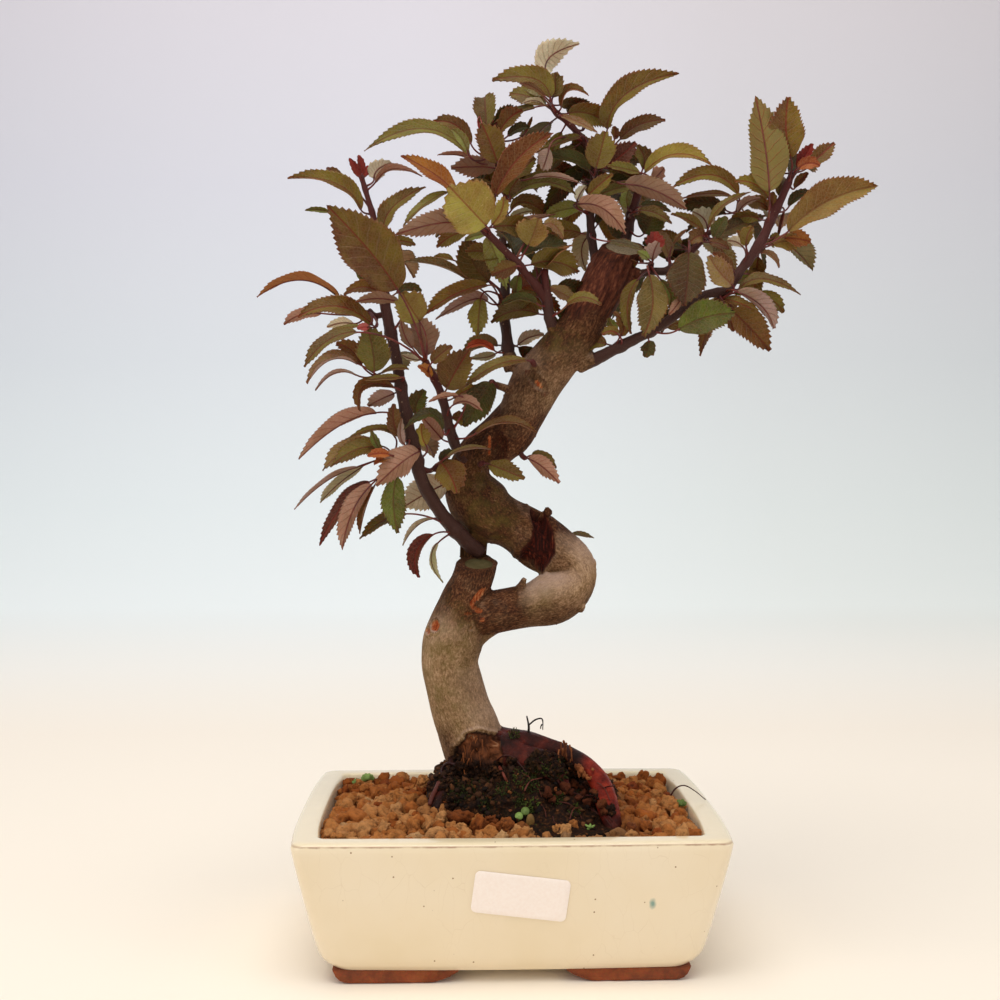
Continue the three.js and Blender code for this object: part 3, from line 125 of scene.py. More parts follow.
# Humus mound: x, y, half-length, half-depth, height
MOUND_RINGS = [
    (7, -3, 42.5, 27, 38), (7, -3, 43.5, 28, 50), (6.5, -3, 42, 26.5, 57),
    (5.5, -3, 38.5, 23.5, 63.5), (3.5, -3, 33.5, 19.5, 69.5), (2, -2, 27, 15, 74.5),
    (0, -2, 18, 9, 78),
]

# Leafy shoots: name, leaves of the far side (number, first place, headings from and to), stems as
# rows of x, z, depth, radius, and whorls: stem, place along it, leaves. A leaf holds the blade's
# base x, z, middle x, z, tip x, z, width, turn of its upper face in degrees (0 faces the viewing
# point, 90 up, 180 away), depth of base and of tip, and its finish.
SHOOTS = [
    ("shoot_left", (3, 4.4, 50, 150), [
        [(-12.5, 167, 8, 3.8), (-18.6, 172.4, 4, 3.5), (-27, 181, -3, 3.1), (-35, 193, -8, 3),
         (-39, 202, -10, 3.1), (-41.5, 213, -12, 2.8), (-44.3, 225, -14, 2.6),
         (-47, 240, -15, 2.5), (-50, 257, -15, 2.4), (-53.5, 273, -14, 2.4), (-55, 288, -13, 2.1),
         (-57, 306, -12, 1.5), (-61, 321, -11, 1.2), (-64.3, 332, -10, 1)],
        [(-47.5, 243, -15, 1.3), (-54, 242.8, -18, 1.2), (-59, 244.5, -20, 1.2)],
        [(-53.5, 272, -14, 1.4), (-58, 271, -12, 1.3), (-61, 273, -10, 1.2)],
        [(-41, 211, -12, 1.7), (-47, 211, -15, 1.5), (-51, 209.5, -17, 1.4)],
        [(-38.5, 203.5, -10, 1.8), (-34, 203, -9, 1.1), (-31, 205.5, -7, 1)],
    ], [
        (0, 1.6, [
            (-33, 174.8, -40.4, 166.5, -39, 155.8, 7, 35, -7, -10, "redbrown"),
            (-31, 171, -33.6, 163, -28.5, 153.5, 5, 125, -4, -4, "palegreen"),
            (-33, 182, -40.5, 178.5, -46.5, 170, 5, 112, 2, 6, "pale"),
            (-45, 184, -54, 181.5, -65.5, 173, 9, 50, -13, -16, "olive")]),
        (4, 1.9, [
            (-27, 197.5, -36, 193, -46, 187, 15, 168, 4, 2, "pale"),
            (-29.5, 206.5, -25.5, 201, -22.5, 193, 14, 15, -9, -12, "bronze"),
            (-27, 209, -18, 213, -7.5, 212.5, 4, 60, -12, -14, "tan"),
            (-30, 207, -27, 210, -23.5, 211, 5, 25, -8, -12, "dgreen")]),
        (0, 5, [
            (-39, 211.5, -47, 206.5, -58, 196.5, 13, 162, -18, -28, "pinktan")]),
        (3, 1.9, [
            (-61, 198, -72, 188.5, -83, 170, 8, 35, -19, -22, "redbrown"),
            (-60, 197, -68.5, 185, -73, 168, 9, 152, -24, -32, "pinktan"),
            (-59, 196, -63, 186, -65.3, 175, 5, 60, -17, -16, "brown"),
            (-49, 200.5, -50.5, 189, -48.5, 175.5, 11, 8, -21, -23, "green"),
            (-66, 204.8, -80, 198.5, -94, 186, 6, 108, -14, -20, "tan"),
            (-64, 205, -75, 197, -82.5, 189, 7, 130, -8, -4, "palegreen"),
            (-55, 212.5, -66, 212.5, -78, 204.5, 10, 38, -18, -26, "olive"),
            (-57, 214, -70, 212.5, -81.5, 203, 11, 50, -9, -6, "tan"),
            (-49.5, 217.5, -57, 221.5, -72, 216.5, 6, 62, -15, -20, "olive"),
            (-52, 210, -56.5, 210.5, -62, 209.5, 5, 30, -25, -29, "orangered"),
            (-51, 208.3, -55, 208, -59, 205.5, 4.5, 40, -22, -27, "amber"),
            (-56.5, 212, -58.5, 216, -60.3, 221, 4, 20, -21, -23, "green")]),
        (0, 5.4, [
            (-48, 218, -50.3, 225, -50, 232.5, 7, 15, -18, -20, "brown"),
            (-45.5, 214.5, -47.3, 219, -46.5, 226.5, 4, 150, -19, -20, "tan")]),
        (0, 4.5, [
            (-36, 214, -37.8, 218, -38, 224, 7, 20, -8, -9, "yellowolive")]),
        (0, 6.2, [
            (-58, 228.5, -74, 223, -92, 208, 10, 122, -12, -20, "pinktan"),
            (-40.5, 228, -40, 233, -36.5, 238.5, 9, 12, -7, -5, "green")]),
        (0, 7, [
            (-50, 239.5, -63, 240, -65, 229, 6.5, 42, -21, -25, "dbrown"),
            (-50, 237, -56, 234.5, -61.5, 231.5, 8, 152, -13, -9, "tan"),
            (-47, 244, -54, 243.7, -63, 242.8, 5, 58, -23, -27, "olive")]),
        (1, 2, [
            (-66, 250, -78, 251.8, -88.3, 241.2, 8, 68, -25, -30, "tan"),
            (-64.3, 249.6, -69, 256, -75.5, 258.6, 8.5, 25, -19, -17, "brown"),
            (-66.5, 245, -76, 246, -84.7, 238.2, 4.5, 112, -15, -13, "tan"),
            (-58.8, 246.5, -59.5, 256, -62, 266.5, 15, 12, -25, -27, "olivegreen"),
            (-55.5, 246, -49, 248, -43.5, 247.5, 4.5, 58, -20, -21, "olive")]),
        (2, 2, [
            (-59.5, 267, -75, 275, -92, 270.3, 11, 45, -17, -22, "bronze"),
            (-82, 272, -91, 271.3, -98.3, 267, 6, 150, -12, -10, "pinktan"),
            (-74, 279, -91, 286.7, -110, 279, 9, 112, -8, -14, "redtan"),
            (-68, 267.5, -73.5, 267.8, -79.5, 266, 5, 160, -14, -10, "pale"),
            (-64, 266.5, -74, 264.5, -84.3, 259, 5.5, 65, -24, -28, "olivegreen"),
            (-61, 266, -63.5, 266, -66.2, 265.5, 4, 20, -28, -31, "red")]),
        (0, 8.4, [
            (-48, 277, -57, 278.7, -67, 277, 6, 150, -22, -25, "greypink")]),
        (0, 9.4, [
            (-56, 281, -64, 283.5, -72, 279.8, 6.5, 35, -17, -20, "brown"),
            (-49, 281, -43, 283.3, -37.8, 281.8, 4.8, 30, -9, -5, "dgreen"),
            (-60, 283, -63.5, 286, -67, 291.3, 3.2, 40, -13, -15, "green"),
            (-57.5, 283, -59.5, 288, -58, 292.7, 3.5, 30, -17, -18, "brown")]),
        (0, 10.1, [
            (-57, 289.5, -62, 294.5, -70, 297, 8, 30, -22, -25, "yellowolive")]),
        (0, 11, [
            (-52, 303, -46, 303.7, -40.5, 302, 5, 30, -11, -8, "olive"),
            (-54.3, 306.8, -50.8, 318, -36, 327.5, 9.5, 42, -17, -24, "olive"),
            (-78, 316, -83, 317, -89, 317, 2.8, 30, -20, -22, "green")]),
        (0, 11.7, [
            (-64.5, 317.5, -75.5, 328.6, -96.5, 331, 9, 48, -12, -16, "olive"),
            (-71, 329.5, -75.5, 333, -79.5, 335.7, 4.5, 30, -9, -8, "dbrown")]),
        (0, 12.5, [
            (-58, 329.5, -50, 335.5, -37.5, 332, 5.5, 120, -12, -18, "pinktan"),
            (-58.7, 331, -57, 335, -51, 338, 8, 165, -7, -4, "pale")]),
        (0, 12.95, [
            (-65, 331.5, -67, 335.5, -69.6, 340, 3.6, 20, -12, -14, "crimson"),
            (-64, 332.5, -64.3, 337, -65.6, 341.3, 3.8, 20, -9, -9, "crimson"),
            (-63.2, 331.5, -62, 334, -61.5, 336.8, 3, 20, -7, -5, "crimson")]),
    ]),
    ("shoot_mid_left", (1, 2.6, 70, 110), [
        [(-17, 207, 3, 3), (-22, 212, -3, 2.4), (-25.5, 221, -8, 2.1), (-28, 232, -12, 1.9),
         (-31.5, 242, -15, 1.7), (-36.5, 251, -18, 1.5)],
    ], [
        (0, 1.5, [
            (-29, 217, -33, 221.5, -37.5, 226.5, 9, 160, -3, -2, "pinktan"),
            (-14, 219.5, 0, 224.3, 13, 219.5, 6, 58, -15, -18, "brown")]),
        (0, 2, [
            (-22, 236, -28, 235.7, -35, 233.3, 4.5, 120, -20, -23, "pinktan"),
            (-28.5, 220.5, -34.5, 228, -46, 221, 6.5, 48, -19, -24, "dgreen")]),
        (0, 2.5, [
            (-24, 232, -18, 233.5, -11, 229, 5.5, 140, -17, -21, "pinktan"),
            (-24.5, 226, -21, 226, -17.5, 222.5, 6, 20, -6, -4, "olive")]),
        (0, 3.3, [
            (-24, 235, -18.5, 238, -13.5, 240.5, 5, 30, -10, -9, "olive"),
            (-27, 239, -22.8, 247, -17, 256, 15.5, 16, -19, -24, "bronze")]),
        (0, 5, [
            (-33.5, 250.5, -29.5, 254.3, -24.5, 257.8, 7, 25, -26, -29, "brown"),
            (-36.3, 253.3, -38, 262, -39.2, 271.5, 14, 160, -15, -17, "greypink"),
            (-42, 257, -45.3, 262.5, -47, 269, 6.5, 150, -21, -24, "greypink"),
            (-38.8, 268.5, -43, 275, -46.5, 281.3, 15, 14, -26, -30, "yellowolive"),
            (-48.5, 282.5, -60.5, 299, -79.5, 319.3, 23.5, 12, -34, -40, "bronze"),
            (-66.5, 263.8, -79, 260, -89.5, 248.5, 9, 52, -36, -40, "olive"),
            (-38.7, 251.8, -42.5, 252.2, -46.8, 254, 3.8, 140, -12, -10, "pale")]),
        (0, 4.2, [
            (-34, 244, -36, 247.3, -39.8, 249, 5.5, 40, -20, -22, "amber")]),
    ]),
    ("shoot_centre", (2, 3.4, 95, 150), [
        [(2, 247, 4, 3.2), (0.3, 255, 4, 2.7), (-0.5, 263, 6, 2.4), (-1.8, 273, 8, 2.4),
         (-1.2, 283, 9, 2.2), (-1, 292, 11, 2), (-2, 303, 12, 1.6), (-1.8, 314, 13, 1.4),
         (-1, 322, 12, 1.2), (-1.8, 331, 10, 1.1), (-6, 340, 6, 1), (-9.5, 350, 3, 0.9)],
    ], [
        (0, 1.3, [
            (-6, 256, -12, 259, -19, 256.5, 5.2, 52, 0, -4, "vermilion"),
            (-5.5, 254.5, -10, 253, -17, 252.5, 5, 140, 5, 7, "palegreen"),
            (4.5, 258.5, 9.5, 261.8, 16, 263, 6.5, 150, 15, 20, "pale")]),
        (0, 3.3, [
            (-8.3, 286, -15.5, 295, -17.5, 305.5, 15, 12, 3, 1, "dolive"),
            (-15, 285, -30, 293, -46.5, 294.5, 6, 58, 6, 1, "greygreen"),
            (-9, 284.5, -23, 280.5, -37, 271, 8.5, 40, -2, -8, "bronze"),
            (-9, 277.5, -17, 278, -32, 269.5, 7, 140, 3, -1, "tan"),
            (-12, 278.5, -12.8, 271, -13.3, 262, 9, 15, -3, -5, "olivegreen"),
            (-24, 295.5, -28, 296.5, -33, 296.7, 4, 50, 12, 12, "olivegreen")]),
        (0, 7.5, [
            (1.5, 317.5, 6, 321, 12.5, 319, 5, 40, 5, 3, "olive"),
            (1.5, 312, 10, 313.5, 21, 316, 4.5, 120, 6, 2, "pinktan"),
            (1, 314, 5.5, 316.3, 11, 317.3, 4, 150, 13, 14, "palegreen")]),
        (0, 8, [
            (-5.5, 324, 4.5, 340, 20, 351.5, 12.5, 28, -8, -16, "amberbrown"),
            (1, 322.8, 15, 329.8, 30, 324.5, 8.5, 38, 4, 0, "olivegreen"),
            (0.8, 324, 1.5, 327, 5, 331.5, 8, 20, -2, -4, "olive")]),
        (0, 9, [
            (-4.5, 338, -7.8, 347, -11.5, 355.5, 13, 16, -6, -9, "bronze"),
            (2, 331.5, 7, 336, 12, 340.5, 9, 25, 4, 4, "olive"),
            (11, 331.8, 21, 332.5, 33, 329.2, 4.5, 120, -6, -8, "tan"),
            (-5.5, 336, -14, 336.5, -25, 336, 10, 162, 4, -1, "greypink"),
            (-7, 329, -12, 330, -18, 330, 3, 50, 8, 7, "olive")]),
        (0, 9.9, [
            (-14, 339.5, -22, 341.7, -31, 341.5, 4, 120, 10, 11, "pinktan"),
            (-17, 341.5, -37, 352.8, -63, 343, 9, 48, -3, -12, "olivegreen"),
            (-16.3, 346.5, -23, 354.5, -33, 356, 8, 35, 3, 0, "bronze"),
            (-17.8, 343, -20.5, 349, -25, 353, 5, 20, -9, -12, "palegreen")]),
        (0, 10.6, [
            (-3.5, 352, 1, 358, 6.5, 361, 8, 20, -1, -3, "bronze"),
            (0, 350, 5, 353.5, 9.5, 353.5, 5, 30, 2, 1, "dgreen"),
            (8, 352, 9.5, 355.5, 10.7, 358.7, 1.8, 20, 4, 5, "olive")]),
        (0, 10.95, [
            (-12, 352.5, -12.8, 355.5, -12.3, 358.8, 2.4, 30, 4, 5, "red"),
            (-10, 353, -9.7, 356, -9, 358.3, 2.4, 30, 6, 8, "red"),
            (-8, 353, -6.5, 355, -4.8, 356.8, 3.2, 30, 6, 6, "red")]),
        (0, 6.4, [
            (0.8, 305, 2.8, 307.5, 6, 309.5, 5, 150, 14, 14, "palegreen")]),
    ]),
    ("shoot_pruned_twig", (0, 3, 60, 120), [
        [(23, 257, -2, 3), (19.2, 267.4, -7, 2.4), (18, 273, -8, 2.1), (17, 280, -9, 1.9),
         (16.3, 286, -10, 1.8), (16, 291.5, -10, 1.8)],
        [(17.5, 276, -8, 1.8), (12.5, 284.5, -12, 1.8), (8, 289.5, -15, 1.7), (4.5, 294, -17, 1.7),
         (-1.5, 300, -20, 1.7), (-7, 305.5, -23, 1.6), (-11, 309.5, -25, 1.4)],
    ], [
        (0, 1.6, [
            (26, 276, 33, 279.5, 41.5, 276, 6, 42, -16, -21, "olive")]),
        (0, 2.4, [
            (13, 276.5, 5.5, 279, -4.5, 275, 5.2, 42, -12, -13, "dgreen")]),
        (0, 3, [
            (17.5, 282, 15.5, 286.5, 12, 289.2, 6.5, 15, -3, -1, "green")]),
        (1, 1, [
            (11.7, 294.5, 6, 301.5, -2, 301.5, 6.5, 38, -8, -4, "dgreen")]),
        (1, 2.6, [
            (4, 293, -1, 291.5, -7.5, 289, 8, 18, -20, -16, "brown"),
            (4.8, 289, 4, 285.5, 3.5, 281, 5.8, 12, -13, -10, "green")]),
        (1, 3.1, [
            (9, 302, 11.5, 307.5, 13.5, 314, 15, 18, -17, -19, "olivetan"),
            (16, 311, 20.5, 311, 24.3, 305, 6, 25, -14, -12, "tan")]),
        (1, 5.7, [
            (-13, 310, -28, 312, -50, 306.3, 12, 158, -31, -38, "greypink"),
            (-10, 306.5, -13.5, 306.5, -19, 304.3, 4.5, 30, -20, -18, "palegreen")]),
        (1, 5.95, [
            (-9.5, 310.5, -17, 318.5, -26, 328, 24, 12, -33, -38, "yellowolive"),
            (-7, 311, -2.8, 317, -2, 323.5, 7, 15, -27, -27, "yellowolive"),
            (-23.5, 325.3, -33, 333.5, -47, 341, 9.5, 38, -27, -25, "amber"),
            (-26.5, 325.3, -36, 320, -46, 310.5, 6, 55, -25, -31, "olivegreen")]),
    ]),
    ("shoot_right", (3, 3.6, 25, 70), [
        [(31, 250, -1, 4.2), (39, 252.5, -4, 2.9), (46, 256, -7, 2.6), (56, 261, -10, 2.3),
         (66, 266, -12, 2.1), (76, 273, -13, 2), (87, 280.5, -13, 1.9), (97, 283, -12, 1.9),
         (102.5, 291, -11, 2), (109, 299.5, -10, 2.1), (113, 306, -9, 2.2), (116, 313, -8, 2),
         (119.5, 320, -7, 1.8), (123.5, 329, -6, 1.6), (126, 335, -5, 1.2)],
    ], [
        (0, 2.4, [
            (49.8, 262.5, 51, 268, 46.5, 273, 7, 30, -12, -13, "brown"),
            (48.8, 263, 45.5, 264.6, 41.5, 263, 5, 30, -16, -18, "bronze"),
            (48, 264, 46, 267, 44.3, 270.5, 5, 20, -8, -8, "green")]),
        (0, 3.7, [
            (62.3, 260.5, 62.3, 257, 60.5, 253.2, 7, 12, -12, -13, "dgreen"),
            (75.5, 265.5, 88, 271, 100.5, 272.5, 15, 12, -19, -24, "green")]),
        (0, 5.5, [
            (72.5, 274.5, 70, 270, 68, 264, 5.5, 20, -9, -8, "dgreen"),
            (76.5, 279, 74.5, 276, 71, 271.8, 4.5, 150, -18, -20, "pinktan")]),
        (0, 6.6, [
            (94, 279.3, 103, 277, 112.5, 272, 6.5, 50, -12, -15, "bronze"),
            (99, 274, 107, 266.5, 116.3, 256.2, 13, 15, -17, -19, "brown"),
            (99, 273, 99, 269, 100, 264.5, 5, 20, -10, -9, "brown")]),
        (0, 7, [
            (99.5, 285, 93.5, 291, 89, 298, 11, 18, -18, -22, "tan"),
            (102.5, 283.4, 113.5, 287.8, 130, 281, 7, 50, -13, -19, "olive"),
            (101.5, 282.3, 112.5, 276, 118, 266, 9, 140, -20, -26, "tan"),
            (111, 281, 117, 278.5, 122.3, 273, 7.5, 25, -10, -11, "olivegreen"),
            (99.8, 281.5, 107, 281.8, 115, 280.5, 5, 35, -7, -6, "green"),
            (100.5, 286, 105.5, 288.5, 112, 288, 7.5, 30, -6, -2, "green")]),
        (0, 7.8, [
            (99.5, 292, 95.5, 296, 90.5, 299.3, 5.5, 30, -13, -15, "brown"),
            (98.5, 290.5, 97, 292.7, 96, 295.5, 3.5, 20, -8, -8, "green")]),
        (0, 8.5, [
            (105.5, 302.5, 106, 307, 108.5, 311, 6.5, 25, -15, -17, "olive"),
            (104, 302, 101, 304.3, 97, 304.8, 5, 150, -9, -8, "pale"),
            (104.8, 304, 103.3, 307, 101, 309, 3.5, 25, -12, -12, "olive")]),
        (0, 9.6, [
            (124.3, 309, 142, 322.5, 164.3, 329.3, 15, 18, -14, -20, "olivetan"),
            (122.5, 306.3, 128.5, 305.6, 134.3, 304.5, 7.5, 15, -6, -4, "amber"),
            (116.5, 304, 118, 306.2, 119, 308.5, 4, 20, -7, -7, "olive")]),
        (0, 11, [
            (115.8, 326.5, 113.8, 346, 109.3, 368.5, 17, 170, -15, -11, "yellowgreen"),
            (115.3, 323.5, 109, 329.7, 100.3, 330.8, 7.5, 35, -5, -5, "amberolive"),
            (115.7, 318, 117.2, 322, 117, 326.5, 5, 20, -5, -5, "brown")]),
        (0, 11.9, [
            (124.5, 320, 128.5, 324.5, 134.5, 326.8, 5.5, 38, -3, 0, "dgreen"),
            (122.3, 318, 121.5, 312.5, 119.3, 305.5, 2.6, 60, -4, -2, "redbrown"),
            (121, 324.5, 121, 327.5, 123, 331, 4.5, 20, -1, 0, "brown")]),
        (0, 13.1, [
            (125.3, 341, 123, 354, 124, 368, 15, 12, -10, -12, "bronze"),
            (127, 328, 129.7, 331.5, 133, 335, 4.5, 30, -3, -2, "brown")]),
        (0, 13.95, [
            (128, 337, 131.7, 342, 135, 347.8, 6, 20, -9, -11, "crimson"),
            (128.5, 336.5, 133, 339, 138.3, 337.8, 6.5, 25, -11, -14, "orangered"),
            (132.5, 337, 138.5, 342.5, 144.7, 348, 8, 20, -4, -3, "bronze")]),
        (0, 9.2, [
            (112, 299.5, 117, 298, 120.3, 292.8, 4.5, 55, -10, -9, "tan")]),
    ]),
    ("shoot_upper_right", (2, 2.5, 60, 110), [
        [(50, 289, 4, 2.6), (59, 290, 1, 1.9), (64, 291, 0, 1.8), (71, 291.5, 0, 1.7),
         (78, 297, 2, 1.6), (84, 303, 4, 1.5), (88, 307.5, 4, 1.5)],
        [(63, 291, 0, 1.3), (63.2, 294.5, -3, 1.2)],
        [(88, 307.5, 4, 1.3), (95, 311.5, 8, 1.1), (100.5, 315, 9, 1.1), (102.5, 322, 9, 1)],
    ], [
        (1, 0.95, [
            (62.5, 289.5, 64, 276, 60, 262.5, 13.5, 10, -17, -21, "bronzegreen"),
            (57.5, 287.3, 53, 277, 54.5, 263.3, 6.5, 28, -12, -14, "olive"),
            (67.5, 287.5, 72, 280.5, 71, 274.8, 5, 20, -8, -7, "green"),
            (63.8, 296, 64.5, 299.8, 66.5, 304, 8, 155, -7, -10, "tan"),
            (65, 300, 64.8, 304, 64.5, 308.5, 9, 18, -3, -3, "crimson"),
            (62.3, 296, 60, 298, 57, 299.5, 4.5, 35, -8, -9, "palegreen")]),
        (0, 3.1, [
            (71, 297, 69.5, 303, 67, 309, 7, 25, 0, 2, "tan"),
            (72.5, 302, 75.5, 306.3, 79.2, 309.7, 3, 50, 1, 3, "brown")]),
        (0, 4.4, [
            (80, 299.5, 79.5, 288, 78, 276, 17, 8, -19, -21, "greenpurple")]),
        (0, 5.9, [
            (86.3, 309, 80, 313.3, 72, 316.3, 5.5, 45, 1, -3, "olive"),
            (88.3, 310, 86.5, 314.5, 81.5, 317.5, 9, 165, 11, 14, "pale"),
            (89, 311, 95, 320, 107.5, 326.3, 4.8, 48, 0, -1, "olive"),
            (91, 306, 103, 312, 114, 315.8, 8, 30, 0, 1, "dolive"),
            (91.5, 305.5, 93.5, 310.5, 97, 315.3, 7, 20, -7, -9, "dgreen"),
            (86.5, 306.5, 84, 306.5, 80, 303.5, 8, 20, -4, -6, "brown"),
            (89, 304, 93.3, 303.3, 98, 301, 5.5, 35, -7, -10, "dbrown")]),
        (2, 3, [
            (101.8, 325, 90, 333.5, 72.3, 327.8, 8.5, 38, 7, 2, "amberolive"),
            (99, 324, 90, 325.3, 77, 323.3, 4, 48, 10, 10, "brown")]),
        (2, 2.1, [
            (101.7, 317, 105.5, 321.5, 112, 323.5, 5.5, 130, 5, 2, "tan")]),
    ]),
    ("shoot_top", (2, 3.2, 60, 120), [
        [(41, 290, 8, 2.6), (38.3, 298, 12, 2.1), (37, 305, 14, 1.9), (36.3, 313, 15, 1.8),
         (36.5, 322, 14, 1.6), (38, 332, 12, 1.5), (37.5, 340, 9, 1.4), (33.5, 348, 6, 1.3),
         (27.5, 355, 3, 1.3), (21.5, 360, 0, 1.2), (18.5, 364, -2, 1.1)],
    ], [
        (0, 2.2, [
            (37, 307.5, 32.5, 301, 34.5, 291, 9, 155, 22, 24, "palegreen"),
            (44.5, 304, 52, 302.8, 61, 300.3, 5, 50, -9, -13, "greygreen")]),
        (0, 3.4, [
            (31, 320.5, 42.5, 318.3, 52, 307.3, 11, 152, 2, -5, "pinktan"),
            (30.5, 322, 32, 325.3, 34.5, 328.5, 4.5, 150, 4, 4, "pale")]),
        (0, 4, [
            (35.5, 324.5, 40.5, 329, 46.3, 333.8, 7, 22, 0, -5, "amberolive"),
            (37.5, 322.5, 47, 327, 58, 328.8, 6, 32, 7, 3, "olivegreen")]),
        (0, 4.8, [
            (31.5, 330.8, 22, 335.5, 13, 336, 8, 25, 17, 18, "dgreen")]),
        (0, 5.3, [
            (36, 335, 28, 340, 14.5, 341.3, 7, 38, 3, -2, "dgreen"),
            (38.8, 336, 41, 344, 43, 352.3, 13.5, 12, -2, -5, "olive"),
            (43, 337, 50, 341.8, 56.5, 347.5, 10, 18, 2, -3, "redbrown"),
            (35.5, 337.5, 31, 342.5, 25, 345.5, 6.5, 25, 10, 10, "dolive")]),
        (0, 6.9, [
            (32, 350, 24, 347.6, 12.5, 342.8, 4.8, 48, 1, -4, "olive"),
            (18, 344.5, 16.8, 340, 15, 335.3, 8, 158, -8, -12, "tan")]),
        (0, 5.8, [
            (43.8, 353.5, 52.5, 369, 75.5, 378, 11.5, 36, 6, 0, "olive"),
            (49.5, 349, 58, 355.3, 69.5, 357.5, 8.5, 35, 9, 6, "brown"),
            (47, 349, 47.3, 351.7, 46.5, 354.7, 4, 20, 11, 12, "brown")]),
        (0, 8, [
            (33, 354.5, 31.5, 358, 27.5, 361, 7, 165, 10, 12, "pale"),
            (34, 354.5, 35, 358, 36.8, 361.5, 6, 160, 9, 10, "pale")]),
        (0, 8.9, [
            (23.5, 359, 31, 356.2, 39.5, 351.8, 4.8, 48, -4, -6, "tan"),
            (23.5, 363, 27, 370.3, 35.7, 368, 5, 52, -3, -6, "bronze")]),
        (0, 9.9, [
            (18.5, 367, 11, 375.2, -7, 374.3, 11.5, 36, -7, -12, "olive"),
            (19.7, 367, 20.8, 372, 20.6, 378, 9, 15, -5, -5, "olive"),
            (16.8, 377, 18.8, 385, 31.5, 390.6, 12.5, 150, 1, 5, "pale"),
            (16.3, 367.3, 11, 371.3, 5, 373, 4.2, 50, -14, -17, "dbrown"),
            (16, 363.8, 11.5, 365.8, 5.5, 364, 4.2, 120, -5, -9, "pale")]),
    ]),
    ("shoot_behind_stump", (2, 2.6, 50, 110), [
        [(47, 288, 8, 3), (50.5, 300, 16, 2.5), (52.5, 308, 17, 2.4), (54.5, 316, 18, 2.2),
         (57, 324, 18, 1.9), (59.5, 331, 17, 1.5)],
    ], [
        (0, 1.5, [
            (51, 305.5, 47.5, 309.5, 43.8, 314.5, 6.5, 15, 16, 16, "dgreen")]),
        (0, 2.2, [
            (60, 307.5, 63, 313, 63, 319, 14, 12, 9, 8, "dgreen")]),
        (0, 3, [
            (58, 317.7, 65, 316.7, 72.5, 312, 6, 38, 3, 0, "olive"),
            (58.5, 319.5, 64.5, 320, 72, 317.3, 5, 38, 13, 14, "dgreen"),
            (53, 319, 52.3, 322.8, 53.3, 326.5, 6, 18, 12, 13, "palegreen")]),
        (0, 4.8, [
            (60.5, 334.5, 74, 342.5, 90, 338, 8.5, 42, 9, 4, "yellowolive"),
            (59.5, 336, 60, 341, 57, 346.5, 8, 20, 11, 12, "olive"),
            (58, 334.5, 51, 336, 43.8, 337.3, 5.5, 38, -6, -12, "olivegreen"),
            (51.5, 329.3, 65, 326.6, 79.2, 318.3, 10.5, 156, -3, -10, "greypink"),
            (64, 331.5, 66.5, 333.7, 69, 336.5, 7, 160, 18, 19, "pinktan")]),
    ]),
    ("leaf_long_front", (0, 1, 0, 0), [
        [(12, 247, -6, 1.6), (11.5, 250, -13.5, 1.2), (10.5, 251.4, -15.5, 1)],
    ], [
        (0, 1.7, [
            (8.5, 251.6, -6, 249, -20.5, 238.5, 7.5, 50, -16.5, -23, "olive")]),
    ]),
    ("leaf_dark_left", (0, 1, 0, 0), [
        [(3, 238, -2, 1.8), (-6, 241, -7, 1.3), (-7.2, 242.6, -8.5, 1.1)],
    ], [
        (0, 1.7, [
            (-7.2, 242, -12.5, 233.5, -19.5, 222.5, 13, 10, -10, -12, "dgreen")]),
    ]),
    ("leaf_pair_under_trunk", (0, 1, 0, 0), [
        [(3, 216, 2, 1.6), (6.4, 209.4, 0, 1.1), (7.8, 208.4, -0.5, 1)],
    ], [
        (0, 1.7, [
            (9, 208.4, 15.4, 204.8, 22.8, 197.5, 8.5, 148, -2, -7, "pinktan"),
            (10.5, 209.8, 16, 209.2, 21.5, 204, 5.5, 48, 2, 2, "olive")]),
    ]),
    ("leaf_blunt_front", (0, 1, 0, 0), [
        [(-13, 203, 2, 1.6), (-12.3, 205.8, -3, 1.1), (-10.5, 206.3, -4.5, 1)],
    ], [
        (0, 1.7, [
            (-8.5, 206, -1, 203, 7.4, 199.5, 9, 20, -7, -11, "olive")]),
    ]),
    ("leaf_behind_loop", (0, 1, 0, 0), [
        [(25, 170, 12, 1.8), (25, 172, 22, 1.2), (26, 173.6, 24, 1)],
    ], [
        (0, 1.7, [
            (28, 174.6, 32.5, 174.6, 38.3, 173.3, 4.4, 60, 24, 28, "greygreen")]),
    ]),
]

# Leaves of the far side, which the photo doesn't show
BACK_LENGTH = 33
BACK_PETIOLE = 9
BACK_WIDTH = 14
# Rise of a leaf's edge per half-width, gap between the leaves of a whorl, and how deep under its
# stem's skin a stalk starts
BLADE_FOLD = 0.3
LEAF_SPACING = 2
ROOT_DEPTH = 1.3
# Size of the even faces that the wood is made of
WOOD_GRID = 0.75


def sequence(seed):
    """The part's own seeded sequence of numbers from 0 to 1."""
    state = seed
    while True:
        state = (state * 1664525 + 1013904223) & 0xFFFFFFFF
        yield state / 4294967296


def unit(vectors):
    vectors = np.asarray(vectors, float)
    return vectors / np.maximum(np.linalg.norm(vectors, axis=-1, keepdims=True), 1e-12)


def seen(x, z, y):
    """A point on its line of sight from the viewing point, moved to depth y."""
    scale = (y - EYE[1]) / -EYE[1]
    return EYE + (np.array([x, 0.0, z]) - EYE) * scale


def step_smoothly(low, high, values):
    """0 up to low, 1 from high on, and a smooth step between them, either way round."""
    share = np.clip((values - low) / (high - low), 0, 1)
    return share * share * (3 - 2 * share)


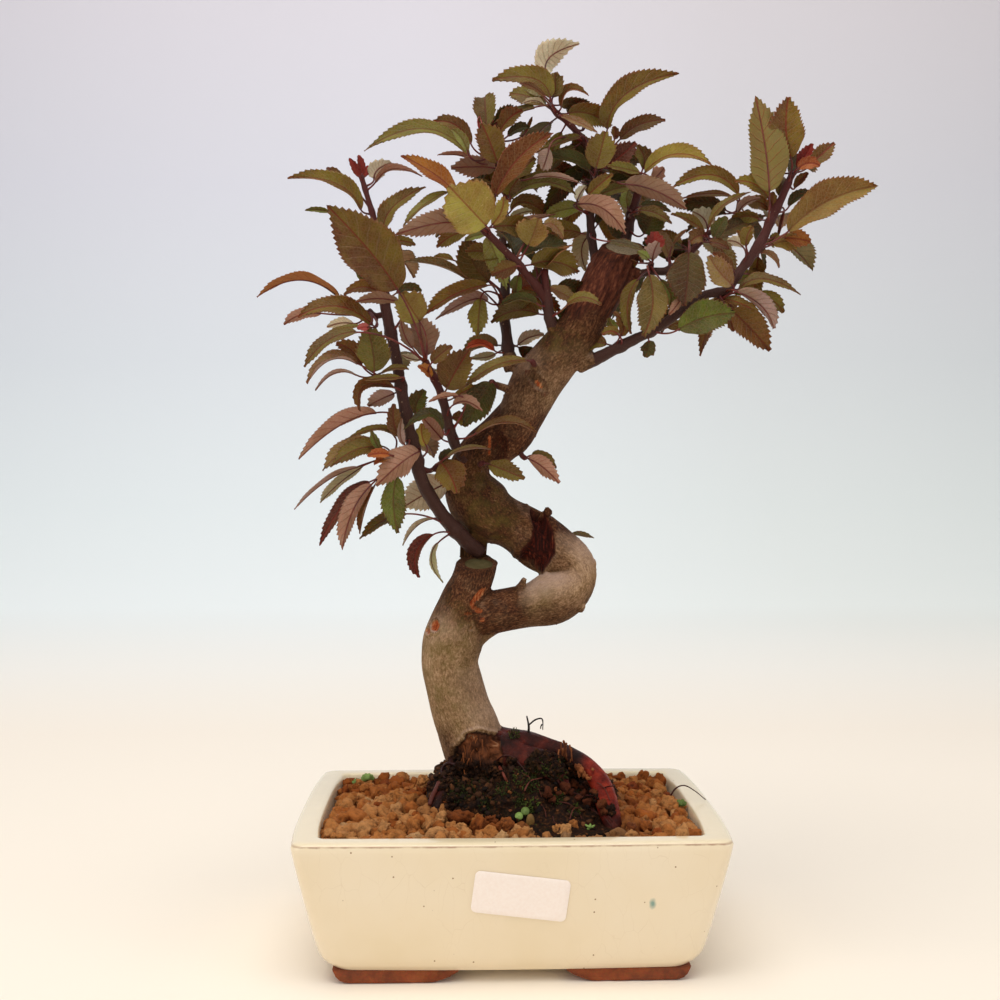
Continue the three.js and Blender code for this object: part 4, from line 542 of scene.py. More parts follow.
def lattice(cells, seed):
    """A seeded number from -1 to 1 for each whole-numbered cell."""
    x, y, z = (cells[..., i] for i in range(3))
    mixed = (x * 374761393 + y * 668265263 + z * 1274126177 + seed * 362437) & 0xFFFFFFFF
    mixed = ((mixed ^ (mixed >> 13)) * 1274126177) & 0xFFFFFFFF
    return ((mixed ^ (mixed >> 16)) & 0xFFFF) / 32767.5 - 1


def lumps(points, size, seed=0, layers=1):
    """Smooth seeded bumps from -1 to 1, of a size in millimetres, with finer layers added."""
    total = np.zeros(len(points))
    for layer in range(layers):
        place = np.asarray(points, float) * 2 ** layer / size
        cell = np.floor(place).astype(np.int64)
        share = place - cell
        share = share * share * (3 - 2 * share)
        value = np.zeros(len(points))
        for corner in range(8):
            offset = np.array([corner & 1, corner >> 1 & 1, corner >> 2])
            weight = np.prod(np.where(offset, share, 1 - share), axis=1)
            value += weight * lattice(cell + offset, seed + layer)
        total += value / 2 ** layer
    return total


def curve_through(rows, spacing):
    """A smooth run through rows of numbers, about a spacing apart in the first three."""
    rows = np.asarray(rows, float)
    padded = np.vstack([2 * rows[0] - rows[1], rows, 2 * rows[-1] - rows[-2]])
    out = []
    for i in range(len(rows) - 1):
        before, start, end, after = padded[i:i + 4]
        steps = max(1, int(np.linalg.norm(end[:3] - start[:3]) / spacing + 0.5))
        for share in np.arange(steps) / steps:
            out.append(0.5 * (2 * start + (end - before) * share
                              + (2 * before - 5 * start + 4 * end - after) * share ** 2
                              + (3 * start - before - 3 * end + after) * share ** 3))
    out.append(rows[-1])
    return np.array(out)


def headings_of(points):
    return unit(np.gradient(points, axis=0))


def lengths_along(points):
    """How far along the line through points each of them lies."""
    return np.concatenate([[0], np.cumsum(np.linalg.norm(np.diff(points, axis=0), axis=1))])


def placed(rows):
    """Rows of x, z, depth, radius as rows of point and radius at their true places."""
    out = []
    for x, z, y, radius in rows:
        out.append([*seen(x, z, y), radius * (y - EYE[1]) / -EYE[1]])
    return np.array(out)


def linked(name, data):
    """A new object with a mesh, lamp or camera, in the scene."""
    thing = bpy.data.objects.new(name, data)
    bpy.context.scene.collection.objects.link(thing)
    return thing


class Shape:
    """A mesh being built in millimetres, with a finish for each face and values for each point."""

    def __init__(self, **defaults):
        self.defaults = defaults
        self.points, self.faces, self.finishes = [], [], []
        self.values = {name: [] for name in defaults}
        self.count = 0

    def add(self, points, faces, finish=0, **values):
        points = np.asarray(points, float).reshape(-1, 3)
        self.points.append(points)
        for block in faces if isinstance(faces, list) else [faces]:
            block = np.asarray(block, int)
            self.faces.append(block + self.count)
            self.finishes.append(np.full(len(block), finish))
        for name, default in self.defaults.items():
            value = np.asarray(values.get(name, default), float)
            shape = (len(points),) + np.shape(default)
            self.values[name].append(np.broadcast_to(value, shape))
        self.count += len(points)

    def build(self, name, finishes, nodes, smooth=True):
        points = (np.vstack(self.points) + MIDDLE) / 1000
        mesh = bpy.data.meshes.new(name)
        mesh.vertices.add(len(points))
        mesh.vertices.foreach_set("co", points.ravel())
        corners = np.concatenate([block.ravel() for block in self.faces])
        sizes = np.concatenate([np.full(len(block), block.shape[1]) for block in self.faces])
        mesh.loops.add(len(corners))
        mesh.loops.foreach_set("vertex_index", corners)
        mesh.polygons.add(len(sizes))
        mesh.polygons.foreach_set("loop_start", np.concatenate([[0], np.cumsum(sizes)[:-1]]))
        mesh.polygons.foreach_set("material_index", np.concatenate(self.finishes))
        mesh.polygons.foreach_set("use_smooth", np.full(len(sizes), smooth))
        for finish in finishes:
            mesh.materials.append(finish)
        for value_name, blocks in self.values.items():
            value = np.concatenate(blocks)
            kind, key = ("FLOAT", "value") if value.ndim == 1 else ("FLOAT_VECTOR", "vector")
            mesh.attributes.new(value_name, kind, "POINT").data.foreach_set(key, value.ravel())
        mesh.update(calc_edges=True)
        mesh.validate()
        thing = linked(name, mesh)
        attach(thing, "root")
        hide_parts(*nodes)


def ring_faces(rings, sides, closed=True):
    """Quads between rings of equal point count."""
    ring, side = np.meshgrid(np.arange(rings - 1), np.arange(sides if closed else sides - 1),
                             indexing="ij")
    start = (ring * sides + side).ravel()
    beside = (ring * sides + (side + 1) % sides).ravel()
    return np.stack([start, beside, beside + sides, start + sides], axis=1)


def end_fans(count, sides, last):
    """Triangles from the last two points of all to the first ring and to the last ring."""
    turn = np.arange(sides)
    after = (turn + 1) % sides
    return np.vstack([np.stack([np.full(sides, count - 2), after, turn], axis=1),
                      np.stack([np.full(sides, count - 1), last + turn, last + after], axis=1)])


def tube(rows, sides, wobble=0.0, seed=0):
    """A round tube through rows of point and radius: its points, faces, and straight place.
    The straight place is a point's place on the tube when straightened along z."""
    centres, radii = rows[:, :3], rows[:, 3]
    headings = headings_of(centres)
    across = np.array([0.0, 1.0, 0.0])
    length = lengths_along(centres)
    points, straight = [], []
    angles = 2 * np.pi * np.arange(sides) / sides
    for centre, radius, heading, far in zip(centres, radii, headings, length):
        across = unit(across - across.dot(heading) * heading)
        other = np.cross(heading, across)
        circle = np.outer(np.cos(angles), across) + np.outer(np.sin(angles), other)
        points.append(centre + radius * circle)
        straight.append(np.stack([radius * np.cos(angles), radius * np.sin(angles),
                                  np.full(sides, far)], axis=1))
    points, straight = np.vstack(points), np.vstack(straight)
    if wobble:
        centre_of = np.repeat(centres, sides, axis=0)
        points += (points - centre_of) * (wobble * lumps(points, 3.0, seed, 2))[:, None]
    points = np.vstack([points, centres[0], centres[-1]])
    straight = np.vstack([straight, [0, 0, 0], [0, 0, length[-1]]])
    faces = [ring_faces(len(rows), sides),
             end_fans(len(points), sides, (len(rows) - 1) * sides)]
    return points, faces, straight


def random_turn(draw):
    """A drawn rotation that leaves nothing mirrored."""
    spin = np.linalg.qr(draw.normal(size=(3, 3)))[0]
    spin[:, 0] *= np.sign(np.linalg.det(spin))
    return spin


def colour(hex_code):
    """An sRGB hex code as linear red, green, blue and full cover."""
    parts = [int(hex_code[i:i + 2], 16) / 255 for i in (1, 3, 5)]
    return (*[p / 12.92 if p <= 0.04045 else ((p + 0.055) / 1.055) ** 2.4 for p in parts], 1.0)


def finish(name, roughness, ior=1.5, **sockets):
    """A new material: what adds its nodes, and what ends it."""
    material = bpy.data.materials.new(name)
    material.use_nodes = True
    tree = material.node_tree
    shader = tree.nodes["Principled BSDF"]

    def fill(node, socket, value):
        if isinstance(value, bpy.types.NodeSocket):
            tree.links.new(value, node.inputs[socket])
        else:
            node.inputs[socket].default_value = colour(value) if isinstance(value, str) else value

    def add(kind, links=None, out=0, stops=(), **settings):
        """A node with its settings, its ramp's stops, and links, values or hex codes by socket.
        It gives back one of its outputs, or all of them where out is None."""
        node = tree.nodes.new("ShaderNode" + kind)
        for setting, value in settings.items():
            setattr(node, setting, value)
        for _ in stops[2:]:
            node.color_ramp.elements.new(1.0)
        for at, (place, value) in enumerate(stops):
            element = node.color_ramp.elements[at]
            element.position = place
            element.color = colour(value) if isinstance(value, str) else (value,) * 3 + (1.0,)
        for socket, value in (links or {}).items():
            fill(node, socket, value)
        return node.outputs if out is None else node.outputs[out]

    def done(**inputs):
        """The finished material, with what its surface shader takes from the nodes."""
        for socket, value in inputs.items():
            fill(shader, socket.replace("_", " "), value)
        return material

    done(Roughness=roughness, IOR=ior, **sockets)
    return add, done


def per_mm(size):
    """Texture scale for a pattern of that size in millimetres, where lengths are in metres."""
    return 1000 / size


RIM_LINE = 58.1
# Blue-green stain on the front wall: x, z
STAIN = (55.5, 30.8)


def glaze_finish():
    # Celadon glaze over buff stoneware, dipped and fired: glassy cream with a fine crackle of
    # mostly upright lines, iron specks and pinholes, greener where it pools, bare along the rim.
    add, done = finish("cream_crackle_glaze", 0.2, Coat_Weight=0.25, Coat_Roughness=0.08)
    place = add("NewGeometry", out="Position")
    mapped = add("Mapping", {"Vector": place, "Scale": (1, 1, 0.42)})
    bent = add("TexNoise", {"Vector": place, "Scale": per_mm(9), "Detail": 2}, "Color")
    warped = add("Mix", {0: 0.0035, 4: mapped, 5: bent}, 1, data_type="VECTOR")
    from_edge = add("TexVoronoi", {"Vector": warped, "Scale": per_mm(6.5)}, "Distance",
                    feature="DISTANCE_TO_EDGE")
    crackle = add("MapRange", {0: from_edge, 1: 0.003, 2: 0.014, 3: 1, 4: 0})
    faint = add("TexNoise", {"Vector": place, "Scale": per_mm(30), "Detail": 3})
    shown = add("MapRange", {0: faint, 1: 0.42, 2: 0.7, 3: 0, 4: 0.16})
    lines = add("Math", {0: crackle, 1: shown}, operation="MULTIPLY")
    cloud = add("TexNoise", {"Vector": place, "Scale": per_mm(55), "Detail": 4})
    body = add("ValToRGB", {0: cloud}, stops=[(0.3, "#E8D6B4"), (0.5, "#EDDCBE"),
                                              (0.72, "#EFE0C6")])
    mark = add("Attribute", out="Vector", attribute_name="glaze_mark")
    pool, outer, _ = add("SeparateXYZ", {0: mark}, None)
    pooled = add("Mix", {0: pool, 6: body, 7: "#ECDCB8"}, 2, data_type="RGBA")
    specks = add("TexVoronoi", {"Vector": place, "Scale": per_mm(4)}, None)
    speck = add("MapRange", {0: specks["Distance"], 1: 0.06, 2: 0.11, 3: 0.9, 4: 0})
    number = add("SeparateColor", {0: specks["Color"]})
    chosen = add("Math", {0: number, 1: 0.78}, operation="GREATER_THAN")
    dots = add("Math", {0: speck, 1: chosen}, operation="MULTIPLY")
    lined = add("Mix", {0: lines, 6: pooled, 7: "#B99A6C"}, 2, data_type="RGBA")
    dotted = add("Mix", {0: dots, 6: lined, 7: "#8A6238"}, 2, data_type="RGBA")
    _, depth, height = add("SeparateXYZ", {0: place}, None)
    thin = add("TexNoise", {"Vector": place, "Scale": per_mm(5), "Detail": 4})
    swayed = add("Math", {0: thin, 1: 0.0007, 2: height}, operation="MULTIPLY_ADD")
    over = add("Math", {0: swayed, 1: RIM_LINE / 1000}, operation="SUBTRACT")
    from_rim = add("Math", {0: over}, operation="ABSOLUTE")
    broken = add("MapRange", {0: thin, 1: 0.38, 2: 0.6, 3: 0.45, 4: 0.9})
    edge = add("MapRange", {0: from_rim, 1: 0.0001, 2: 0.00055, 3: 1, 4: 0})
    wear_and_painted_shade = add("Math", {0: edge, 1: broken}, operation="MULTIPLY")
    at_rim = add("Math", {0: wear_and_painted_shade, 1: outer}, operation="MULTIPLY")
    bare = add("Mix", {0: at_rim, 6: dotted, 7: "#A5826C"}, 2, data_type="RGBA")
    squash = (1, 0, 0.6)
    middle = tuple((np.array([STAIN[0], 0, STAIN[1]]) + MIDDLE) * squash / 1000)
    flat = add("Mapping", {"Vector": place, "Scale": squash})
    from_stain = add("VectorMath", {0: flat, 1: middle}, "Value", operation="DISTANCE")
    blotted = add("Math", {0: thin, 1: 0.0026, 2: from_stain}, operation="MULTIPLY_ADD")
    blot = add("MapRange", {0: blotted, 1: 0.0014, 2: 0.0027, 3: 0.8, 4: 0})
    front = add("Math", {0: depth, 1: 0}, operation="LESS_THAN")
    stain = add("Math", {0: blot, 1: front}, operation="MULTIPLY")
    stained = add("Mix", {0: stain, 6: bare, 7: "#4E8C86"}, 2, data_type="RGBA")
    wave = add("TexNoise", {"Vector": place, "Scale": per_mm(14), "Detail": 1})
    dips = add("Math", {0: wave, 1: dots}, operation="SUBTRACT")
    bump = add("Bump", {"Height": dips, "Strength": 0.25, "Distance": 0.0006})
    return done(Base_Color=stained, Normal=bump)


def bare_clay_finish():
    # Unglazed stoneware, wiped and fired: matt orange-brown with fine grog and darker flashing.
    add, done = finish("bare_fired_stoneware", 0.82)
    place = add("NewGeometry", out="Position")
    cloud = add("TexNoise", {"Vector": place, "Scale": per_mm(12), "Detail": 5,
                             "Roughness": 0.65})
    body = add("ValToRGB", {0: cloud}, stops=[(0.3, "#5E2A12"), (0.52, "#8B431D"),
                                              (0.75, "#A85C32")])
    grog, grog_colour = add("TexNoise", {"Vector": place, "Scale": per_mm(0.9), "Detail": 3},
                            None)
    spotted = add("Mix", {0: 0.35, 6: body, 7: grog_colour}, 2, data_type="RGBA",
                  blend_type="OVERLAY")
    bump = add("Bump", {"Height": grog, "Strength": 0.5, "Distance": 0.0003})
    return done(Base_Color=spotted, Normal=bump)


def label_finish():
    # Coated paper label: smooth off-white with a faint satin film and barely seen fibres.
    add, done = finish("coated_label_paper", 0.38, Coat_Weight=0.2, Coat_Roughness=0.25)
    place = add("NewGeometry", out="Position")
    fibre = add("TexNoise", {"Vector": place, "Scale": per_mm(1.2), "Detail": 4})
    body = add("ValToRGB", {0: fibre}, stops=[(0.35, "#F9ECE4"), (0.65, "#FCF1EA")])
    bump = add("Bump", {"Height": fibre, "Strength": 0.1, "Distance": 0.0001})
    return done(Base_Color=body, Normal=bump)


def net_finish():
    # Moulded polyethylene drainage netting: black, dull, with a slight grain.
    add, done = finish("moulded_polythene_net", 0.6)
    place = add("NewGeometry", out="Position")
    grain = add("TexNoise", {"Vector": place, "Scale": per_mm(0.6), "Detail": 2})
    return done(Base_Color=add("ValToRGB", {0: grain}, stops=[(0.3, "#1B1C1C"),
                                                              (0.7, "#2A2B2A")]))


def granule_finish():
    # Fired clay granules: dry, porous, tan to rusty orange, each lump its own tone, with dark
    # pores about 0.5 mm wide; painted highlights on the high spots and painted shade in the
    # hollows.
    add, done = finish("fired_clay_granules", 0.95, Specular_IOR_Level=0.25)
    place = add("NewGeometry", out="Position")
    tone, moisture, _ = add("SeparateXYZ", {
        0: add("Attribute", out="Vector", attribute_name="lump_tone")}, None)
    body = add("ValToRGB", {0: tone}, stops=[
        (0.0, "#8F4115"), (0.3, "#B66427"), (0.6, "#CD8444"), (0.85, "#D99A5E"), (1.0, "#DCA871")])
    patch = add("TexNoise", {"Vector": place, "Scale": per_mm(2.6), "Detail": 5,
                             "Roughness": 0.7})
    shade = add("ValToRGB", {0: patch}, stops=[(0.32, 0.2), (0.46, 0.85), (0.62, 1.0)])
    rough = add("Mix", {0: 0.8, 6: body, 7: shade}, 2, data_type="RGBA", blend_type="MULTIPLY")
    # painted highlight and shade: paler where the surface bulges, darker in its hollows and creases
    wear_and_painted_shade = add("ValToRGB", {0: add("NewGeometry", out="Pointiness")}, stops=[
        (0.4, 0.22), (0.48, 0.6), (0.54, 1.0)])
    painted_crevice_shaded = add("Mix", {0: 0.9, 6: rough, 7: wear_and_painted_shade}, 2, data_type="RGBA",
                   blend_type="MULTIPLY")
    moist = add("Mix", {0: moisture, 6: painted_crevice_shaded, 7: "#4C2212"}, 2, data_type="RGBA")
    pores = add("TexNoise", {"Vector": place, "Scale": per_mm(1.1), "Detail": 5,
                             "Roughness": 0.75})
    bump = add("Bump", {"Height": pores, "Strength": 1.0, "Distance": 0.0016})
    return done(Base_Color=moist, Normal=bump)


def humus_finish():
    # Damp humus and root felt: nearly black brown crumb with rusty fibres and green moss film.
    add, done = finish("damp_humus_with_moss", 0.6, Specular_IOR_Level=0.12)
    place = add("NewGeometry", out="Position")
    crumb = add("TexNoise", {"Vector": place, "Scale": per_mm(1.6), "Detail": 6,
                             "Roughness": 0.75})
    body = add("ValToRGB", {0: crumb}, stops=[
        (0.35, "#0C0502"), (0.5, "#23120A"), (0.6, "#44260F"), (0.7, "#7E5230")])
    film = add("TexNoise", {"Vector": place, "Scale": per_mm(11), "Detail": 4})
    greened = add("MapRange", {0: film, 1: 0.55, 2: 0.75, 3: 0, 4: 0.5})
    moss = add("Mix", {0: greened, 6: body, 7: "#262405"}, 2, data_type="RGBA")
    bump = add("Bump", {"Height": crumb, "Strength": 1.0, "Distance": 0.0012})
    return done(Base_Color=moss, Normal=bump)


# Small loose growth and debris: dark and light colour, roughness, size and depth of the grain
TONED = {
    # Crumbs of leaf mould and soil: dull, dark, dry on the high spots
    "humus_crumbs": ("#120703", "#7A4A28", 0.9, 0.7, 0.4),
    # Torn inner bark: dry, fibrous, orange-brown
    "torn_orange_bark": ("#4A1E0A", "#9A5A30", 0.85, 0.9, 0.4),
    # Living feeder roots: moist, dark red, slightly glossy
    "fine_roots": ("#2E0B0A", "#7A3A2C", 0.5, 1.2, 0.2),
    # Living moss: matt, dark green, lighter at the growing tips
    "leafy_moss": ("#141205", "#5E6C2A", 0.85, 0.8, 0.1),
    # Seed leaves: soft fresh green with a weak waxy sheen
    "seed_leaf": ("#45541E", "#84A052", 0.5, 1.5, 0.05),
    # Dead twig: dry, nearly black bark
    "dead_twig_bark": ("#0E0705", "#3C281C", 0.8, 0.9, 0.2),
    # Empty seed husk: dry papery straw colour
    "dry_seed_husk": ("#5A3A18", "#96763E", 0.6, 1.2, 0.2),
}


def toned_finish(name):
    # Small loose growth and debris: a tone for each bit between two colours, with fine grain.
    dark, light, roughness, grain_size, depth = TONED[name]
    add, done = finish(name, roughness, Specular_IOR_Level=0.25)
    place = add("NewGeometry", out="Position")
    tone = add("SeparateXYZ", {0: add("Attribute", out="Vector", attribute_name="lump_tone")})
    body = add("ValToRGB", {0: tone}, stops=[(0.0, dark), (1.0, light)])
    grain = add("TexNoise", {"Vector": place, "Scale": per_mm(grain_size), "Detail": 4,
                             "Roughness": 0.7})
    shade = add("ValToRGB", {0: grain}, stops=[(0.35, 0.45), (0.6, 1.0)])
    toned = add("Mix", {0: 0.6, 6: body, 7: shade}, 2, data_type="RGBA", blend_type="MULTIPLY")
    bump = add("Bump", {"Height": grain, "Strength": 0.7, "Distance": depth / 1000})
    return done(Base_Color=toned, Normal=bump)


def bark_finish():
    # Smooth grey-brown apple bark: a grey skin over brown, ochre-green algae in patches,
    # fine upright cracks, pale warty pores, torn red bark, red heartwood in wounds, dark red roots;
    # a painted lilac-grey sheen on what faces up, and painted light in how pale the skin is.
    add, done = finish("smooth_apple_bark", 0.75, Specular_IOR_Level=0.14)
    place, normal = add("NewGeometry", out=None)[:2]
    straight, marks, zones, shades = [add("Attribute", out="Vector", attribute_name=name) for name
                                      in ("bark_place", "bark_marks", "bark_zones", "bark_shades")]
    # how pale the bark is: its own tone from brown to grey together with painted light, paler on
    # the trunk's left side and on the lit top of the loop
    paleness_and_painted_light = add("Attribute", out="Fac", attribute_name="bark_tone")
    wound, shred, root = add("SeparateXYZ", {0: marks}, None)
    moss, stump, callus = add("SeparateXYZ", {0: zones}, None)
    rot, rot_tone_and_lip_shade, redness = add("SeparateXYZ", {0: shades}, None)
    # streaks drawn out along the wood
    drawn = add("Mapping", {"Vector": straight, "Scale": (1, 1, 0.55)})
    long_streaks = add("TexNoise", {"Vector": drawn, "Scale": per_mm(0.75), "Detail": 5,
                                    "Roughness": 0.66})
    grain = add("TexNoise", {"Vector": place, "Scale": per_mm(0.55), "Detail": 3,
                             "Roughness": 0.6})
    patchy = add("TexNoise", {"Vector": drawn, "Scale": per_mm(6), "Detail": 4, "Roughness": 0.6})
    fine = add("Math", {0: grain, 1: 0.35, 2: long_streaks}, operation="MULTIPLY_ADD")
    uneven = add("Math", {0: patchy, 1: 0.45, 2: fine}, operation="MULTIPLY_ADD")
    streaks = add("MapRange", {0: uneven, 1: 0.45, 2: 1.35})
    cloud = add("TexNoise", {"Vector": place, "Scale": per_mm(15), "Detail": 5, "Roughness": 0.6})
    # the grey skin over the brown, its share partly painted light, algae, a painted lilac sheen on
    # what faces up, and warts
    brown = add("ValToRGB", {0: streaks}, stops=[
        (0.2, "#1C0D06"), (0.45, "#3F2212"), (0.58, "#5A351F"), (0.8, "#845C40")])
    grey = add("ValToRGB", {0: streaks}, stops=[
        (0.2, "#583C24"), (0.48, "#907150"), (0.78, "#BF9E7C")])
    swayed = add("Math", {0: paleness_and_painted_light, 1: cloud}, operation="ADD")
    skinned = add("MapRange", {0: swayed, 1: 0.6, 2: 1.4})
    bark = add("Mix", {0: skinned, 6: brown, 7: grey}, 2, data_type="RGBA")
    green_cloud = add("TexNoise", {"Vector": place, "Scale": per_mm(6), "Detail": 6,
                                   "Roughness": 0.7})
    green_share = add("MapRange", {0: green_cloud, 1: 0.4, 2: 0.62, 3: 0, 4: 0.6})
    green_zone = add("Math", {0: green_share, 1: moss}, operation="MULTIPLY")
    algae = add("Mix", {0: green_zone, 6: bark, 7: "#5F5122"}, 2, data_type="RGBA")
    # painted highlight: a lilac-grey sheen mixed in where the surface faces up, as if lit from
    # above
    up = add("SeparateXYZ", {0: normal}, 2)
    painted_top_sheen = add("MapRange", {0: up, 1: 0, 2: 0.9, 3: 0, 4: 0.75})
    painted_top_sheen_share = add("Math", {0: painted_top_sheen, 1: skinned}, operation="MULTIPLY")
    skin = add("Mix", {0: painted_top_sheen_share, 6: algae, 7: "#B4988A"}, 2, data_type="RGBA")
    cells = add("TexVoronoi", {"Vector": place, "Scale": per_mm(3.0)}, None)
    number = add("SeparateColor", {0: cells["Color"]})
    picked = add("Math", {0: number, 1: 0.66}, operation="GREATER_THAN")
    from_wart = add("Math", {0: grain, 1: 0.22, 2: cells["Distance"]}, operation="MULTIPLY_ADD")
    wart = add("MapRange", {0: from_wart, 1: 0.16, 2: 0.23, 3: 0.75, 4: 0})
    warts = add("Math", {0: wart, 1: picked}, operation="MULTIPLY")
    layer = add("Mix", {0: warts, 6: skin, 7: "#92714E"}, 2, data_type="RGBA")
    # what shows where the bark is torn, cut, rotten, wet or gone
    fibres, frayed, upright, decay = [
        add("TexNoise", {"Vector": add("Mapping", {"Vector": along, "Scale": (1, 1, drawn_out)}),
                         "Scale": per_mm(size), "Detail": detail, "Roughness": roughness})
        for along, drawn_out, size, detail, roughness in (
            (straight, 0.09, 0.9, 5, 0.7), (straight, 0.25, 1.4, 6, 0.75),
            (place, 0.1, 0.9, 4, 0.65), (straight, 0.4, 1.5, 6, 0.75))]
    red_torn = add("ValToRGB", {0: frayed}, stops=[
        (0.3, "#34130B"), (0.48, "#6C3626"), (0.62, "#8E563F"), (0.76, "#B08868")])
    dark_torn = add("ValToRGB", {0: frayed}, stops=[
        (0.3, "#140704"), (0.45, "#36170C"), (0.56, "#522716"), (0.66, "#744028"),
        (0.78, "#A5805C")])
    torn = add("Mix", {0: paleness_and_painted_light, 6: dark_torn, 7: red_torn}, 2, data_type="RGBA")
    heart = add("ValToRGB", {0: upright}, stops=[
        (0.34, "#1E0603"), (0.52, "#360E06"), (0.62, "#561B0E"), (0.74, "#94563A")])
    decayed = add("Math", {0: decay, 1: 1.1, 2: rot_tone_and_lip_shade}, operation="MULTIPLY_ADD")
    rotten = add("ValToRGB", {0: add("MapRange", {0: decayed, 1: 0.3, 2: 1.9})}, stops=[
        (0.15, "#1E0E08"), (0.36, "#54301E"), (0.56, "#8A5030"), (0.76, "#C09A76")])
    damp = add("TexNoise", {"Vector": place, "Scale": per_mm(5), "Detail": 6, "Roughness": 0.6})
    dark_root = add("ValToRGB", {0: damp}, stops=[
        (0.3, "#0A0402"), (0.5, "#1F0B07"), (0.65, "#36150E"), (0.85, "#5A3026")])
    red_root = add("ValToRGB", {0: damp}, stops=[
        (0.3, "#420D06"), (0.48, "#701A0C"), (0.62, "#8E2C18"), (0.78, "#A45240")])
    wet = add("Mix", {0: redness, 6: dark_root, 7: red_root}, 2, data_type="RGBA")
    green_cut = add("ValToRGB", {0: cloud}, stops=[
        (0.35, "#3D3A22"), (0.55, "#5E5536"), (0.7, "#776A4A")])
    dry_cut = add("ValToRGB", {0: grain}, stops=[
        (0.35, "#6E5F47"), (0.5, "#8C7C63"), (0.65, "#A39378")])
    cut = add("Mix", {0: paleness_and_painted_light, 6: green_cut, 7: dry_cut}, 2, data_type="RGBA")
    live = add("ValToRGB", {0: fibres}, stops=[
        (0.35, "#6A2810"), (0.5, "#A24E26"), (0.66, "#D49664")])
    for share, top, evenness in ((shred, torn, 0.5), (rot, rotten, 0.8), (root, wet, 0.5),
                                 (stump, cut, 2.0), (callus, live, 0.5), (wound, heart, 2.0)):
        ragged = add("Math", {0: share, 1: evenness, 2: -0.5 * evenness},
                     operation="MULTIPLY_ADD")
        edge = add("Math", {0: ragged, 1: fibres}, operation="ADD")
        sharp = add("MapRange", {0: edge, 1: 0.44, 2: 0.6})
        full = add("Math", {0: sharp, 1: share}, operation="MULTIPLY", use_clamp=True)
        layer = add("Mix", {0: full, 6: layer, 7: top}, 2, data_type="RGBA")
    gloss = add("MapRange", {0: root, 3: 0.75, 4: 0.42})
    relief = streaks
    for pattern, share in ((warts, 0.5), (rot, decay), (fibres, shred), (fibres, wound)):
        relief = add("Math", {0: pattern, 1: share, 2: relief}, operation="MULTIPLY_ADD")
    bump = add("Bump", {"Height": relief, "Strength": 0.8, "Distance": 0.0006})
    return done(Base_Color=layer, Roughness=gloss, Normal=bump)


def twig_finish():
    # Young apple wood: thin glossy purple-brown skin with grey bloom, pale pores and bud scars.
    add, done = finish("young_apple_wood", 0.5, Specular_IOR_Level=0.3)
    place = add("NewGeometry", out="Position")
    straight = add("Attribute", out="Vector", attribute_name="bark_place")
    tone = add("Attribute", out="Fac", attribute_name="leaf_tone")
    drawn = add("Mapping", {"Vector": straight, "Scale": (1, 1, 0.2)})
    streaks = add("TexNoise", {"Vector": drawn, "Scale": per_mm(1.2), "Detail": 4})
    old = add("ValToRGB", {0: streaks}, stops=[
        (0.32, "#1E0C08"), (0.5, "#3B1B13"), (0.66, "#5C382B"), (0.8, "#806051")])
    young = add("ValToRGB", {0: streaks}, stops=[
        (0.32, "#330C09"), (0.55, "#561813"), (0.75, "#7A3329")])
    body = add("Mix", {0: tone, 6: old, 7: young}, 2, data_type="RGBA")
    cells = add("TexVoronoi", {"Vector": place, "Scale": per_mm(2.6)}, None)
    number = add("SeparateColor", {0: cells["Color"]})
    picked = add("Math", {0: number, 1: 0.7}, operation="GREATER_THAN")
    pore = add("MapRange", {0: cells["Distance"], 1: 0.06, 2: 0.14, 3: 1, 4: 0})
    pores = add("Math", {0: pore, 1: picked}, operation="MULTIPLY")
    pored = add("Mix", {0: pores, 6: body, 7: "#9A7C62"}, 2, data_type="RGBA")
    relief = add("Math", {0: streaks, 1: pores}, operation="ADD")
    bump = add("Bump", {"Height": relief, "Strength": 0.6, "Distance": 0.0004})
    return done(Base_Color=pored, Normal=bump)


def petiole_finish():
    # Leaf stalk: smooth, waxy, wine red shading to olive.
    add, done = finish("waxy_leaf_stalk", 0.42, ior=1.45)
    place = add("NewGeometry", out="Position")
    cloud = add("TexNoise", {"Vector": place, "Scale": per_mm(6), "Detail": 3})
    return done(Base_Color=add("ValToRGB", {0: cloud}, stops=[
        (0.35, "#42110E"), (0.55, "#681F1A"), (0.72, "#704626")]))


# Side veins of a leaf, in pairs
VEIN_PAIRS = 9
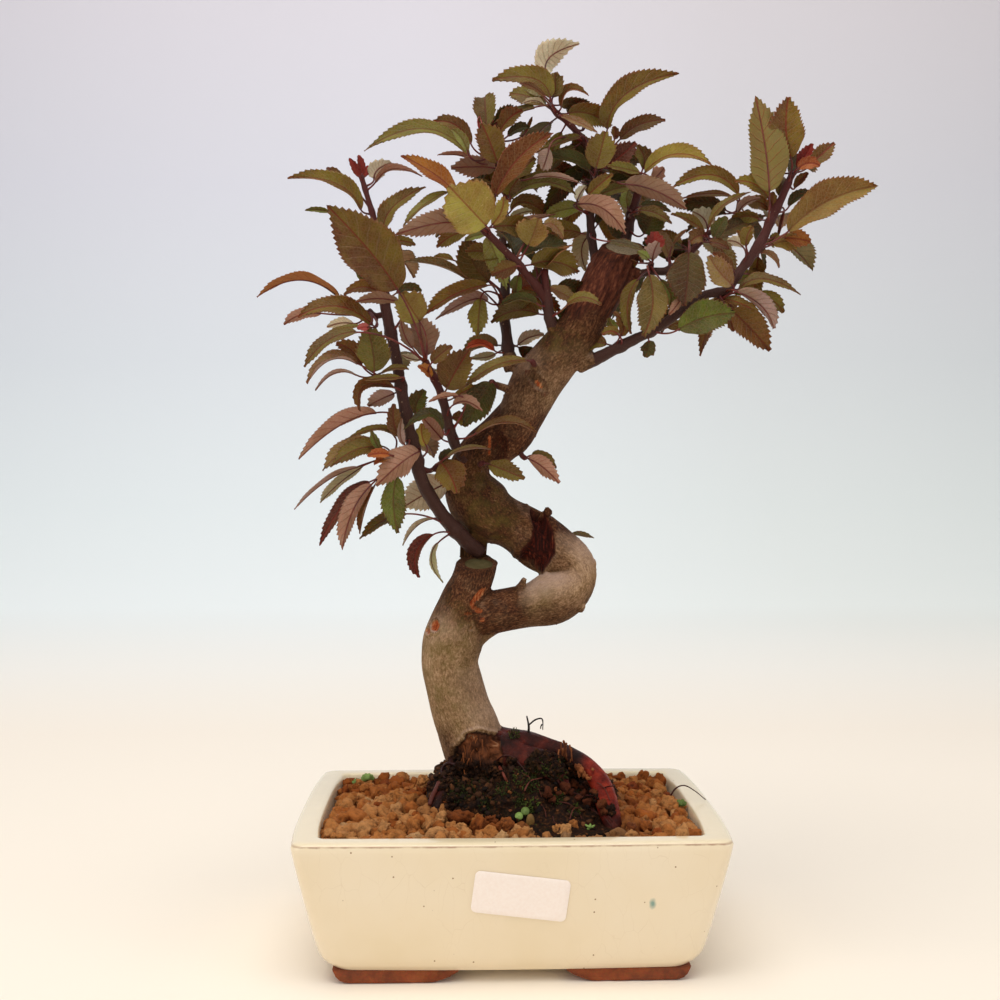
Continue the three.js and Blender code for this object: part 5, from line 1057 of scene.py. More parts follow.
# Leaf finishes: upper face, its second tone, under face, ribs, all as the eye sees them
LEAF_COLOURS = {
    "olive": ("#675B18", "#533C10", "#947C5D", "#622D1A"),
    "brown": ("#644A16", "#513010", "#8F7156", "#5F2818"),
    "tan": ("#7E6A35", "#684925", "#A1867B", "#6F412C"),
    "dgreen": ("#3B3E0C", "#2B2509", "#716847", "#483918"),
    "pinktan": ("#6D5025", "#523115", "#A57E69", "#733828"),
    "pale": ("#73652B", "#5B451F", "#D2C6A9", "#764B35"),
    "bronze": ("#675516", "#52310C", "#937256", "#6E2216"),
    "green": ("#59661A", "#413F10", "#8F845E", "#55391C"),
    "palegreen": ("#838E3D", "#6A622C", "#B3AB89", "#635329"),
    "olivegreen": ("#6D6722", "#534A17", "#96855E", "#60391E"),
    "yellowolive": ("#8B8134", "#755A25", "#B09763", "#793922"),
    "greypink": ("#715833", "#5B3921", "#826754", "#6D392C"),
    "amber": ("#945E19", "#783B0F", "#B1845C", "#6F2816"),
    "crimson": ("#7D271C", "#601510", "#845247", "#80281E"),
    "redbrown": ("#512B17", "#3D180D", "#936250", "#6D2418"),
    "dbrown": ("#5E4012", "#48280B", "#836448", "#572415"),
    "red": ("#B4625A", "#8C3A36", "#BC8075", "#7E241A"),
    "dolive": ("#44390D", "#322407", "#766241", "#492D15"),
    "greygreen": ("#544B1F", "#423213", "#8F8266", "#574225"),
    "amberolive": ("#6C6118", "#594110", "#9A7E58", "#6D2919"),
    "orangered": ("#A75D27", "#873D18", "#C68D66", "#752514"),
    "redtan": ("#8C5E22", "#743E16", "#95653C", "#752B1C"),
    "vermilion": ("#A7400F", "#7B2509", "#C6724E", "#6F2010"),
    "amberbrown": ("#623909", "#4F2505", "#9B7852", "#6D2515"),
    "olivetan": ("#7A672D", "#64461D", "#A08B63", "#6D4325"),
    "yellowgreen": ("#6B6828", "#554A1B", "#77683C", "#844429"),
    "bronzegreen": ("#665620", "#4B3E16", "#937C58", "#632E1A"),
    "greenpurple": ("#4D4317", "#402814", "#836A50", "#572D1E"),
}


def leaf_finish(kind):
    # Apple leaf: thin waxy cuticle above, with sunk ribs and a fine mesh of veins about 1 mm wide;
    # paler, downy and matt beneath, with raised red ribs; the rim and spots turn bronze.
    upper, second, under, rib = LEAF_COLOURS[kind]
    add, done = finish("apple_leaf_" + kind, 0.5, ior=1.45, Specular_IOR_Level=0.22,
                       Subsurface_Weight=0.12, Subsurface_Scale=0.002)
    place = add("NewGeometry", out="Position")
    across, along, side = add("SeparateXYZ", {
        0: add("Attribute", out="Vector", attribute_name="leaf_place")}, None)
    tone = add("Attribute", out="Fac", attribute_name="leaf_tone")
    half = add("Attribute", out="Fac", attribute_name="leaf_half")
    # slanting side veins, the midrib and the fine mesh
    off = add("Math", {0: across}, operation="ABSOLUTE")
    slant = add("Math", {0: off, 1: 0.8}, operation="POWER")
    reach = add("Math", {0: slant, 1: -0.2, 2: along}, operation="MULTIPLY_ADD")
    wobble = add("TexNoise", {"Vector": place, "Scale": per_mm(7), "Detail": 2})
    swayed = add("Math", {0: wobble, 1: 0.05, 2: reach}, operation="MULTIPLY_ADD")
    counted = add("Math", {0: swayed, 1: VEIN_PAIRS}, operation="MULTIPLY")
    folded = add("Math", {0: counted, 1: 0.5}, operation="PINGPONG")
    vein = add("MapRange", {0: folded, 1: 0.02, 2: 0.1, 3: 1, 4: 0})
    fade = add("MapRange", {0: off, 1: 0.55, 2: 1, 3: 1, 4: 0.1})
    veins = add("Math", {0: vein, 1: fade}, operation="MULTIPLY")
    from_rib = add("Math", {0: off, 1: half}, operation="MULTIPLY")
    main_rib = add("MapRange", {0: from_rib, 1: 0.22, 2: 0.5, 3: 1, 4: 0})
    from_edge = add("TexVoronoi", {"Vector": place, "Scale": per_mm(1.3)}, "Distance",
                    feature="DISTANCE_TO_EDGE")
    mesh = add("MapRange", {0: from_edge, 1: 0.02, 2: 0.2, 3: 1, 4: 0})
    # both faces: patches of the second tone, one half darker, a bronze rim above
    cloud = add("TexNoise", {"Vector": place, "Scale": per_mm(8), "Detail": 4, "Roughness": 0.6})
    patch = add("MapRange", {0: cloud, 1: 0.4, 2: 0.62})
    one_half = add("MapRange", {0: across, 1: -0.05, 2: 0.05, 3: 0, 4: 0.5})
    halved = add("Math", {0: patch, 1: 0.6, 2: one_half}, operation="MULTIPLY_ADD")
    above = add("Mix", {0: halved, 6: upper, 7: second}, 2, data_type="RGBA")
    rim = add("MapRange", {0: off, 1: 0.86, 2: 1, 3: 0, 4: 0.55})
    above = add("Mix", {0: rim, 6: above, 7: "#6A3420"}, 2, data_type="RGBA")
    spotted = add("Math", {0: patch, 1: 0.35}, operation="MULTIPLY")
    beneath = add("Mix", {0: spotted, 6: under, 7: upper}, 2, data_type="RGBA")
    for pattern, share_above, tint, share_beneath in (
            (mesh, 0.16, under, 0.14), (veins, 0.2, under, 0.42), (main_rib, 0.7, rib, 0.8)):
        shown = add("Math", {0: pattern, 1: share_above}, operation="MULTIPLY")
        above = add("Mix", {0: shown, 6: above, 7: tint}, 2, data_type="RGBA")
        shown = add("Math", {0: pattern, 1: share_beneath}, operation="MULTIPLY")
        beneath = add("Mix", {0: shown, 6: beneath, 7: rib}, 2, data_type="RGBA")
    both = add("Mix", {0: side, 6: beneath, 7: above}, 2, data_type="RGBA")
    bright = add("MapRange", {0: tone, 1: -1, 2: 1, 3: 0.8, 4: 1.22})
    toned = add("HueSaturation", {"Value": bright, "Color": both})
    waxy = add("MapRange", {0: side, 3: 0.78, 4: 0.46})
    sunk = add("Math", {0: veins, 1: main_rib}, operation="MAXIMUM")
    turned = add("MapRange", {0: side, 3: 1, 4: -1})
    ribs = add("Math", {0: sunk, 1: turned}, operation="MULTIPLY")
    relief = add("Math", {0: mesh, 1: -0.22, 2: ribs}, operation="MULTIPLY_ADD")
    bump = add("Bump", {"Height": relief, "Strength": 0.6, "Distance": 0.0004})
    return done(Base_Color=toned, Roughness=waxy, Normal=bump)


def midrib(base, middle, tip, along):
    """The bent line from a blade's base through its middle to its tip."""
    handle = 2 * middle - (base + tip) / 2
    rest = 1 - along
    return (np.outer(rest ** 2, base) + np.outer(2 * rest * along, handle)
            + np.outer(along ** 2, tip))


# Places across a blade from edge to edge, its thickness, and the length of a tooth
LEAF_COLUMNS = np.array([-1, -0.84, -0.55, -0.25, 0, 0.25, 0.55, 0.84, 1.0])
LEAF_THICK = 0.28
TOOTH = 1.6
# A shoot's finishes: stalks and ribs, twigs, then its blades
STALK, WOOD, BLADE = 0, 1, 2


def blade(shape, finish_at, root, base, middle, tip, width, turn, facing, random):
    """One toothed leaf with its stalk: a thin closed blade, arched, folded and quilted."""
    length = np.linalg.norm(tip - base)
    teeth = int(np.clip(length / TOOTH, 5, 24))
    along = np.linspace(0, 1, 2 * teeth + 1)
    tone, wave, twist, fold = 2 * next(random) - 1, next(random), next(random), next(random)
    chord = unit(tip - base)
    level = unit(facing - facing.dot(chord) * chord)
    lift = -1 if np.cross(chord, level)[2] < 0 else 1
    spine = midrib(base, middle, tip, along)
    heading = unit(midrib(base, middle, tip, np.minimum(1, along + 0.05))
                   - midrib(base, middle, tip, np.maximum(0, along - 0.05)))
    ahead = unit(facing - (heading @ facing)[:, None] * heading)
    aside = np.cross(heading, ahead) * lift
    angle = turn + (twist - 0.5) * 0.5 * (along - 0.5)
    upper = ahead * np.cos(angle)[:, None] + aside * np.sin(angle)[:, None]
    out = np.cross(upper, heading)
    swell = along ** 0.64 * (1 - along) ** 0.76 * (1 - 0.3 * step_smoothly(0.8, 0.96, along))
    half = width / 2 * 1.05 * swell / swell.max()
    half = np.maximum(half, 0.4 * (1 - along))
    notch = np.minimum(0.7, 0.07 * width) * step_smoothly(0.06, 0.2, along) * (along < 0.97)
    u = LEAF_COLUMNS[None, :]
    size = np.abs(u)
    v = along[:, None]
    is_notch = (np.arange(len(along)) % 2 == 0)[:, None]
    phase = 2 * math.pi * (wave + np.where(u > 0, 0.37, 0.0))
    uneven = 1 + 0.07 * size * np.sin(2 * math.pi * v * 1.7 + 2 * phase)
    reach = (half[:, None] * uneven * u
             - np.sign(u) * (size == 1) * is_notch * notch[:, None])
    forward = (size == 1) * ~is_notch * (notch[:, None] * 1.5)
    rise = half[:, None] * BLADE_FOLD * (0.8 + 1.5 * fold * fold) * size ** 1.1
    rise += 0.035 * width * size ** 2 * np.sin(2 * math.pi * v * (1.5 + 1.2 * wave) + phase)
    rise += 0.011 * width * (4 * size * (1 - size)) * np.cos(
        2 * math.pi * VEIN_PAIRS * (v - 0.2 * size))
    points = (spine[:, None, :] + out[:, None, :] * reach[:, :, None]
              + upper[:, None, :] * rise[:, :, None] + heading[:, None, :] * forward[:, :, None])
    columns = len(LEAF_COLUMNS)
    top = points.reshape(-1, 3)
    depth = np.repeat(upper, columns, axis=0) * LEAF_THICK
    count = len(top)
    spread = np.tile(np.repeat(half, columns), 2)
    darker_side = 1 if twist > 0.5 else -1
    place = np.stack([np.broadcast_to(u * darker_side, rise.shape).ravel(),
                      np.broadcast_to(v, rise.shape).ravel(), np.ones(count)], axis=1)
    quads = ring_faces(len(along), columns, closed=False)
    rows = np.arange(len(along) - 1) * columns
    right = np.stack([rows, rows + columns, rows + columns + count, rows + count], axis=1)
    left = right[:, ::-1]
    right = right + columns - 1
    side = np.arange(columns - 1)
    front = np.stack([side, side + 1, side + 1 + count, side + count], axis=1)
    end = front[:, ::-1] + (len(along) - 1) * columns
    faces = np.vstack([quads[:, ::-1], quads + count, left, right, front, end])
    shape.add(np.vstack([top, top - depth]), faces, finish_at,
              leaf_place=np.vstack([place, place * [1, 1, 0]]), leaf_tone=tone,
              leaf_half=spread)
    stalk(shape, root, base, heading[0], upper[0], random)
    rib_rows = np.column_stack([spine[:-2:2] - upper[:-2:2] * (LEAF_THICK + 0.05),
                                (0.36 - 0.29 * along[:-2:2]) * min(1, width / 9)])
    if len(rib_rows) > 3:
        rib, rib_faces, _ = tube(rib_rows, 5)
        shape.add(rib, rib_faces, STALK, leaf_tone=tone)


def stalk(shape, root, base, heading, upper, random):
    """A leaf stalk that leaves its stem, bends, and runs on into the blade's midrib."""
    span = np.linalg.norm(base - root)
    sag = (next(random) - 0.5) * 0.12 * span
    handle = base - heading * span * 0.42 + UP * sag
    share = np.linspace(0, 1, 9)[:, None]
    line = (1 - share) ** 2 * root + 2 * share * (1 - share) * handle + share ** 2 * base
    line = np.vstack([line, base + heading * 0.8 - upper * 0.1])
    radius = np.interp(np.linspace(0, 1, len(line)), [0, 0.12, 0.3, 1], [0.85, 0.55, 0.42, 0.36])
    points, faces, _ = tube(np.column_stack([line, radius]), 7)
    shape.add(points, faces, STALK, leaf_tone=0.0)


def along_stem(rows, place, shift, towards):
    """A place just under a stem's skin, on the side of the leaf that starts there."""
    first = min(int(math.floor(place)), len(rows) - 2)
    before, after = (seen(*row[:3]) for row in rows[first:first + 2])
    step = np.linalg.norm(after - before)
    heading = (after - before) / step
    share = min(place - first + shift / step, 0.95 if first == len(rows) - 2 else 1.2)
    root = before + (after - before) * share
    aside = towards - root
    aside = unit(aside - aside.dot(heading) * heading)
    return root + aside * max(0, 0.8 * rows[first + 1][3] - ROOT_DEPTH)


def stem(shape, rows, main, whorl_places, seed):
    """A twig with slight swellings where its leaves start, and blunt buds."""
    run = placed(rows)
    smooth_run = curve_through(run, 1.4)
    far = lengths_along(smooth_run[:, :3])
    for place in whorl_places:
        first = min(int(place), len(rows) - 2)
        spot = run[first, :3] + (run[first + 1, :3] - run[first, :3]) * (place - first)
        gap = np.linalg.norm(smooth_run[:, :3] - spot, axis=1)
        smooth_run[:, 3] *= 1 + 0.22 * np.exp(-(gap / 1.8) ** 2)
    sides = 14 if main else 9
    points, faces, straight = tube(smooth_run, sides, wobble=0.09, seed=seed)
    young = step_smoothly(0.45, 1.0, far / far[-1]) if main else np.full(len(far), 0.6)
    tones = np.concatenate([np.repeat(young, sides), [young[0], young[-1]]])
    shape.add(points, faces, WOOD, bark_place=straight, leaf_tone=tones)


# Small leaves behind each whorl of the shoots that make the dense middle of the crown
FILLERS = {"shoot_centre": 2, "shoot_pruned_twig": 2, "shoot_upper_right": 2, "shoot_top": 3,
           "shoot_right": 1}
# Finishes of young buds only, which no filler leaf takes
BUD_KINDS = {"red", "crimson", "vermilion", "orangered"}


def leafy_shoot(index, entry):
    """One shoot with its stems, its leaves as seen, filler leaves and leaves of the far side."""
    name, (back_count, back_start, back_from, back_to), stems, whorls = entry
    kinds = sorted({leaf[10] for _, _, leaves in whorls for leaf in leaves} | {"olive", "dgreen"})
    finishes = [petiole, twig_wood] + [leaf_finishes[kind] for kind in kinds]
    shape = Shape(leaf_place=np.zeros(3), leaf_tone=0.0, leaf_half=0.0, bark_place=np.zeros(3))
    for number, rows in enumerate(stems):
        places = [place for at, place, _ in whorls if at == number]
        stem(shape, rows, number == 0, places, 40 + index * 10 + number)
    looks = sequence(900 + index)
    for number, place, leaves in whorls:
        for i, leaf in enumerate(leaves):
            bx, bz, mx, mz, tx, tz, width, turn, near, far, kind = leaf
            base, tip = seen(bx, bz, near), seen(tx, tz, far)
            middle = seen(mx, mz, (near + far) / 2)
            shift = LEAF_SPACING * (i - (len(leaves) - 1) / 2)
            root = along_stem(stems[number], place, shift, base)
            width = width * (near - EYE[1]) / -EYE[1]
            blade(shape, BLADE + kinds.index(kind), root, base, middle, tip, width,
                  math.radians(turn), unit(EYE - middle), looks)
    spare = sequence(700 + index)
    for number, place, leaves in whorls:
        for i in range(FILLERS.get(name, 0)):
            heading = 2 * math.pi * next(spare)
            away = unit(np.array([math.cos(heading), 0.25 + 0.6 * next(spare),
                                  0.75 * math.sin(heading) + 0.15]))
            root = along_stem(stems[number], place, 1 + i, np.array([0.0, 1000.0, 150.0]))
            base = root + away * (4 + 4 * next(spare))
            length = 14 + 11 * next(spare)
            tip = base + away * length - UP * 0.25 * length
            middle = (base + tip) / 2 + UP * (0.04 + 0.12 * next(spare)) * length
            kind = ("olive", "dgreen", "olive")[i % 3] if next(spare) < 0.6 else kinds[
                int(next(spare) * len(kinds)) % len(kinds)]
            kind = "olive" if kind in BUD_KINDS else kind
            blade(shape, BLADE + kinds.index(kind), root, base, middle, tip,
                  length * (0.36 + 0.14 * next(spare)), (next(spare) - 0.5) * 2.4,
                  unit(EYE - middle + UP * 200 * next(spare)), looks)
    drawn = sequence(100 + index)
    for i in range(back_count):
        reach = len(stems[0]) - 1.4 - back_start
        heading = math.radians(back_from + (back_to - back_from) * next(drawn))
        rise = 0.5 * next(drawn) - 0.1
        away = unit(np.array([math.cos(heading), math.sin(heading), rise]))
        place = back_start + reach * (i + next(drawn)) / back_count
        centre = along_stem(stems[0], place, 0, np.array([0.0, 1000.0, 0.0]))
        root = along_stem(stems[0], place, 0, centre + away * BACK_LENGTH)
        base = root + away * BACK_PETIOLE
        length = BACK_LENGTH * (0.75 + 0.4 * next(drawn))
        tip = base + away * length - UP * 0.3 * length
        middle = (base + tip) / 2 + UP * 0.1 * length
        turn = (next(drawn) - 0.5) * 0.8
        kind = ("olive", "dgreen")[i % 2]
        blade(shape, BLADE + kinds.index(kind), root, base, middle, tip,
              BACK_WIDTH * length / BACK_LENGTH, turn, UP, looks)
    shape.build(name + "_foliage", finishes, [name])


def bowed_ring(half_length, half_depth, corner, z, grow=0.0, flat=22, round_steps=7,
               bows=(FRONT_BOW, SIDE_BOW)):
    """A rectangle with round corners and gently bowed sides, counter-clockwise from above."""
    ring = []
    for quarter in range(4):
        x_side = 1 if quarter in (0, 3) else -1
        y_side = 1 if quarter < 2 else -1
        for step in range(round_steps + 1):
            angle = (quarter + step / round_steps) * math.pi / 2
            ring.append((x_side * (half_length - corner) + (corner + grow) * math.cos(angle),
                         y_side * (half_depth - corner) + (corner + grow) * math.sin(angle)))
        for step in range(1, flat):
            share = 1 - 2 * step / flat
            if quarter % 2 == 0:
                bow = bows[0] * (1 - share * share)
                ring.append((x_side * share * (half_length - corner),
                             y_side * (half_depth + grow + bow)))
            else:
                bow = bows[1] * (1 - abs(share) ** 3)
                ring.append((x_side * (half_length + grow + bow),
                             y_side * share * (half_depth - corner)))
    return np.array([(x, y, z) for x, y in ring])


def rounded_rows(rows, times=2):
    """Rows with their corners cut off, so that a profile runs smoothly."""
    rows = np.asarray(rows, float)
    for _ in range(times):
        cut = [rows[0]]
        for before, after in zip(rows[:-1], rows[1:]):
            cut.append(before * 0.8 + after * 0.2)
            cut.append(before * 0.2 + after * 0.8)
        cut.append(rows[-1])
        rows = np.array(cut)
    return rows


def lofted(rings):
    """Points and faces of a closed body through rings, with fans over its two ends."""
    sides = len(rings[0])
    points = np.vstack(list(rings) + [rings[0].mean(axis=0), rings[-1].mean(axis=0)])
    return points, [ring_faces(len(rings), sides),
                    end_fans(len(points), sides, (len(rings) - 1) * sides)]


def applied(thing):
    """The object's mesh with its modifiers worked in."""
    ready = thing.evaluated_get(bpy.context.evaluated_depsgraph_get())
    return bpy.data.meshes.new_from_object(ready)


def loose_body(name, points, faces):
    """A helper body in millimetres that other bodies are cut or joined with."""
    mesh = bpy.data.meshes.new(name)
    polygons = [list(map(int, face)) for block in faces for face in block]
    mesh.from_pydata([tuple(point) for point in points], [], polygons)
    return linked(name, mesh)


def mesh_arrays(mesh):
    """A mesh's points, and its faces gathered by their number of corners."""
    points = np.empty(len(mesh.vertices) * 3)
    mesh.vertices.foreach_get("co", points)
    blocks = {}
    for polygon in mesh.polygons:
        blocks.setdefault(len(polygon.vertices), []).append(tuple(polygon.vertices))
    return points.reshape(-1, 3), [np.array(block) for block in blocks.values()]


def wall_depth(z):
    """Half-depth of the pot's outside at a height on its walls."""
    heights = [row[3] for row in POT_OUTSIDE]
    return np.interp(z, heights, [row[1] for row in POT_OUTSIDE])


def pot_body():
    """The bowl with its two drain holes, drilled through the floor."""
    outside = rounded_rows(POT_OUTSIDE + POT_INSIDE)
    rings = [bowed_ring(*row) for row in outside]
    thick = rings[0] * [0.5, 0.5, 1]
    inner = rings[-1] * [0.5, 0.5, 1]
    points, faces = lofted([thick] + rings + [inner])
    body = loose_body("pot_blank", points, faces)
    drills = []
    for side in (-1, 1):
        rows = [(side * DRAIN_X, 0, z, DRAIN_RADIUS) for z in (-2.0, 6.0, 14.0)]
        drill_points, drill_faces, _ = tube(np.array(rows, float), 24)
        drill = loose_body("drain_drill", drill_points, drill_faces)
        cut = body.modifiers.new("drain", "BOOLEAN")
        cut.operation = "DIFFERENCE"
        cut.object = drill
        drills.append(drill)
    bpy.context.view_layer.update()
    points, faces = mesh_arrays(applied(body))
    for thing in drills + [body]:
        bpy.data.objects.remove(thing)
    # the glaze pools on the rim and high on the inside; the worn line runs on the outside only
    z = points[:, 2]
    inner_x, inner_y, rim_start, pool_start = 79.5, 56.5, 54.8, 30
    outwards = (np.maximum(np.abs(points[:, 0]) - inner_x, 0)
                + np.maximum(np.abs(points[:, 1]) - inner_y, 0))
    pooled = np.clip(0.75 * (z > rim_start) + 0.5 * (outwards == 0) * (z > pool_start), 0, 1)
    outer = step_smoothly(3, 6, outwards)
    marks = np.stack([pooled, outer, np.zeros(len(z))], axis=1)
    slow = lumps(points, 34.0, 8)
    points = points + unit(points * [1, 1, 0]) * (0.22 * slow * (z > 4) * (z < 53))[:, None]
    shape = Shape(glaze_mark=np.zeros(3))
    shape.add(points, faces, 0, glaze_mark=marks)
    shape.build("glazed_pot_body", [glaze_finish()], ["pot"])


def pot_feet():
    """Four feet with soft edges, cut to an outline seen from the front."""
    shape = Shape()
    for x_side in (-1, 1):
        outline = np.array(FOOT_OUTLINE, float) * [x_side, 1]
        dense = [outline[0]]
        for before, after in zip(outline[:-1], outline[1:]):
            steps = max(1, int(np.hypot(*(after - before)) / 1.6))
            for step in range(1, steps + 1):
                dense.append(before + (after - before) * step / steps)
        outline = np.array(dense)
        outline[1:-1] = outline[1:-1] * 0.5 + (outline[:-2] + outline[2:]) * 0.25
        outline = outline[::-x_side]
        centre = outline.mean(axis=0)
        for near in (-FOOT_FRONT, FOOT_FRONT - FOOT_DEPTH):
            rings = []
            for into, inset in ((0, 1.1), (0.25, 0.5), (0.9, 0.1), (1.8, 0), (8.5, 0),
                                (15.2, 0), (16.1, 0.1), (16.75, 0.5), (17, 1.1)):
                flat = outline - np.sign(outline - centre) * np.minimum(
                    inset, np.abs(outline - centre) * 0.4)
                flat[:, 1] = np.minimum(flat[:, 1], 0.5)
                rings.append(np.column_stack([flat[:, 0], np.full(len(flat), near + into),
                                              flat[:, 1] + POT_BASE]))
            points, faces = lofted(rings)
            points += 0.12 * lumps(points, 3.5, 12)[:, None] * np.sign(points - points.mean(axis=0))
            points[:, 2] = np.maximum(points[:, 2], -FOOT_DROP)
            shape.add(points, faces)
    shape.build("stoneware_feet", [bare_clay_finish()], ["pot"])


def label_sheet():
    """The blank label, stuck flat on the bowed front wall."""
    turn = math.radians(LABEL["turn"])
    edge = bowed_ring(LABEL["length"] / 2, LABEL["width"] / 2, LABEL["corner"], 0, flat=12,
                      round_steps=6, bows=(0, 0))[:, :2]

    def on_wall(flat, proud):
        x = LABEL["x"] + flat[:, 0] * math.cos(turn) - flat[:, 1] * math.sin(turn)
        z = LABEL["z"] + flat[:, 0] * math.sin(turn) + flat[:, 1] * math.cos(turn)
        wall = wall_depth(z) + FRONT_BOW * (1 - (x / 80) ** 2)
        return np.column_stack([x, -(wall + proud), z])

    rings = [on_wall(edge * 0.97, 0.12), on_wall(edge, 0.14)]
    rings += [on_wall(edge, 0.42), on_wall(edge * [0.992, 0.985], 0.5)]
    rings += [on_wall(edge * share, 0.5) for share in (0.8, 0.6, 0.4, 0.2)]
    shape = Shape()
    shape.add(*lofted(rings))
    shape.build("blank_paper_label", [label_finish()], ["label"])


# Outline of the big dark red wound inside the loop, in x and z as seen from the viewing point
WOUND_OUTLINE = [(10, 188), (14, 187), (17, 184), (20, 178), (21.5, 170), (21.3, 166), (18, 161),
                 (15, 157.5), (10, 158.5), (7, 159), (4, 163), (5.5, 168), (9.5, 172),
                 (11, 178), (9.5, 184)]
# Outline of the rotten wood under a ragged bark edge at the trunk's foot, seen likewise
ROTTEN_OUTLINE = [(-24.7, 80.5), (-20.7, 83.7), (-18, 86.8), (-13.9, 88.3), (-9.8, 87.2),
                  (-5.7, 86.4), (-3.7, 84.6), (-1.5, 75), (-2, 56), (-24, 56), (-25.5, 72)]
# Small open wounds: x, z, half-width, half-height, depth cut (less than 0: raised), lean in
# degrees, and how fresh
SMALL_WOUNDS = [
    (-13.5, 147.3, 1.4, 5.4, 1.2, 41, 1.0), (-12.9, 140.9, 1.9, 1.5, 1.0, 0, 0.9),
    (-17.7, 139.9, 1.6, 1.2, 0.8, 0, 0.7), (-11.5, 137.4, 1.4, 1.2, -0.7, 0, 0.8),
    (-15, 142.6, 1.5, 1.2, 1.0, 0, 0.8), (-16.4, 133.1, 1.3, 1.0, 0.5, 0, 0.4),
    (-31.9, 134.5, 1.6, 2.8, 1.3, 8, 1.0), (-35, 132.3, 1.0, 1.6, 0.9, 0, 0.8),
    (12.9, 242, 5.2, 2.6, 1.6, 50, 0.2), (13.8, 241, 2.3, 1.0, -0.4, 50, 1.0),
    (-3.5, 213, 3.2, 6, 1.8, 0, 0.0), (-8.4, 214.3, 0.8, 5, -0.5, 0, 1.0)]
# Patches of green-ochre algae: x, z, radius
ALGAE = [(-31, 120, 15), (-26, 132, 13), (-30, 104, 11), (-12, 190, 15), (-6, 181, 13),
         (22, 262, 10), (14, 150, 8), (-20, 96, 9)]


def flattened(points):
    """Where points stand in x and z when seen from the viewing point."""
    scale = -EYE[1] / (points[:, 1] - EYE[1])
    return EYE[[0, 2]] + (points[:, [0, 2]] - EYE[[0, 2]]) * scale[:, None]


def inside_by(places, outline):
    """How far places lie inside an outline, negative outside it."""
    outline = np.array(outline, float)
    nearest = np.full(len(places), 1e9)
    within = np.zeros(len(places), bool)
    for start, end in zip(outline, np.roll(outline, -1, axis=0)):
        edge = end - start
        share = np.clip(((places - start) @ edge) / edge.dot(edge), 0, 1)
        gap = places - start - share[:, None] * edge
        nearest = np.minimum(nearest, np.hypot(gap[:, 0], gap[:, 1]))
        crosses = (start[1] > places[:, 1]) != (end[1] > places[:, 1])
        at = start[0] + (places[:, 1] - start[1]) * edge[0] / (edge[1] if edge[1] else 1e-9)
        within ^= crosses & (places[:, 0] < at)
    return np.where(within, nearest, -nearest)


def remeshed(name, bodies, voxel):
    """Overlapping closed bodies made into one skin of small even faces."""
    shape = Shape()
    for points, faces in bodies:
        shape.add(points, faces)
    blank = loose_body(name, np.vstack(shape.points), shape.faces)
    grid = blank.modifiers.new("skin", "REMESH")
    grid.mode = "VOXEL"
    grid.voxel_size = voxel
    even = blank.modifiers.new("even", "SMOOTH")
    even.factor = 0.5
    even.iterations = 4
    bpy.context.view_layer.update()
    points, faces = mesh_arrays(applied(blank))
    bpy.data.objects.remove(blank)
    return points, faces


def corner_normals(points, faces):
    """A normal for each point, from the faces round it."""
    normals = np.zeros_like(points)
    for block in faces:
        one = points[block[:, 1]] - points[block[:, 0]]
        other = points[block[:, 2]] - points[block[:, 0]]
        face_normal = np.cross(one, other)
        for corner in range(block.shape[1]):
            np.add.at(normals, block[:, corner], face_normal)
    return unit(normals)


def straightened(points, runs):
    """Each point's place along, and round, the nearest of the wood's runs, and that run."""
    nearest = np.full(len(points), 1e9)
    place = np.zeros((len(points), 3))
    run_of = np.zeros(len(points), int)
    for number, run in enumerate(runs):
        centres, radii = run[:, :3], run[:, 3]
        headings = headings_of(centres)
        far = lengths_along(centres)
        gaps = np.linalg.norm(points[:, None, :] - centres[None], axis=2) - radii[None]
        at = gaps.argmin(axis=1)
        gap = gaps[np.arange(len(points)), at]
        closer = gap < nearest
        off = points - centres[at]
        ahead = (off * headings[at]).sum(axis=1)
        flat = off - headings[at] * ahead[:, None]
        side = unit(np.cross(headings[at], [0, 1, 0]) + [1e-6, 0, 0])
        other = np.cross(headings[at], side)
        straight = np.stack([(flat * side).sum(axis=1), (flat * other).sum(axis=1),
                             far[at] + ahead + 300 * number], axis=1)
        nearest[closer] = gap[closer]
        place[closer] = straight[closer]
        run_of[closer] = number
    return place, run_of


# Saw cuts: x, z as seen, depth, the way the cut face looks, radius of bare wood
STUMP_CUT = (-13.0, 162.1, 0, (0.02, -0.31, 0.95), 6.4)
TOP_CUT = (51.2, 301.3, 5, (0.1, -0.5, 0.86), 8.0)


def sawn_off(points, chosen, cut, reach):
    """Flattens what stands past a saw cut: the share of sawn face, and where its rim is."""
    x, z, y, way, face = cut
    centre, way = seen(x, z, y), unit(way)
    ahead = (points - centre) @ way
    near = chosen & (np.linalg.norm(points - centre, axis=1) < reach)
    past = near & (ahead > 0)
    points[past] -= way * (ahead[past] * 0.97)[:, None]
    from_middle = np.linalg.norm(points - centre, axis=1) + 0.5 * lumps(points, 3.0, 47)
    sawn = step_smoothly(face + 0.3, face - 0.3, from_middle) * (near & (ahead > -0.3))
    points -= way * (0.9 * sawn)[:, None]
    return sawn, near & (ahead > -2.5) & (sawn < 0.5)


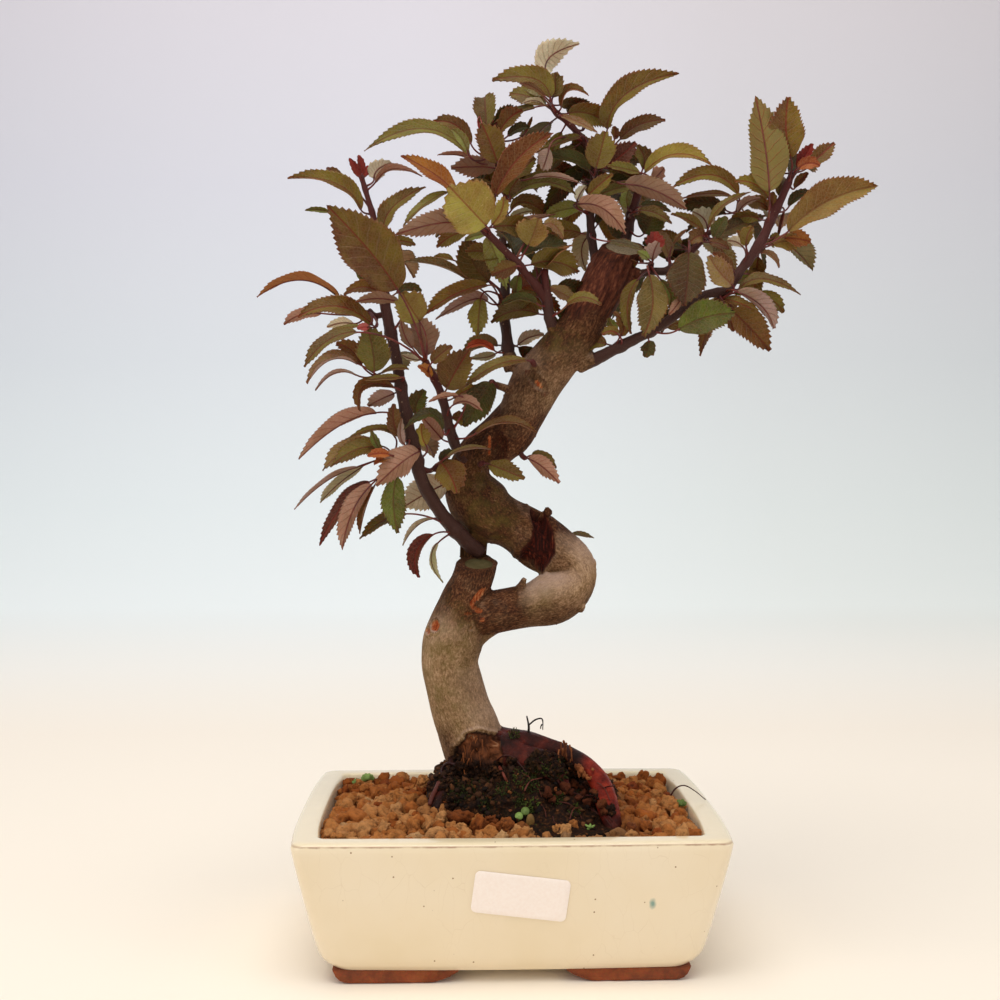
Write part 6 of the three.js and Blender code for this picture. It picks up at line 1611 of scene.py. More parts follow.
def wood():
    """Trunk, stump, loop, upper trunk and surface roots as one barked body."""
    runs = [curve_through(placed(rows), 2.0) for rows in TRUNK + ROOTS]
    collars = [placed([(*row[:3], row[3] * 1.12) for row in entry[2][0][:2]]) for entry in SHOOTS]
    knobs = [curve_through(placed(rows), 1.5) for rows in KNOBS]
    bodies = []
    for number, run in enumerate(runs):
        bodies.append(tube(run, 40 if number < len(TRUNK) else 24)[:2])
    for run in collars + knobs:
        bodies.append(tube(run, 12)[:2])
    points, faces = remeshed("wood_blank", bodies, WOOD_GRID)
    straight, run_of = straightened(points, runs)
    normals = corner_normals(points, faces)
    spots = flattened(points)
    x, z = spots[:, 0], spots[:, 1]
    towards = unit(EYE - points)
    facing = step_smoothly(0.0, 0.35, (normals * towards).sum(axis=1))
    lower, loop, upper = run_of == LOWER_RUN, run_of == LOOP_RUN, run_of == UPPER_RUN
    is_root = run_of >= len(TRUNK)

    def grain(size, seed, layers=1, drawn=1.0):
        """Bumps, as they are or drawn out along the wood."""
        return lumps(straight * [1, 1, drawn] if drawn < 1 else points, size, seed, layers)

    # zones of the bark: torn near the top, rotten and wet at the foot, the big wound
    torn = step_smoothly(262, 279, z + 5 * grain(6, 31)) * upper
    lip = inside_by(spots, ROTTEN_OUTLINE) + 0.6 * grain(2.4, 32, 2)
    base = step_smoothly(0.1, 0.7, lip) * facing
    foot = step_smoothly(88, 81, z + 2.5 * grain(6, 44)) * (1 - base)
    wet = np.clip(is_root * (1 - base) + foot * step_smoothly(-6, -2, x) + 0.4 * foot, 0, 1)
    wound_in = inside_by(spots, WOUND_OUTLINE) + 0.35 * grain(2.2, 33)
    open_wood = step_smoothly(-0.4, 0.5, wound_in) * facing
    sunk = -4.6 * step_smoothly(-0.3, 1.8, wound_in) * facing
    sunk += 0.9 * np.exp(-((wound_in + 1.6) / 1.1) ** 2) * facing
    sunk += 0.5 * open_wood * grain(1.6, 34, drawn=0.15)
    live = np.zeros(len(points))
    small = np.zeros(len(points))
    for wound_x, wound_z, half_width, half_height, cut, lean, fresh in SMALL_WOUNDS:
        right, over = x - wound_x, z - wound_z
        turn = math.radians(lean)
        ring = np.hypot((right * math.cos(turn) - over * math.sin(turn)) / half_width,
                        (right * math.sin(turn) + over * math.cos(turn)) / half_height)
        ring += 0.22 * grain(1.6, 35)
        sunk += (-cut * step_smoothly(1.0, 0.55, ring) + 0.5 * np.exp(-((ring - 1.25) / 0.3) ** 2)
                 ) * facing
        live = np.maximum(live, fresh * step_smoothly(1.15, 0.8, ring) * facing)
        small = np.maximum(small, step_smoothly(1.6, 1.1, ring) * facing)

    # relief of the bark, then the saw cuts
    push = 0.13 * grain(2.4, 36, 3, 0.22) + 0.3 * grain(13.0, 37)
    push += torn * (0.55 * grain(1.3, 38, 2, 0.08) + 0.25 * grain(2.0, 39))
    push += base * (0.5 * grain(1.5, 43) + 1.4 * grain(4.5, 40, 2) + 1.3 * grain(2.0, 45, 1, 0.3))
    push += (0.7 * np.exp(-((lip + 0.5) / 0.7) ** 2) - 1.9 * step_smoothly(0, 0.9, lip)) * facing
    push += wet * (0.8 * grain(6, 46, 2, 0.4))
    push += 0.35 * step_smoothly(0.78, 0.95, grain(1.8, 41)) * (1 - torn)
    points = points + normals * (push + sunk)[:, None]
    sawn, rim = sawn_off(points, lower, STUMP_CUT, 13)
    sawn_top, rim_top = sawn_off(points, upper, TOP_CUT, 20)
    collar = (step_smoothly(1.15, 0.85, np.hypot((x + 13) / 7.5, (z - 168) / 5)
                            + 0.1 * grain(3.0, 48)) * (1 - rim) * (1 - sawn) * lower)
    torn = np.maximum(torn, collar)
    green = np.zeros(len(points))
    for patch_x, patch_z, radius in ALGAE:
        green = np.maximum(green, np.exp(-(((x - patch_x) ** 2 + (z - patch_z) ** 2)
                                           / radius ** 2)))
    deep = np.clip(open_wood + 0.55 * (small > 0.4) * (1 - live), 0, 1)
    marks = np.stack([deep, np.clip(torn, 0, 1), wet], axis=1)
    zones = np.stack([green * (1 - torn), np.maximum(sawn, sawn_top), live], axis=1)

    # how pale the bark is: grey low on the trunk, brown higher up, with painted light: paler on the
    # trunk's left side and on the top of the loop where it faces the light
    trunk_pale = 0.78 * step_smoothly(146, 124, z + 8 * grain(14, 51)) + 0.08
    # painted light: the lower trunk paler where it faces left and darker where it faces right
    trunk_pale -= 0.3 * normals[:, 0] * step_smoothly(150, 130, z)
    # painted highlight: the top of the loop paler where its surface faces a light from above, the
    # front and the right
    loop_pale_painted_light = 0.1 + step_smoothly(2, 14, x) * step_smoothly(30, 10, z - 150) * (
        0.2 + 1.05 * np.clip(normals @ unit(np.array([0.45, -0.25, 0.85])), 0, 1))
    loop_pale_painted_light -= 0.1 * step_smoothly(180, 195, z)
    pale = np.where(lower | (run_of == FORK_RUN), trunk_pale, np.where(
        loop, loop_pale_painted_light, 0.05 + 0.26 * step_smoothly(222, 234, z)))
    pale -= 0.31 * step_smoothly(250, 266, z)
    pale += 0.36 * step_smoothly(270, 284, z)
    pale -= 0.7 * step_smoothly(98, 84, z) * step_smoothly(-20, -27, x)
    pale = np.where(sawn > 0.3, 0, np.where(sawn_top > 0.3, 1, pale - 0.3 * (rim + rim_top)))

    # how red the roots are, most of all where the arch comes down; how pale the rotten wood is
    arch, under_arch = run_of == len(TRUNK), run_of == len(TRUNK) + 1
    red = arch * (0.12 * step_smoothly(26, 16, x) + 0.86 * step_smoothly(32, 36, x)
                  * step_smoothly(42, 56, z) + 0.08)
    red += 0.1 * under_arch + 0.2 * grain(6.0, 49, 2)
    # the rotten wood's tone: darker low down, with painted shade in a dark band just inside the
    # ragged bark edge, where the rot sinks under the lip
    rot_tone_and_lip_shade = np.clip(0.3 + 0.3 * grain(5.0, 50, 2)
                       + 0.6 * np.exp(-((x + 17) / 2.6) ** 2 - ((z - 85) / 2) ** 2)
                       + 0.3 * step_smoothly(-12, -5, x) - 0.5 * step_smoothly(77, 70, z)
                       - 0.5 * np.exp(-((lip - 0.6) / 0.7) ** 2), 0, 1)
    shape = Shape(bark_place=np.zeros(3), bark_marks=np.zeros(3), bark_zones=np.zeros(3),
                  bark_shades=np.zeros(3), bark_tone=0.0)
    shape.add(points, faces, 0, bark_place=straight / 1000, bark_marks=marks, bark_zones=zones,
              bark_shades=np.stack([base, rot_tone_and_lip_shade, np.clip(red, 0, 1)], axis=1),
              bark_tone=pale)
    shape.build("barked_trunk", [bark_finish()], ["trunk"])
    return points, faces


def round_lump(subdivisions):
    """A ball of even triangles, the blank that granules and crumbs are chipped from."""
    ball = bmesh.new()
    bmesh.ops.create_icosphere(ball, subdivisions=subdivisions, radius=1)
    points = np.array([vertex.co[:] for vertex in ball.verts])
    faces = np.array([[vertex.index for vertex in face.verts] for face in ball.faces])
    ball.free()
    return points, faces


def chipped(blank, radius, chips, seed, draw, rough=0.13):
    """One rough lump: a ball with flats knocked off it, swollen and squashed."""
    points = blank.copy()
    for _ in range(chips):
        normal = unit(draw.normal(size=3))
        flat = draw.uniform(0.55, 0.92)
        over = np.maximum(points @ normal - flat, 0)
        points -= np.outer(over * 0.9, normal)
    points *= (1 + rough * lumps(blank * 3 + seed * 7.3, 2.2, seed, 3))[:, None]
    points *= (1 + 0.5 * rough * lumps(blank * 3 + seed * 3.1, 0.7, seed + 9))[:, None]
    points *= draw.uniform(0.78, 1.2, size=3)
    return (points @ random_turn(draw).T) * radius


def soil_height(x, y):
    """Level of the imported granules, a little higher round the trunk."""
    away = np.hypot((x + 4) / 62, (y - 6) / 46)
    return SOIL_LEVEL + SOIL_MOUND * np.maximum(0, 1 - away * away)


def mound_gap(x, y):
    """Distance from a point of the soil to the humus, negative inside it."""
    heap = (np.hypot((x - 7) / 43.5, (y + 3) / 28) - 1) * 33
    spread = (np.hypot((x - 28) / 25, (y + 35) / 16) - 1) * 17
    return np.minimum(heap, spread)


def on_soil(x, z, lift):
    """Where the line of sight through x, z first comes down to a height over the soil."""
    for y in np.arange(-54.0, 50.0, 0.5):
        spot = seen(x, z, y)
        if spot[2] <= soil_height(spot[0], y) + lift:
            return spot
    return seen(x, z, 0)


# Granules set one by one in front of the mound: x, z as seen, radius, tone, moisture
FRONT_GRANULES = [
    (-28.4, 53.5, 3.2, 0.35, 0.25), (-29.5, 48, 3.8, 0.85, 0), (-34.6, 61.5, 3, 0.6, 0.1),
    (-33.6, 56.8, 3.4, 0.45, 0.1), (-37.5, 65.5, 2.8, 0.7, 0), (-24.8, 52.6, 2.4, 0.2, 0.5),
    (-21.4, 48.4, 4.2, 0.25, 0.45),
    (-12.3, 45.3, 4.4, 0.3, 0.35), (-20.7, 44, 3.6, 0.8, 0), (-9.9, 51, 2.4, 0.2, 0.5),
    (-7.5, 47.5, 2.6, 0.25, 0.5), (-5.3, 44.4, 2.8, 0.3, 0.3), (-0.4, 44.9, 3.2, 0.35, 0.35),
    (4, 42.7, 3, 0.85, 0), (8.9, 41.8, 2.8, 0.8, 0), (25.6, 42, 3.4, 0.85, 0),
    (28.7, 44, 3.2, 0.5, 0.2), (22.1, 42.7, 2.6, 0.7, 0)]


def soil():
    """Loose granules over a packed bed that fills the pot."""
    bed = Shape(lump_tone=np.zeros(3))
    rings = [bowed_ring(*row, -0.4) for row in POT_INSIDE[::-1] if row[3] < 50]
    rings[0][:, 2] = SOIL_BOTTOM
    brim = bowed_ring(76.8, 53.9, 4, SOIL_LEVEL - 3, -0.4)
    rings.append(brim)
    for share in np.linspace(0.97, 0.03, 24):
        ring = brim * [share, share, 1]
        ring[:, 2] = soil_height(ring[:, 0], ring[:, 1]) - 2.6 + 1.4 * lumps(ring, 5.0, 51)
        rings.append(ring)
    points, faces = lofted(rings)
    bed.add(points, faces, 0, lump_tone=[0.1, 0.6, 0])
    top = Shape(lump_tone=np.zeros(3))
    draw = np.random.default_rng(7)
    coarse, fine = round_lump(3), round_lump(4)
    taken = []

    def set_lump(shape, blank, x, y, z, radius, tone, moist):
        lump = chipped(blank[0], radius, 5, len(taken) * 3 + int(radius * 100), draw, 0.36)
        shape.add(lump + [x, y, z], blank[1], 0, lump_tone=[tone, moist, 0])

    for x, z, radius, tone, moist in FRONT_GRANULES:
        spot = on_soil(x, z, 0.8)
        taken.append((spot[0], spot[1], radius))
        set_lump(top, fine, *spot, radius, tone, moist)

    def strew(shape, blank, tries, sizes, lifts, room):
        """Drops granules at drawn places, where the wall, the mound and the others leave room."""
        wall_x, wall_y = 77.5, 54.2
        for _ in range(tries):
            x, y = draw.uniform(-77, 77), draw.uniform(-54, 54)
            radius, lift = draw.uniform(*sizes), draw.uniform(*lifts)
            if abs(x) > wall_x - radius * 0.75 or abs(y) > wall_y - radius * 0.75:
                continue
            gap = float(mound_gap(x, y))
            if gap < -2.5 or any(math.hypot(x - a, y - b) < (radius + c) * room
                                 for a, b, c in taken):
                continue
            taken.append((x, y, radius))
            moist = float(np.clip(0.7 - gap / 10, 0, 0.65)) * draw.uniform(0.3, 1)
            tone = float(np.clip(draw.normal(0.52 - 0.12 * (x > 45) - 0.003 * y, 0.2), 0, 1))
            set_lump(shape, blank, x, y, soil_height(x, y) + lift, radius, tone, moist)

    # half sunk ones close together, then loose ones on top of them
    strew(bed, coarse, 6000, (2.9, 4.9), (-1.8, 0.5), 0.66)
    taken[len(FRONT_GRANULES):] = []
    strew(top, coarse, 600, (2.0, 3.8), (1.4, 2.6), 1.1)
    clay = granule_finish()
    bed.build("clay_granules", [clay], ["soil"])
    top.build("clay_granules_on_top", [clay], ["soil"])


def mound_point(angle, share):
    """A point of the mound's skin at an angle, its share of height from foot to top."""
    rows = np.array(MOUND_RINGS, float)
    at = share * (len(rows) - 1)
    x, y, length, depth, z = (np.interp(at, np.arange(len(rows)), rows[:, i]) for i in range(5))
    return np.stack([x + length * np.cos(angle), y + depth * np.sin(angle), z], axis=-1)


# Clay granules caught on the mound and the arching root: x, z as seen, radius, tone, moisture
CAUGHT_GRANULES = [
    (17.6, 60.3, 2.6, 0.1, 0.6), (19.9, 57, 1.7, 0.1, 0.6), (25.4, 62.6, 2.6, 0.1, 0.55),
    (29.5, 63.2, 2.4, 0.15, 0.5), (33.1, 61.3, 2.0, 0.1, 0.6), (35.4, 63.2, 1.8, 0.2, 0.5),
    (33.8, 59, 2.1, 0.15, 0.6), (35.6, 56, 2.0, 0.1, 0.55), (31.2, 57.4, 1.5, 0.1, 0.6),
    (42.5, 54.6, 2.5, 0.2, 0.45), (43.4, 51, 2.2, 0.2, 0.5), (27.6, 60, 1.6, 0.1, 0.6),
    (22.4, 59.6, 1.4, 0.15, 0.6), (38.6, 60.4, 1.6, 0.2, 0.5), (-27.4, 56.6, 1.1, 0.3, 0.3),
    (-7.6, 58.4, 0.9, 0.4, 0.4), (0.8, 60.4, 0.8, 0.5, 0.3), (-14.4, 63, 0.7, 0.5, 0.3)]
# Bits of torn orange bark on the mound, and splinters of it standing against the root
TORN_BARK = [
    (27.5, 71, 2.2), (29.5, 70.2, 2.4), (31.5, 71.5, 2.0), (32.8, 69.6, 2.6), (34.8, 68.2, 2.4),
    (36.2, 66.6, 2.0), (33.6, 66.4, 1.8), (38, 70.3, 1.2), (30.6, 68.2, 1.8), (28.4, 68.6, 1.6),
    (-15.8, 84.4, 1.2), (-14.2, 85.2, 0.9), (16.6, 59, 1.6), (20.8, 61.6, 1.4), (25.2, 60.4, 1.5)]
SPLINTERS = [
    (23.4, 82, 24.3, 74.6, 0.5), (24.8, 83, 25.2, 75.8, 0.6), (26, 82, 26.4, 74.4, 0.5),
    (24.4, 79.5, 24.8, 72.8, 0.45), (27.2, 80.5, 27.8, 73.4, 0.45), (22.8, 79, 23.2, 73, 0.4),
    (28.2, 79, 28.6, 74, 0.4), (25.6, 78.5, 25.8, 72.5, 0.45), (-19, 78, -17.8, 69, 0.45),
    (-20.4, 75, -18.8, 67, 0.4), (-17.2, 84.5, -17.5, 78.5, 0.35), (-14, 85, -13.5, 79, 0.35),
    (-11.5, 84, -11, 77, 0.4), (-9.5, 82, -8.8, 75.6, 0.4), (-15.4, 80, -15.8, 74, 0.35),
    (-12.5, 79, -12, 72, 0.35), (-19.4, 82, -18.9, 76, 0.35), (-17, 76, -17.3, 70.5, 0.3)]
# Patches of loose dark humus on the roots: x, z as seen, radius
HUMUS_PATCHES = [(14, 75, 4), (18.5, 74.6, 4.2), (23, 72.5, 4), (27.4, 70.8, 3), (13, 70, 3.6),
                 (20, 69, 3.4), (10, 72, 3), (-24, 70, 3.6), (-28, 64, 3.6), (-22, 65, 3.4),
                 (-25, 57, 3.4), (30.5, 67, 2.6), (38, 57, 2.4), (45, 52, 2.2), (2, 73.5, 2.2),
                 (-18, 69, 3.4), (-11, 69, 3.4), (-5, 71, 3),
                 (-20, 73.5, 2), (-14, 72.4, 1.6), (-22.5, 76, 1.6)]
# Fine roots that lie on what they cross: radius, tone, then x and z as seen
ROOTLETS = [
    (0.42, 0.15, [(8.9, 76.7), (14.2, 74), (17.7, 70.9), (21.2, 66.9), (24.3, 62.5), (28.3, 59.9),
                  (34, 58.6), (39.3, 59), (43.3, 62.1), (47, 63)]),
    (0.3, 0.2, [(35.3, 55), (39.3, 51.1), (43.7, 48), (46.4, 44.4)]),
    (0.26, 0.6, [(33.1, 57.7), (36.2, 62.5), (39.8, 64.3), (43.3, 61.2), (45.4, 56.4)]),
    (0.3, 0.3, [(36, 53), (40.5, 50), (44.8, 49.5), (46.5, 47)]),
    (0.4, 0.1, [(-4.8, 74.5), (-1.7, 76.7), (1.8, 76.2), (5.3, 73.1), (8.4, 68.7)]),
    (0.75, 0.95, [(-3.5, 71.5), (-1.9, 68.6), (-0.4, 65.4)]),
    (1.3, 0.5, [(-29.4, 64.5), (-30.6, 62), (-32.6, 58.2), (-33.9, 54.6)]),
    (0.7, 0.0, [(-23, 73), (-26, 73.4), (-28.4, 71.6), (-29.2, 69), (-27.6, 66.6)]),
    (0.22, 0.7, [(6, 69), (10, 66.5), (13.5, 62), (15, 58)]),
    (0.22, 0.5, [(12, 58), (16, 53), (17, 49)]),
    (0.25, 0.4, [(22, 56), (27, 55), (31, 52), (33, 48)])]
# The rootlet that loops over the right rim, in true x, y, z
RIM_ROOTLET = [(72, 4, 55), (75, 3, 60.6), (79, 2, 62.4), (83.4, 0, 60.4), (87.6, -3, 57.2)]


def landing(surface, x, z, y=-30.0):
    """Where the line of sight through x, z meets the growth, and which way is out there."""
    aim = unit(np.array([x, 0.0, z]) - EYE)
    spot, normal, _, _ = surface.ray_cast(Vector(EYE), Vector(aim))
    if spot is None:
        return (None, None) if y is None else (seen(x, z, y), -aim)
    normal = np.array(normal)
    return np.array(spot), normal if normal @ aim < 0 else -normal


# The mound's finishes, and the point its skin looks away from
HUMUS, CRUMBS, TORN, FINE_ROOTS, CLAY = range(5)
MOUND_HEART = [3, -3, 46]


def spots_round(surface, draw, x, z, radius, count):
    """Drawn places on the growth inside a circle as seen, and which way is out there."""
    for _ in range(count):
        turn, far = draw.uniform(0, 2 * math.pi), radius * math.sqrt(draw.random())
        spot, way = landing(surface, x + far * math.cos(turn), z + far * math.sin(turn), None)
        if spot is not None:
            yield spot, way


def mound(wood_skin):
    """Humus and root felt round the foot of the trunk, with bark bits, clay and fine roots."""
    sides, levels = 260, 84
    angle = 2 * np.pi * np.arange(sides) / sides
    share = np.linspace(0, 1, levels) ** 0.9
    grid = mound_point(np.tile(angle, levels), np.repeat(share, sides))
    level_of = np.repeat(share, sides)
    x, y = grid[:, 0], grid[:, 1]
    # the front skirt spreads over the soil, almost to the rim
    skirt = (step_smoothly(1, 10, x) * step_smoothly(53, 44, x) * step_smoothly(-8, -20, y)
             * step_smoothly(0.42, 0.2, level_of))
    grid[:, 1] -= 17 * skirt * step_smoothly(0.5, 0.1, level_of)
    over_soil = soil_height(grid[:, 0], grid[:, 1]) + 0.8
    low = (level_of > 0.12) * skirt
    grid[:, 2] += low * np.maximum(over_soil - grid[:, 2], 0)
    # it is worn down before the trunk's foot and hollow under the arch
    grid[:, 2] -= 7.5 * (np.exp(-((x + 13) / 10) ** 2) * step_smoothly(-4, -13, y)
                         * step_smoothly(0.35, 0.8, level_of))
    grid[:, 2] -= 6 * np.exp(-((x - 29) / 7) ** 2 - ((y + 11) / 8) ** 2) * step_smoothly(
        0.3, 0.6, level_of)
    out = unit((grid - [3, -3, 52]) * [1, 1.4, 1.2])
    seen_at = flattened(grid)
    over_root = np.exp(-((seen_at[:, 0] + 26) / 7) ** 2 - ((seen_at[:, 1] - 62) / 8) ** 2)
    grid += out * (3.5 * over_root * (y < 0))[:, None]
    grid += out * (2.2 * lumps(grid, 9.0, 61) + 1.5 * lumps(grid, 4.2, 62)
                   + 0.9 * lumps(grid, 1.9, 63, 2))[:, None]
    rings = grid.reshape(levels, sides, 3)
    points, faces = lofted(list(rings))
    shape = Shape(lump_tone=np.zeros(3))
    shape.add(points, faces, 0)
    polygons = [tuple(face) for block in faces for face in block.tolist()]
    wood_points, wood_faces = wood_skin
    polygons += [tuple(corner + len(points) for corner in face)
                 for block in wood_faces for face in block.tolist()]
    surface = BVHTree.FromPolygons(np.vstack([points, wood_points]).tolist(), polygons)
    draw = np.random.default_rng(21)
    small, small_faces = round_lump(2)
    fine, fine_faces = round_lump(3)

    # crumbs, pale flecks, flakes of bark, clay and humus, then threads of root
    def skin_spot(low=0.18, high=1.0):
        """A drawn place on the mound between two shares of its height, and which way is out."""
        level = int(draw.uniform(low, high) * (levels - 2))
        side = int(draw.integers(sides))
        return rings[level, side], unit(rings[level, side] - MOUND_HEART)

    for number in range(720):
        spot, way = skin_spot()
        radius = draw.uniform(0.45, 1.35) ** 1.6
        tone = float(np.clip(draw.normal(0.22, 0.22), 0, 1))
        crumb = chipped(small, radius, 7, number, draw, 0.5)
        shape.add(spot + way * radius * 0.2 + crumb, small_faces, CRUMBS, lump_tone=[tone, 0, 0])
    for number in range(70):
        spot, way = skin_spot(0.1, 0.9)
        size = draw.uniform(0.25, 0.55)
        shape.add(spot + way * 0.4 + chipped(small, size, 4, number, draw), small_faces, CRUMBS,
                  lump_tone=[draw.uniform(1.0, 2.0), 0, 0])

    def flake(spot, size, tone, number):
        bit = chipped(fine, 1.0, 6, number + 40, draw, 0.25) * [size * 0.75, size * 0.5, size * 0.3]
        shape.add(spot + bit @ random_turn(draw).T, fine_faces, TORN, lump_tone=[tone, 0, 0])

    for number in range(26):
        spot, way = skin_spot(0.1, 0.75)
        if spot[0] > -5 or draw.random() < 0.3:
            flake(spot + way * 0.3, draw.uniform(0.9, 2.0), draw.uniform(0, 0.6), number)
    for number, (x, z, size) in enumerate(TORN_BARK):
        spot, way = landing(surface, x, z)
        for part in range(3):
            flake(spot + way * 0.3 * size + draw.normal(size=3) * size * 0.3, size,
                  draw.uniform(0.3, 1), number * 3 + part + 100)
    for number, (x, z, radius, tone, moist) in enumerate(CAUGHT_GRANULES):
        spot, way = landing(surface, x, z)
        shape.add(spot + way * radius * 0.3 + chipped(fine, radius, 5, number + 60, draw, 0.42),
                  fine_faces, CLAY, lump_tone=[tone, moist + 0.28, 0])
    for x, z, radius in HUMUS_PATCHES:
        for number in range(int(9 * radius)):
            for spot, way in spots_round(surface, draw, x, z, radius, 1):
                size = draw.uniform(0.5, 1.3)
                shape.add(spot + way * size * 0.3 + chipped(small, size, 7, number, draw, 0.5),
                          small_faces, HUMUS)

    def thread(line, radius, tone, number, finish_at=FINE_ROOTS, sides=8, end=0.5):
        rows = np.column_stack([line, np.linspace(radius, radius * end, len(line))])
        root, root_faces, _ = tube(curve_through(rows, 0.8), sides, 0.12, number)
        shape.add(root, root_faces, finish_at, lump_tone=[tone, 0, 0])

    for number in range(30):
        spot, way = skin_spot(0.2, 0.95)
        side = unit(np.cross(way, draw.normal(size=3)))
        length = draw.uniform(5, 16)
        line = []
        for along in np.linspace(-0.5, 0.5, 9):
            bend = 1.6 * math.sin(along * draw.uniform(5, 7) + number)
            line.append(spot + side * along * length + np.cross(side, way) * bend
                        + way * (1.0 - 7 * along * along))
        thread(np.array(line), draw.uniform(0.12, 0.34), draw.uniform(0, 0.7), number)
    for number, (radius, tone, rows) in enumerate(ROOTLETS):
        landed = [landing(surface, x, z) for x, z in rows]
        line = np.array([spot + way * radius * 0.7 for spot, way in landed])
        thread(line, radius, tone, number + 50, end=0.7)
    for number, (x, z, end_x, end_z, radius) in enumerate(SPLINTERS):
        start, way = landing(surface, x, z)
        end, end_way = landing(surface, end_x, end_z)
        bow = np.array([0.9 * math.sin(number * 2.1), 0, 0.4])
        line = np.array([start + way * 1.0, (start + end) / 2 + (way + end_way) * 0.4 + bow,
                         end + end_way * 0.2])
        thread(line, radius, draw.uniform(0.1, 0.8), number + 80, TORN, 6, 0.7)
    thread(np.array(RIM_ROOTLET, float), 0.4, 0.2, 99)
    finishes = [humus_finish(), toned_finish("humus_crumbs"), toned_finish("torn_orange_bark"),
                toned_finish("fine_roots"), granule_finish()]
    shape.build("humus_mound", finishes, ["root_mound"])
    moss(rings, levels, surface)
    seedlings(surface)


# Moss cushions: x, z as seen, radius, how green
MOSS_CUSHIONS = [
    (10.9, 54.2, 3.4, 0.75), (17.2, 71, 3.0, 0.8), (7.8, 67, 5.5, 0.35), (11, 63, 3.5, 0.3),
    (29.6, 52, 3.0, 0.6), (5.5, 56.5, 3.0, 0.3), (3, 86, 2.5, 0.4), (-2, 62, 3.0, 0.3),
    (22, 57, 3.0, 0.4), (-22, 60, 4.0, 0.15), (-10, 55, 3.0, 0.2), (16, 72, 3.4, 0.2),
    (20, 70, 3.2, 0.15), (24, 68, 2.6, 0.2), (13, 69, 3.4, 0.3), (24, 74, 2.4, 0.1)]


def moss(rings, levels, surface):
    """Moss in cushions: short pointed shoots, thicker where the mound stays damp."""
    shape = Shape(lump_tone=np.zeros(3))
    draw = np.random.default_rng(33)

    def shoot(spot, way, length, tone):
        way = unit(way + draw.normal(size=3) * 0.45)
        across = unit(np.cross(way, draw.normal(size=3)))
        other = np.cross(way, across)
        width = draw.uniform(0.14, 0.26)
        turns = np.arange(3) * 2 * math.pi / 3
        circle = [math.cos(t) * across + math.sin(t) * other for t in turns]
        bent = spot + way * length * 0.6 + across * length * 0.12
        tip = spot + way * length + across * length * 0.4
        points = np.array([spot + width * c for c in circle] + [bent + 0.8 * width * c
                                                                for c in circle] + [tip])
        shape.add(points, [np.array([(0, 1, 4, 3), (1, 2, 5, 4), (2, 0, 3, 5)]),
                           np.array([(3, 4, 6), (4, 5, 6), (5, 3, 6), (0, 2, 1)])],
                  0, lump_tone=[tone, 0, 0])

    # dampest at the back, driest on the left
    spots = rings[10:levels - 2].reshape(-1, 3)
    damp = lumps(spots, 8.0, 64) + 0.25 * lumps(spots, 3.0, 65)
    damp += 0.5 * (spots[:, 1] > 4) - 0.4 * (spots[:, 0] < -25) - 0.25
    chosen = np.flatnonzero(damp > 0.05)
    for at in draw.choice(chosen, 3000):
        spot = spots[at] + draw.normal(size=3) * 0.35
        shoot(spot, unit(spots[at] - MOUND_HEART),
              draw.uniform(0.7, 1.6) * (0.6 + min(0.9, float(damp[at]))),
              float(np.clip(draw.normal(0.15, 0.15), 0, 1)))
    for x, z, radius, tone in MOSS_CUSHIONS:
        for spot, way in spots_round(surface, draw, x, z, radius, int(26 * radius)):
            shoot(spot, way, draw.uniform(0.8, 1.9), float(np.clip(draw.normal(tone, 0.2), 0, 1)))
    shape.build("moss_shoots", [toned_finish("leafy_moss")], ["root_mound"],
                smooth=False)


# Small green weeds in the pot's left and right corners: x, z as seen, leaves, their size, tone
WEEDS = [(-62, 66.4, 6, 1.7, 1.0), (-66.8, 65, 4, 1.2, 0.7), (77, 54, 4, 1.5, 0.4)]
# A dead twig behind the arch: its radius at both ends, then x and z as seen
DEAD_TWIG = [(0.6, 0.35, [(8.6, 84), (9.3, 88.5), (9.1, 91), (8.4, 94.3)]),
             (0.4, 0.22, [(9.3, 90.3), (12, 92.5), (14.6, 93.2), (15.5, 92.1), (15.5, 88.1)]),
             (0.3, 0.2, [(15.2, 90.6), (14.7, 89.8), (14.5, 88.6)])]


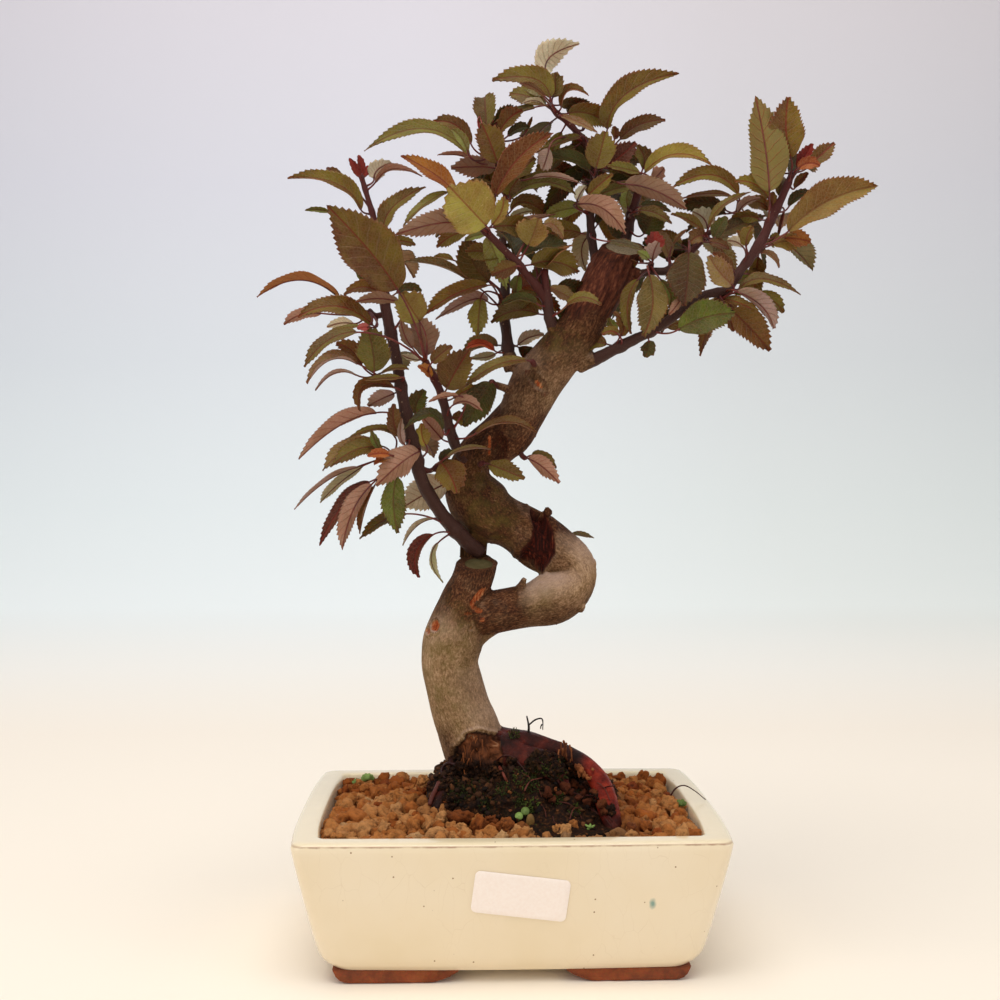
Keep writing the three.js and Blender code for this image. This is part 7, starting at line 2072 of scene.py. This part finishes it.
def seedlings(surface):
    """Seed leaves and a sprout on the mound, weeds, the dead twig and a seed husk."""
    shape = Shape(lump_tone=np.zeros(3))
    sides = 20
    around = np.linspace(0, 2 * math.pi, sides + 1)[:-1]

    def leaflet(centre, way, length, width, notch, tone):
        normal = unit(EYE - centre + np.array([0, 0, 260.0]))
        way = unit(way - (way @ normal) * normal)
        side = np.cross(normal, way)
        reach = 1 - notch * np.exp(-((around - math.pi) / 0.5) ** 2)
        rim = [centre + way * length * r * math.cos(t) + side * width * r * math.sin(t)
               + normal * 0.12 * length * math.cos(2 * t) for t, r in zip(around, reach)]
        front = np.array(rim + [centre - normal * 0.05])
        count, turns, middle = len(front), np.arange(sides), np.full(sides, sides)
        after = (turns + 1) % sides
        shape.add(np.vstack([front, front - normal * 0.3]),
                  [np.stack([middle, turns, after], axis=1),
                   np.stack([middle + count, after + count, turns + count], axis=1),
                   np.stack([turns, turns + count, after + count, after], axis=1)],
                  0, lump_tone=[tone, 0, 0])

    def stalk_to(centre, drop):
        foot = centre + np.array([0, 1.2, -drop])
        rows = np.column_stack([np.linspace(foot, centre, 5), np.full(5, 0.22)])
        points, faces, _ = tube(rows, 6)
        shape.add(points, faces, 0, lump_tone=[0.5, 0, 0])

    for x, z, size, notch, tone in ((6.9, 52.8, 1.8, 0.0, 0.45), (5.1, 49.6, 1.7, 0.3, 0.95)):
        spot, way = landing(surface, x, z)
        centre = spot + way * 2.0
        leaflet(centre, np.array([0.3, 0, 1.0]), size, size, notch, tone)
        stalk_to(centre, 3)
    spot, way = landing(surface, 36.6, 43.4)
    for turn, length in ((0.5, 1.3), (1.5, 1.0), (2.5, 1.4), (3.6, 0.8)):
        heading = np.array([math.cos(turn), 0, math.sin(turn)])
        leaflet(spot + way * 0.9 + heading * length * 0.8, heading, length, 0.5, 0.0, 1.8)
    stalk_to(spot + way * 0.9, 1.6)
    for x, z, count, size, tone in WEEDS:
        foot = on_soil(x, z, 3.0)
        for number in range(count):
            turn = math.pi * (number + 0.5) / count
            heading = np.array([math.cos(turn), 0.3 * math.cos(5 * number), math.sin(turn)])
            leaflet(foot + heading * size, heading, size, 0.7 * size, 0.0, tone)
    shape.build("seedlings", [toned_finish("seed_leaf")], ["root_mound"])
    twig = Shape(lump_tone=np.zeros(3))
    for number, (radius, end, rows) in enumerate(DEAD_TWIG):
        line = np.array([seen(x, z, -4.0) for x, z in rows])
        rows = np.column_stack([line, np.linspace(radius, end, len(line))])
        points, faces, _ = tube(curve_through(rows, 0.6), 8, 0.14, number)
        twig.add(points, faces, 0, lump_tone=[0.2, 0, 0])
    twig.build("dead_twig", [toned_finish("dead_twig_bark")], ["trunk"])
    husk = Shape(lump_tone=np.zeros(3))
    spot, way = landing(surface, 10.2, 47)
    blank, faces = round_lump(4)
    ribs = 1 + 0.05 * np.cos(7 * np.arctan2(blank[:, 1], blank[:, 0]))
    husk.add(blank * ribs[:, None] * [1.7, 1.5, 3.0] + spot + way * 0.8, faces, 0,
             lump_tone=[0.5, 0, 0])
    husk.build("seed_husk", [toned_finish("dry_seed_husk")], ["root_mound"])


def backdrop_finish():
    # Seamless backdrop paper: matt, with painted light falloff from cream on the floor to cooler
    # and greyer up the wall, and painted shade towards the far right.
    add, done = finish("seamless_backdrop_paper", 0.9, Specular_IOR_Level=0.1)
    x, y, z = add("SeparateXYZ", {0: add("NewGeometry", out="Position")}, None)
    # painted light falloff: cream on the floor, cooler and greyer higher up the wall
    far = add("MapRange", {0: y, 1: 0.45, 2: 1.5, 3: 0, 4: 0.24})
    height = add("Math", {0: z, 1: far}, operation="ADD")
    rise = add("MapRange", {0: height, 1: 0, 2: 1.5})
    shade = add("ValToRGB", {0: rise}, stops=[
        (0.0, "#F8EFE1"), (0.05, "#FAF7EE"), (0.14, "#FAFFFB"), (0.26, "#F0F6F4"),
        (0.45, "#E6EAEC"), (0.7, "#E3E2E8"), (1.0, "#E4DEE2")])
    # painted shade: the wall dimmed towards the right and further back
    aside = add("MapRange", {0: x, 1: -0.15, 2: 0.5})
    beyond = add("MapRange", {0: y, 1: 0.3, 2: 1.2})
    painted_shade_far_right = add("Math", {0: aside, 1: beyond}, operation="MULTIPLY")
    return done(Base_Color=add("Mix", {0: painted_shade_far_right, 6: shade, 7: "#F9F8F5"}, 2, data_type="RGBA",
                               blend_type="MULTIPLY"))


def stage():
    """A plain sweep: a level floor that runs up into a wall, with painted light falloff from pale
    cream to cool grey.
    """
    floor_z = pot_low.z
    half_width, bend_start, bend = 3.5, 1.2, 0.9
    rows = [(y, floor_z) for y in np.linspace(-1.6, bend_start, 8)]
    for turn in np.linspace(0, math.pi / 2, 17)[1:]:
        rows.append((bend_start + bend * math.sin(turn), floor_z + bend * (1 - math.cos(turn))))
    rows += [(bend_start + bend, floor_z + bend + rise) for rise in (0.5, 1.2, 2.2)]
    points = [(x, y, z) for y, z in rows for x in (-half_width, half_width)]
    faces = [(i, i + 1, i + 3, i + 2) for i in range(0, 2 * len(rows) - 2, 2)]
    mesh = bpy.data.meshes.new("backdrop")
    mesh.from_pydata(points, [], faces)
    mesh.polygons.foreach_set("use_smooth", [True] * len(faces))
    mesh.materials.append(backdrop_finish())
    linked("backdrop", mesh)


def lamp(name, place, target, size, power, tint):
    light = bpy.data.lights.new(name, "AREA")
    light.shape = "RECTANGLE"
    light.size, light.size_y = size
    light.energy = power
    light.color = colour(tint)[:3]
    thing = linked(name, light)
    thing.location = place
    aim = Vector(target) - Vector(place)
    thing.rotation_euler = aim.to_track_quat("-Z", "Y").to_euler()


def light_and_camera():
    lamp("overhead_softbox", (-0.15, -0.35, 1.35), (0, 0, 0.15), (1.1, 0.9), 11, "#FFF9F0")
    lamp("left_softbox", (-1.15, -0.75, 0.65), (0, 0, 0.2), (0.9, 1.1), 5.2, "#FFFAF4")
    lamp("right_softbox", (1.2, -0.6, 0.6), (0, 0, 0.2), (0.9, 1.1), 4.2, "#FFFAF4")
    lamp("backdrop_light", (0, 0.75, 1.7), (0, 2.1, 0.75), (2.6, 0.6), 13, "#F4F5FF")
    world = bpy.data.worlds.new("studio_air")
    world.use_nodes = True
    glow = world.node_tree.nodes["Background"].inputs
    glow["Color"].default_value = colour("#E9EBEE")
    glow["Strength"].default_value = 0.52
    bpy.context.scene.world = world
    # the photo's own view, as solved from the pot: lens for a 36 mm frame, dip and turn
    lens, dip, turn = 45.97, 1.08, -1.66
    camera = bpy.data.cameras.new("camera")
    camera.sensor_width = 36
    camera.lens = lens
    thing = linked("camera", camera)
    thing.location = (EYE + MIDDLE) / 1000
    thing.rotation_euler = (math.radians(90 - dip), 0, math.radians(turn))
    bpy.context.scene.camera = thing
    bpy.context.scene.view_settings.view_transform = "Standard"


stage()
light_and_camera()
pot_body()
pot_feet()
label_sheet()
soil()
mound(wood())
petiole = petiole_finish()
twig_wood = twig_finish()
leaf_finishes = {kind: leaf_finish(kind) for kind in LEAF_COLOURS}
for number, entry in enumerate(SHOOTS):
    leafy_shoot(number, entry)
net = net_finish()
for node in ("drain_net_left", "drain_net_right"):
    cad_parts[node].data.materials.clear()
    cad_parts[node].data.materials.append(net)
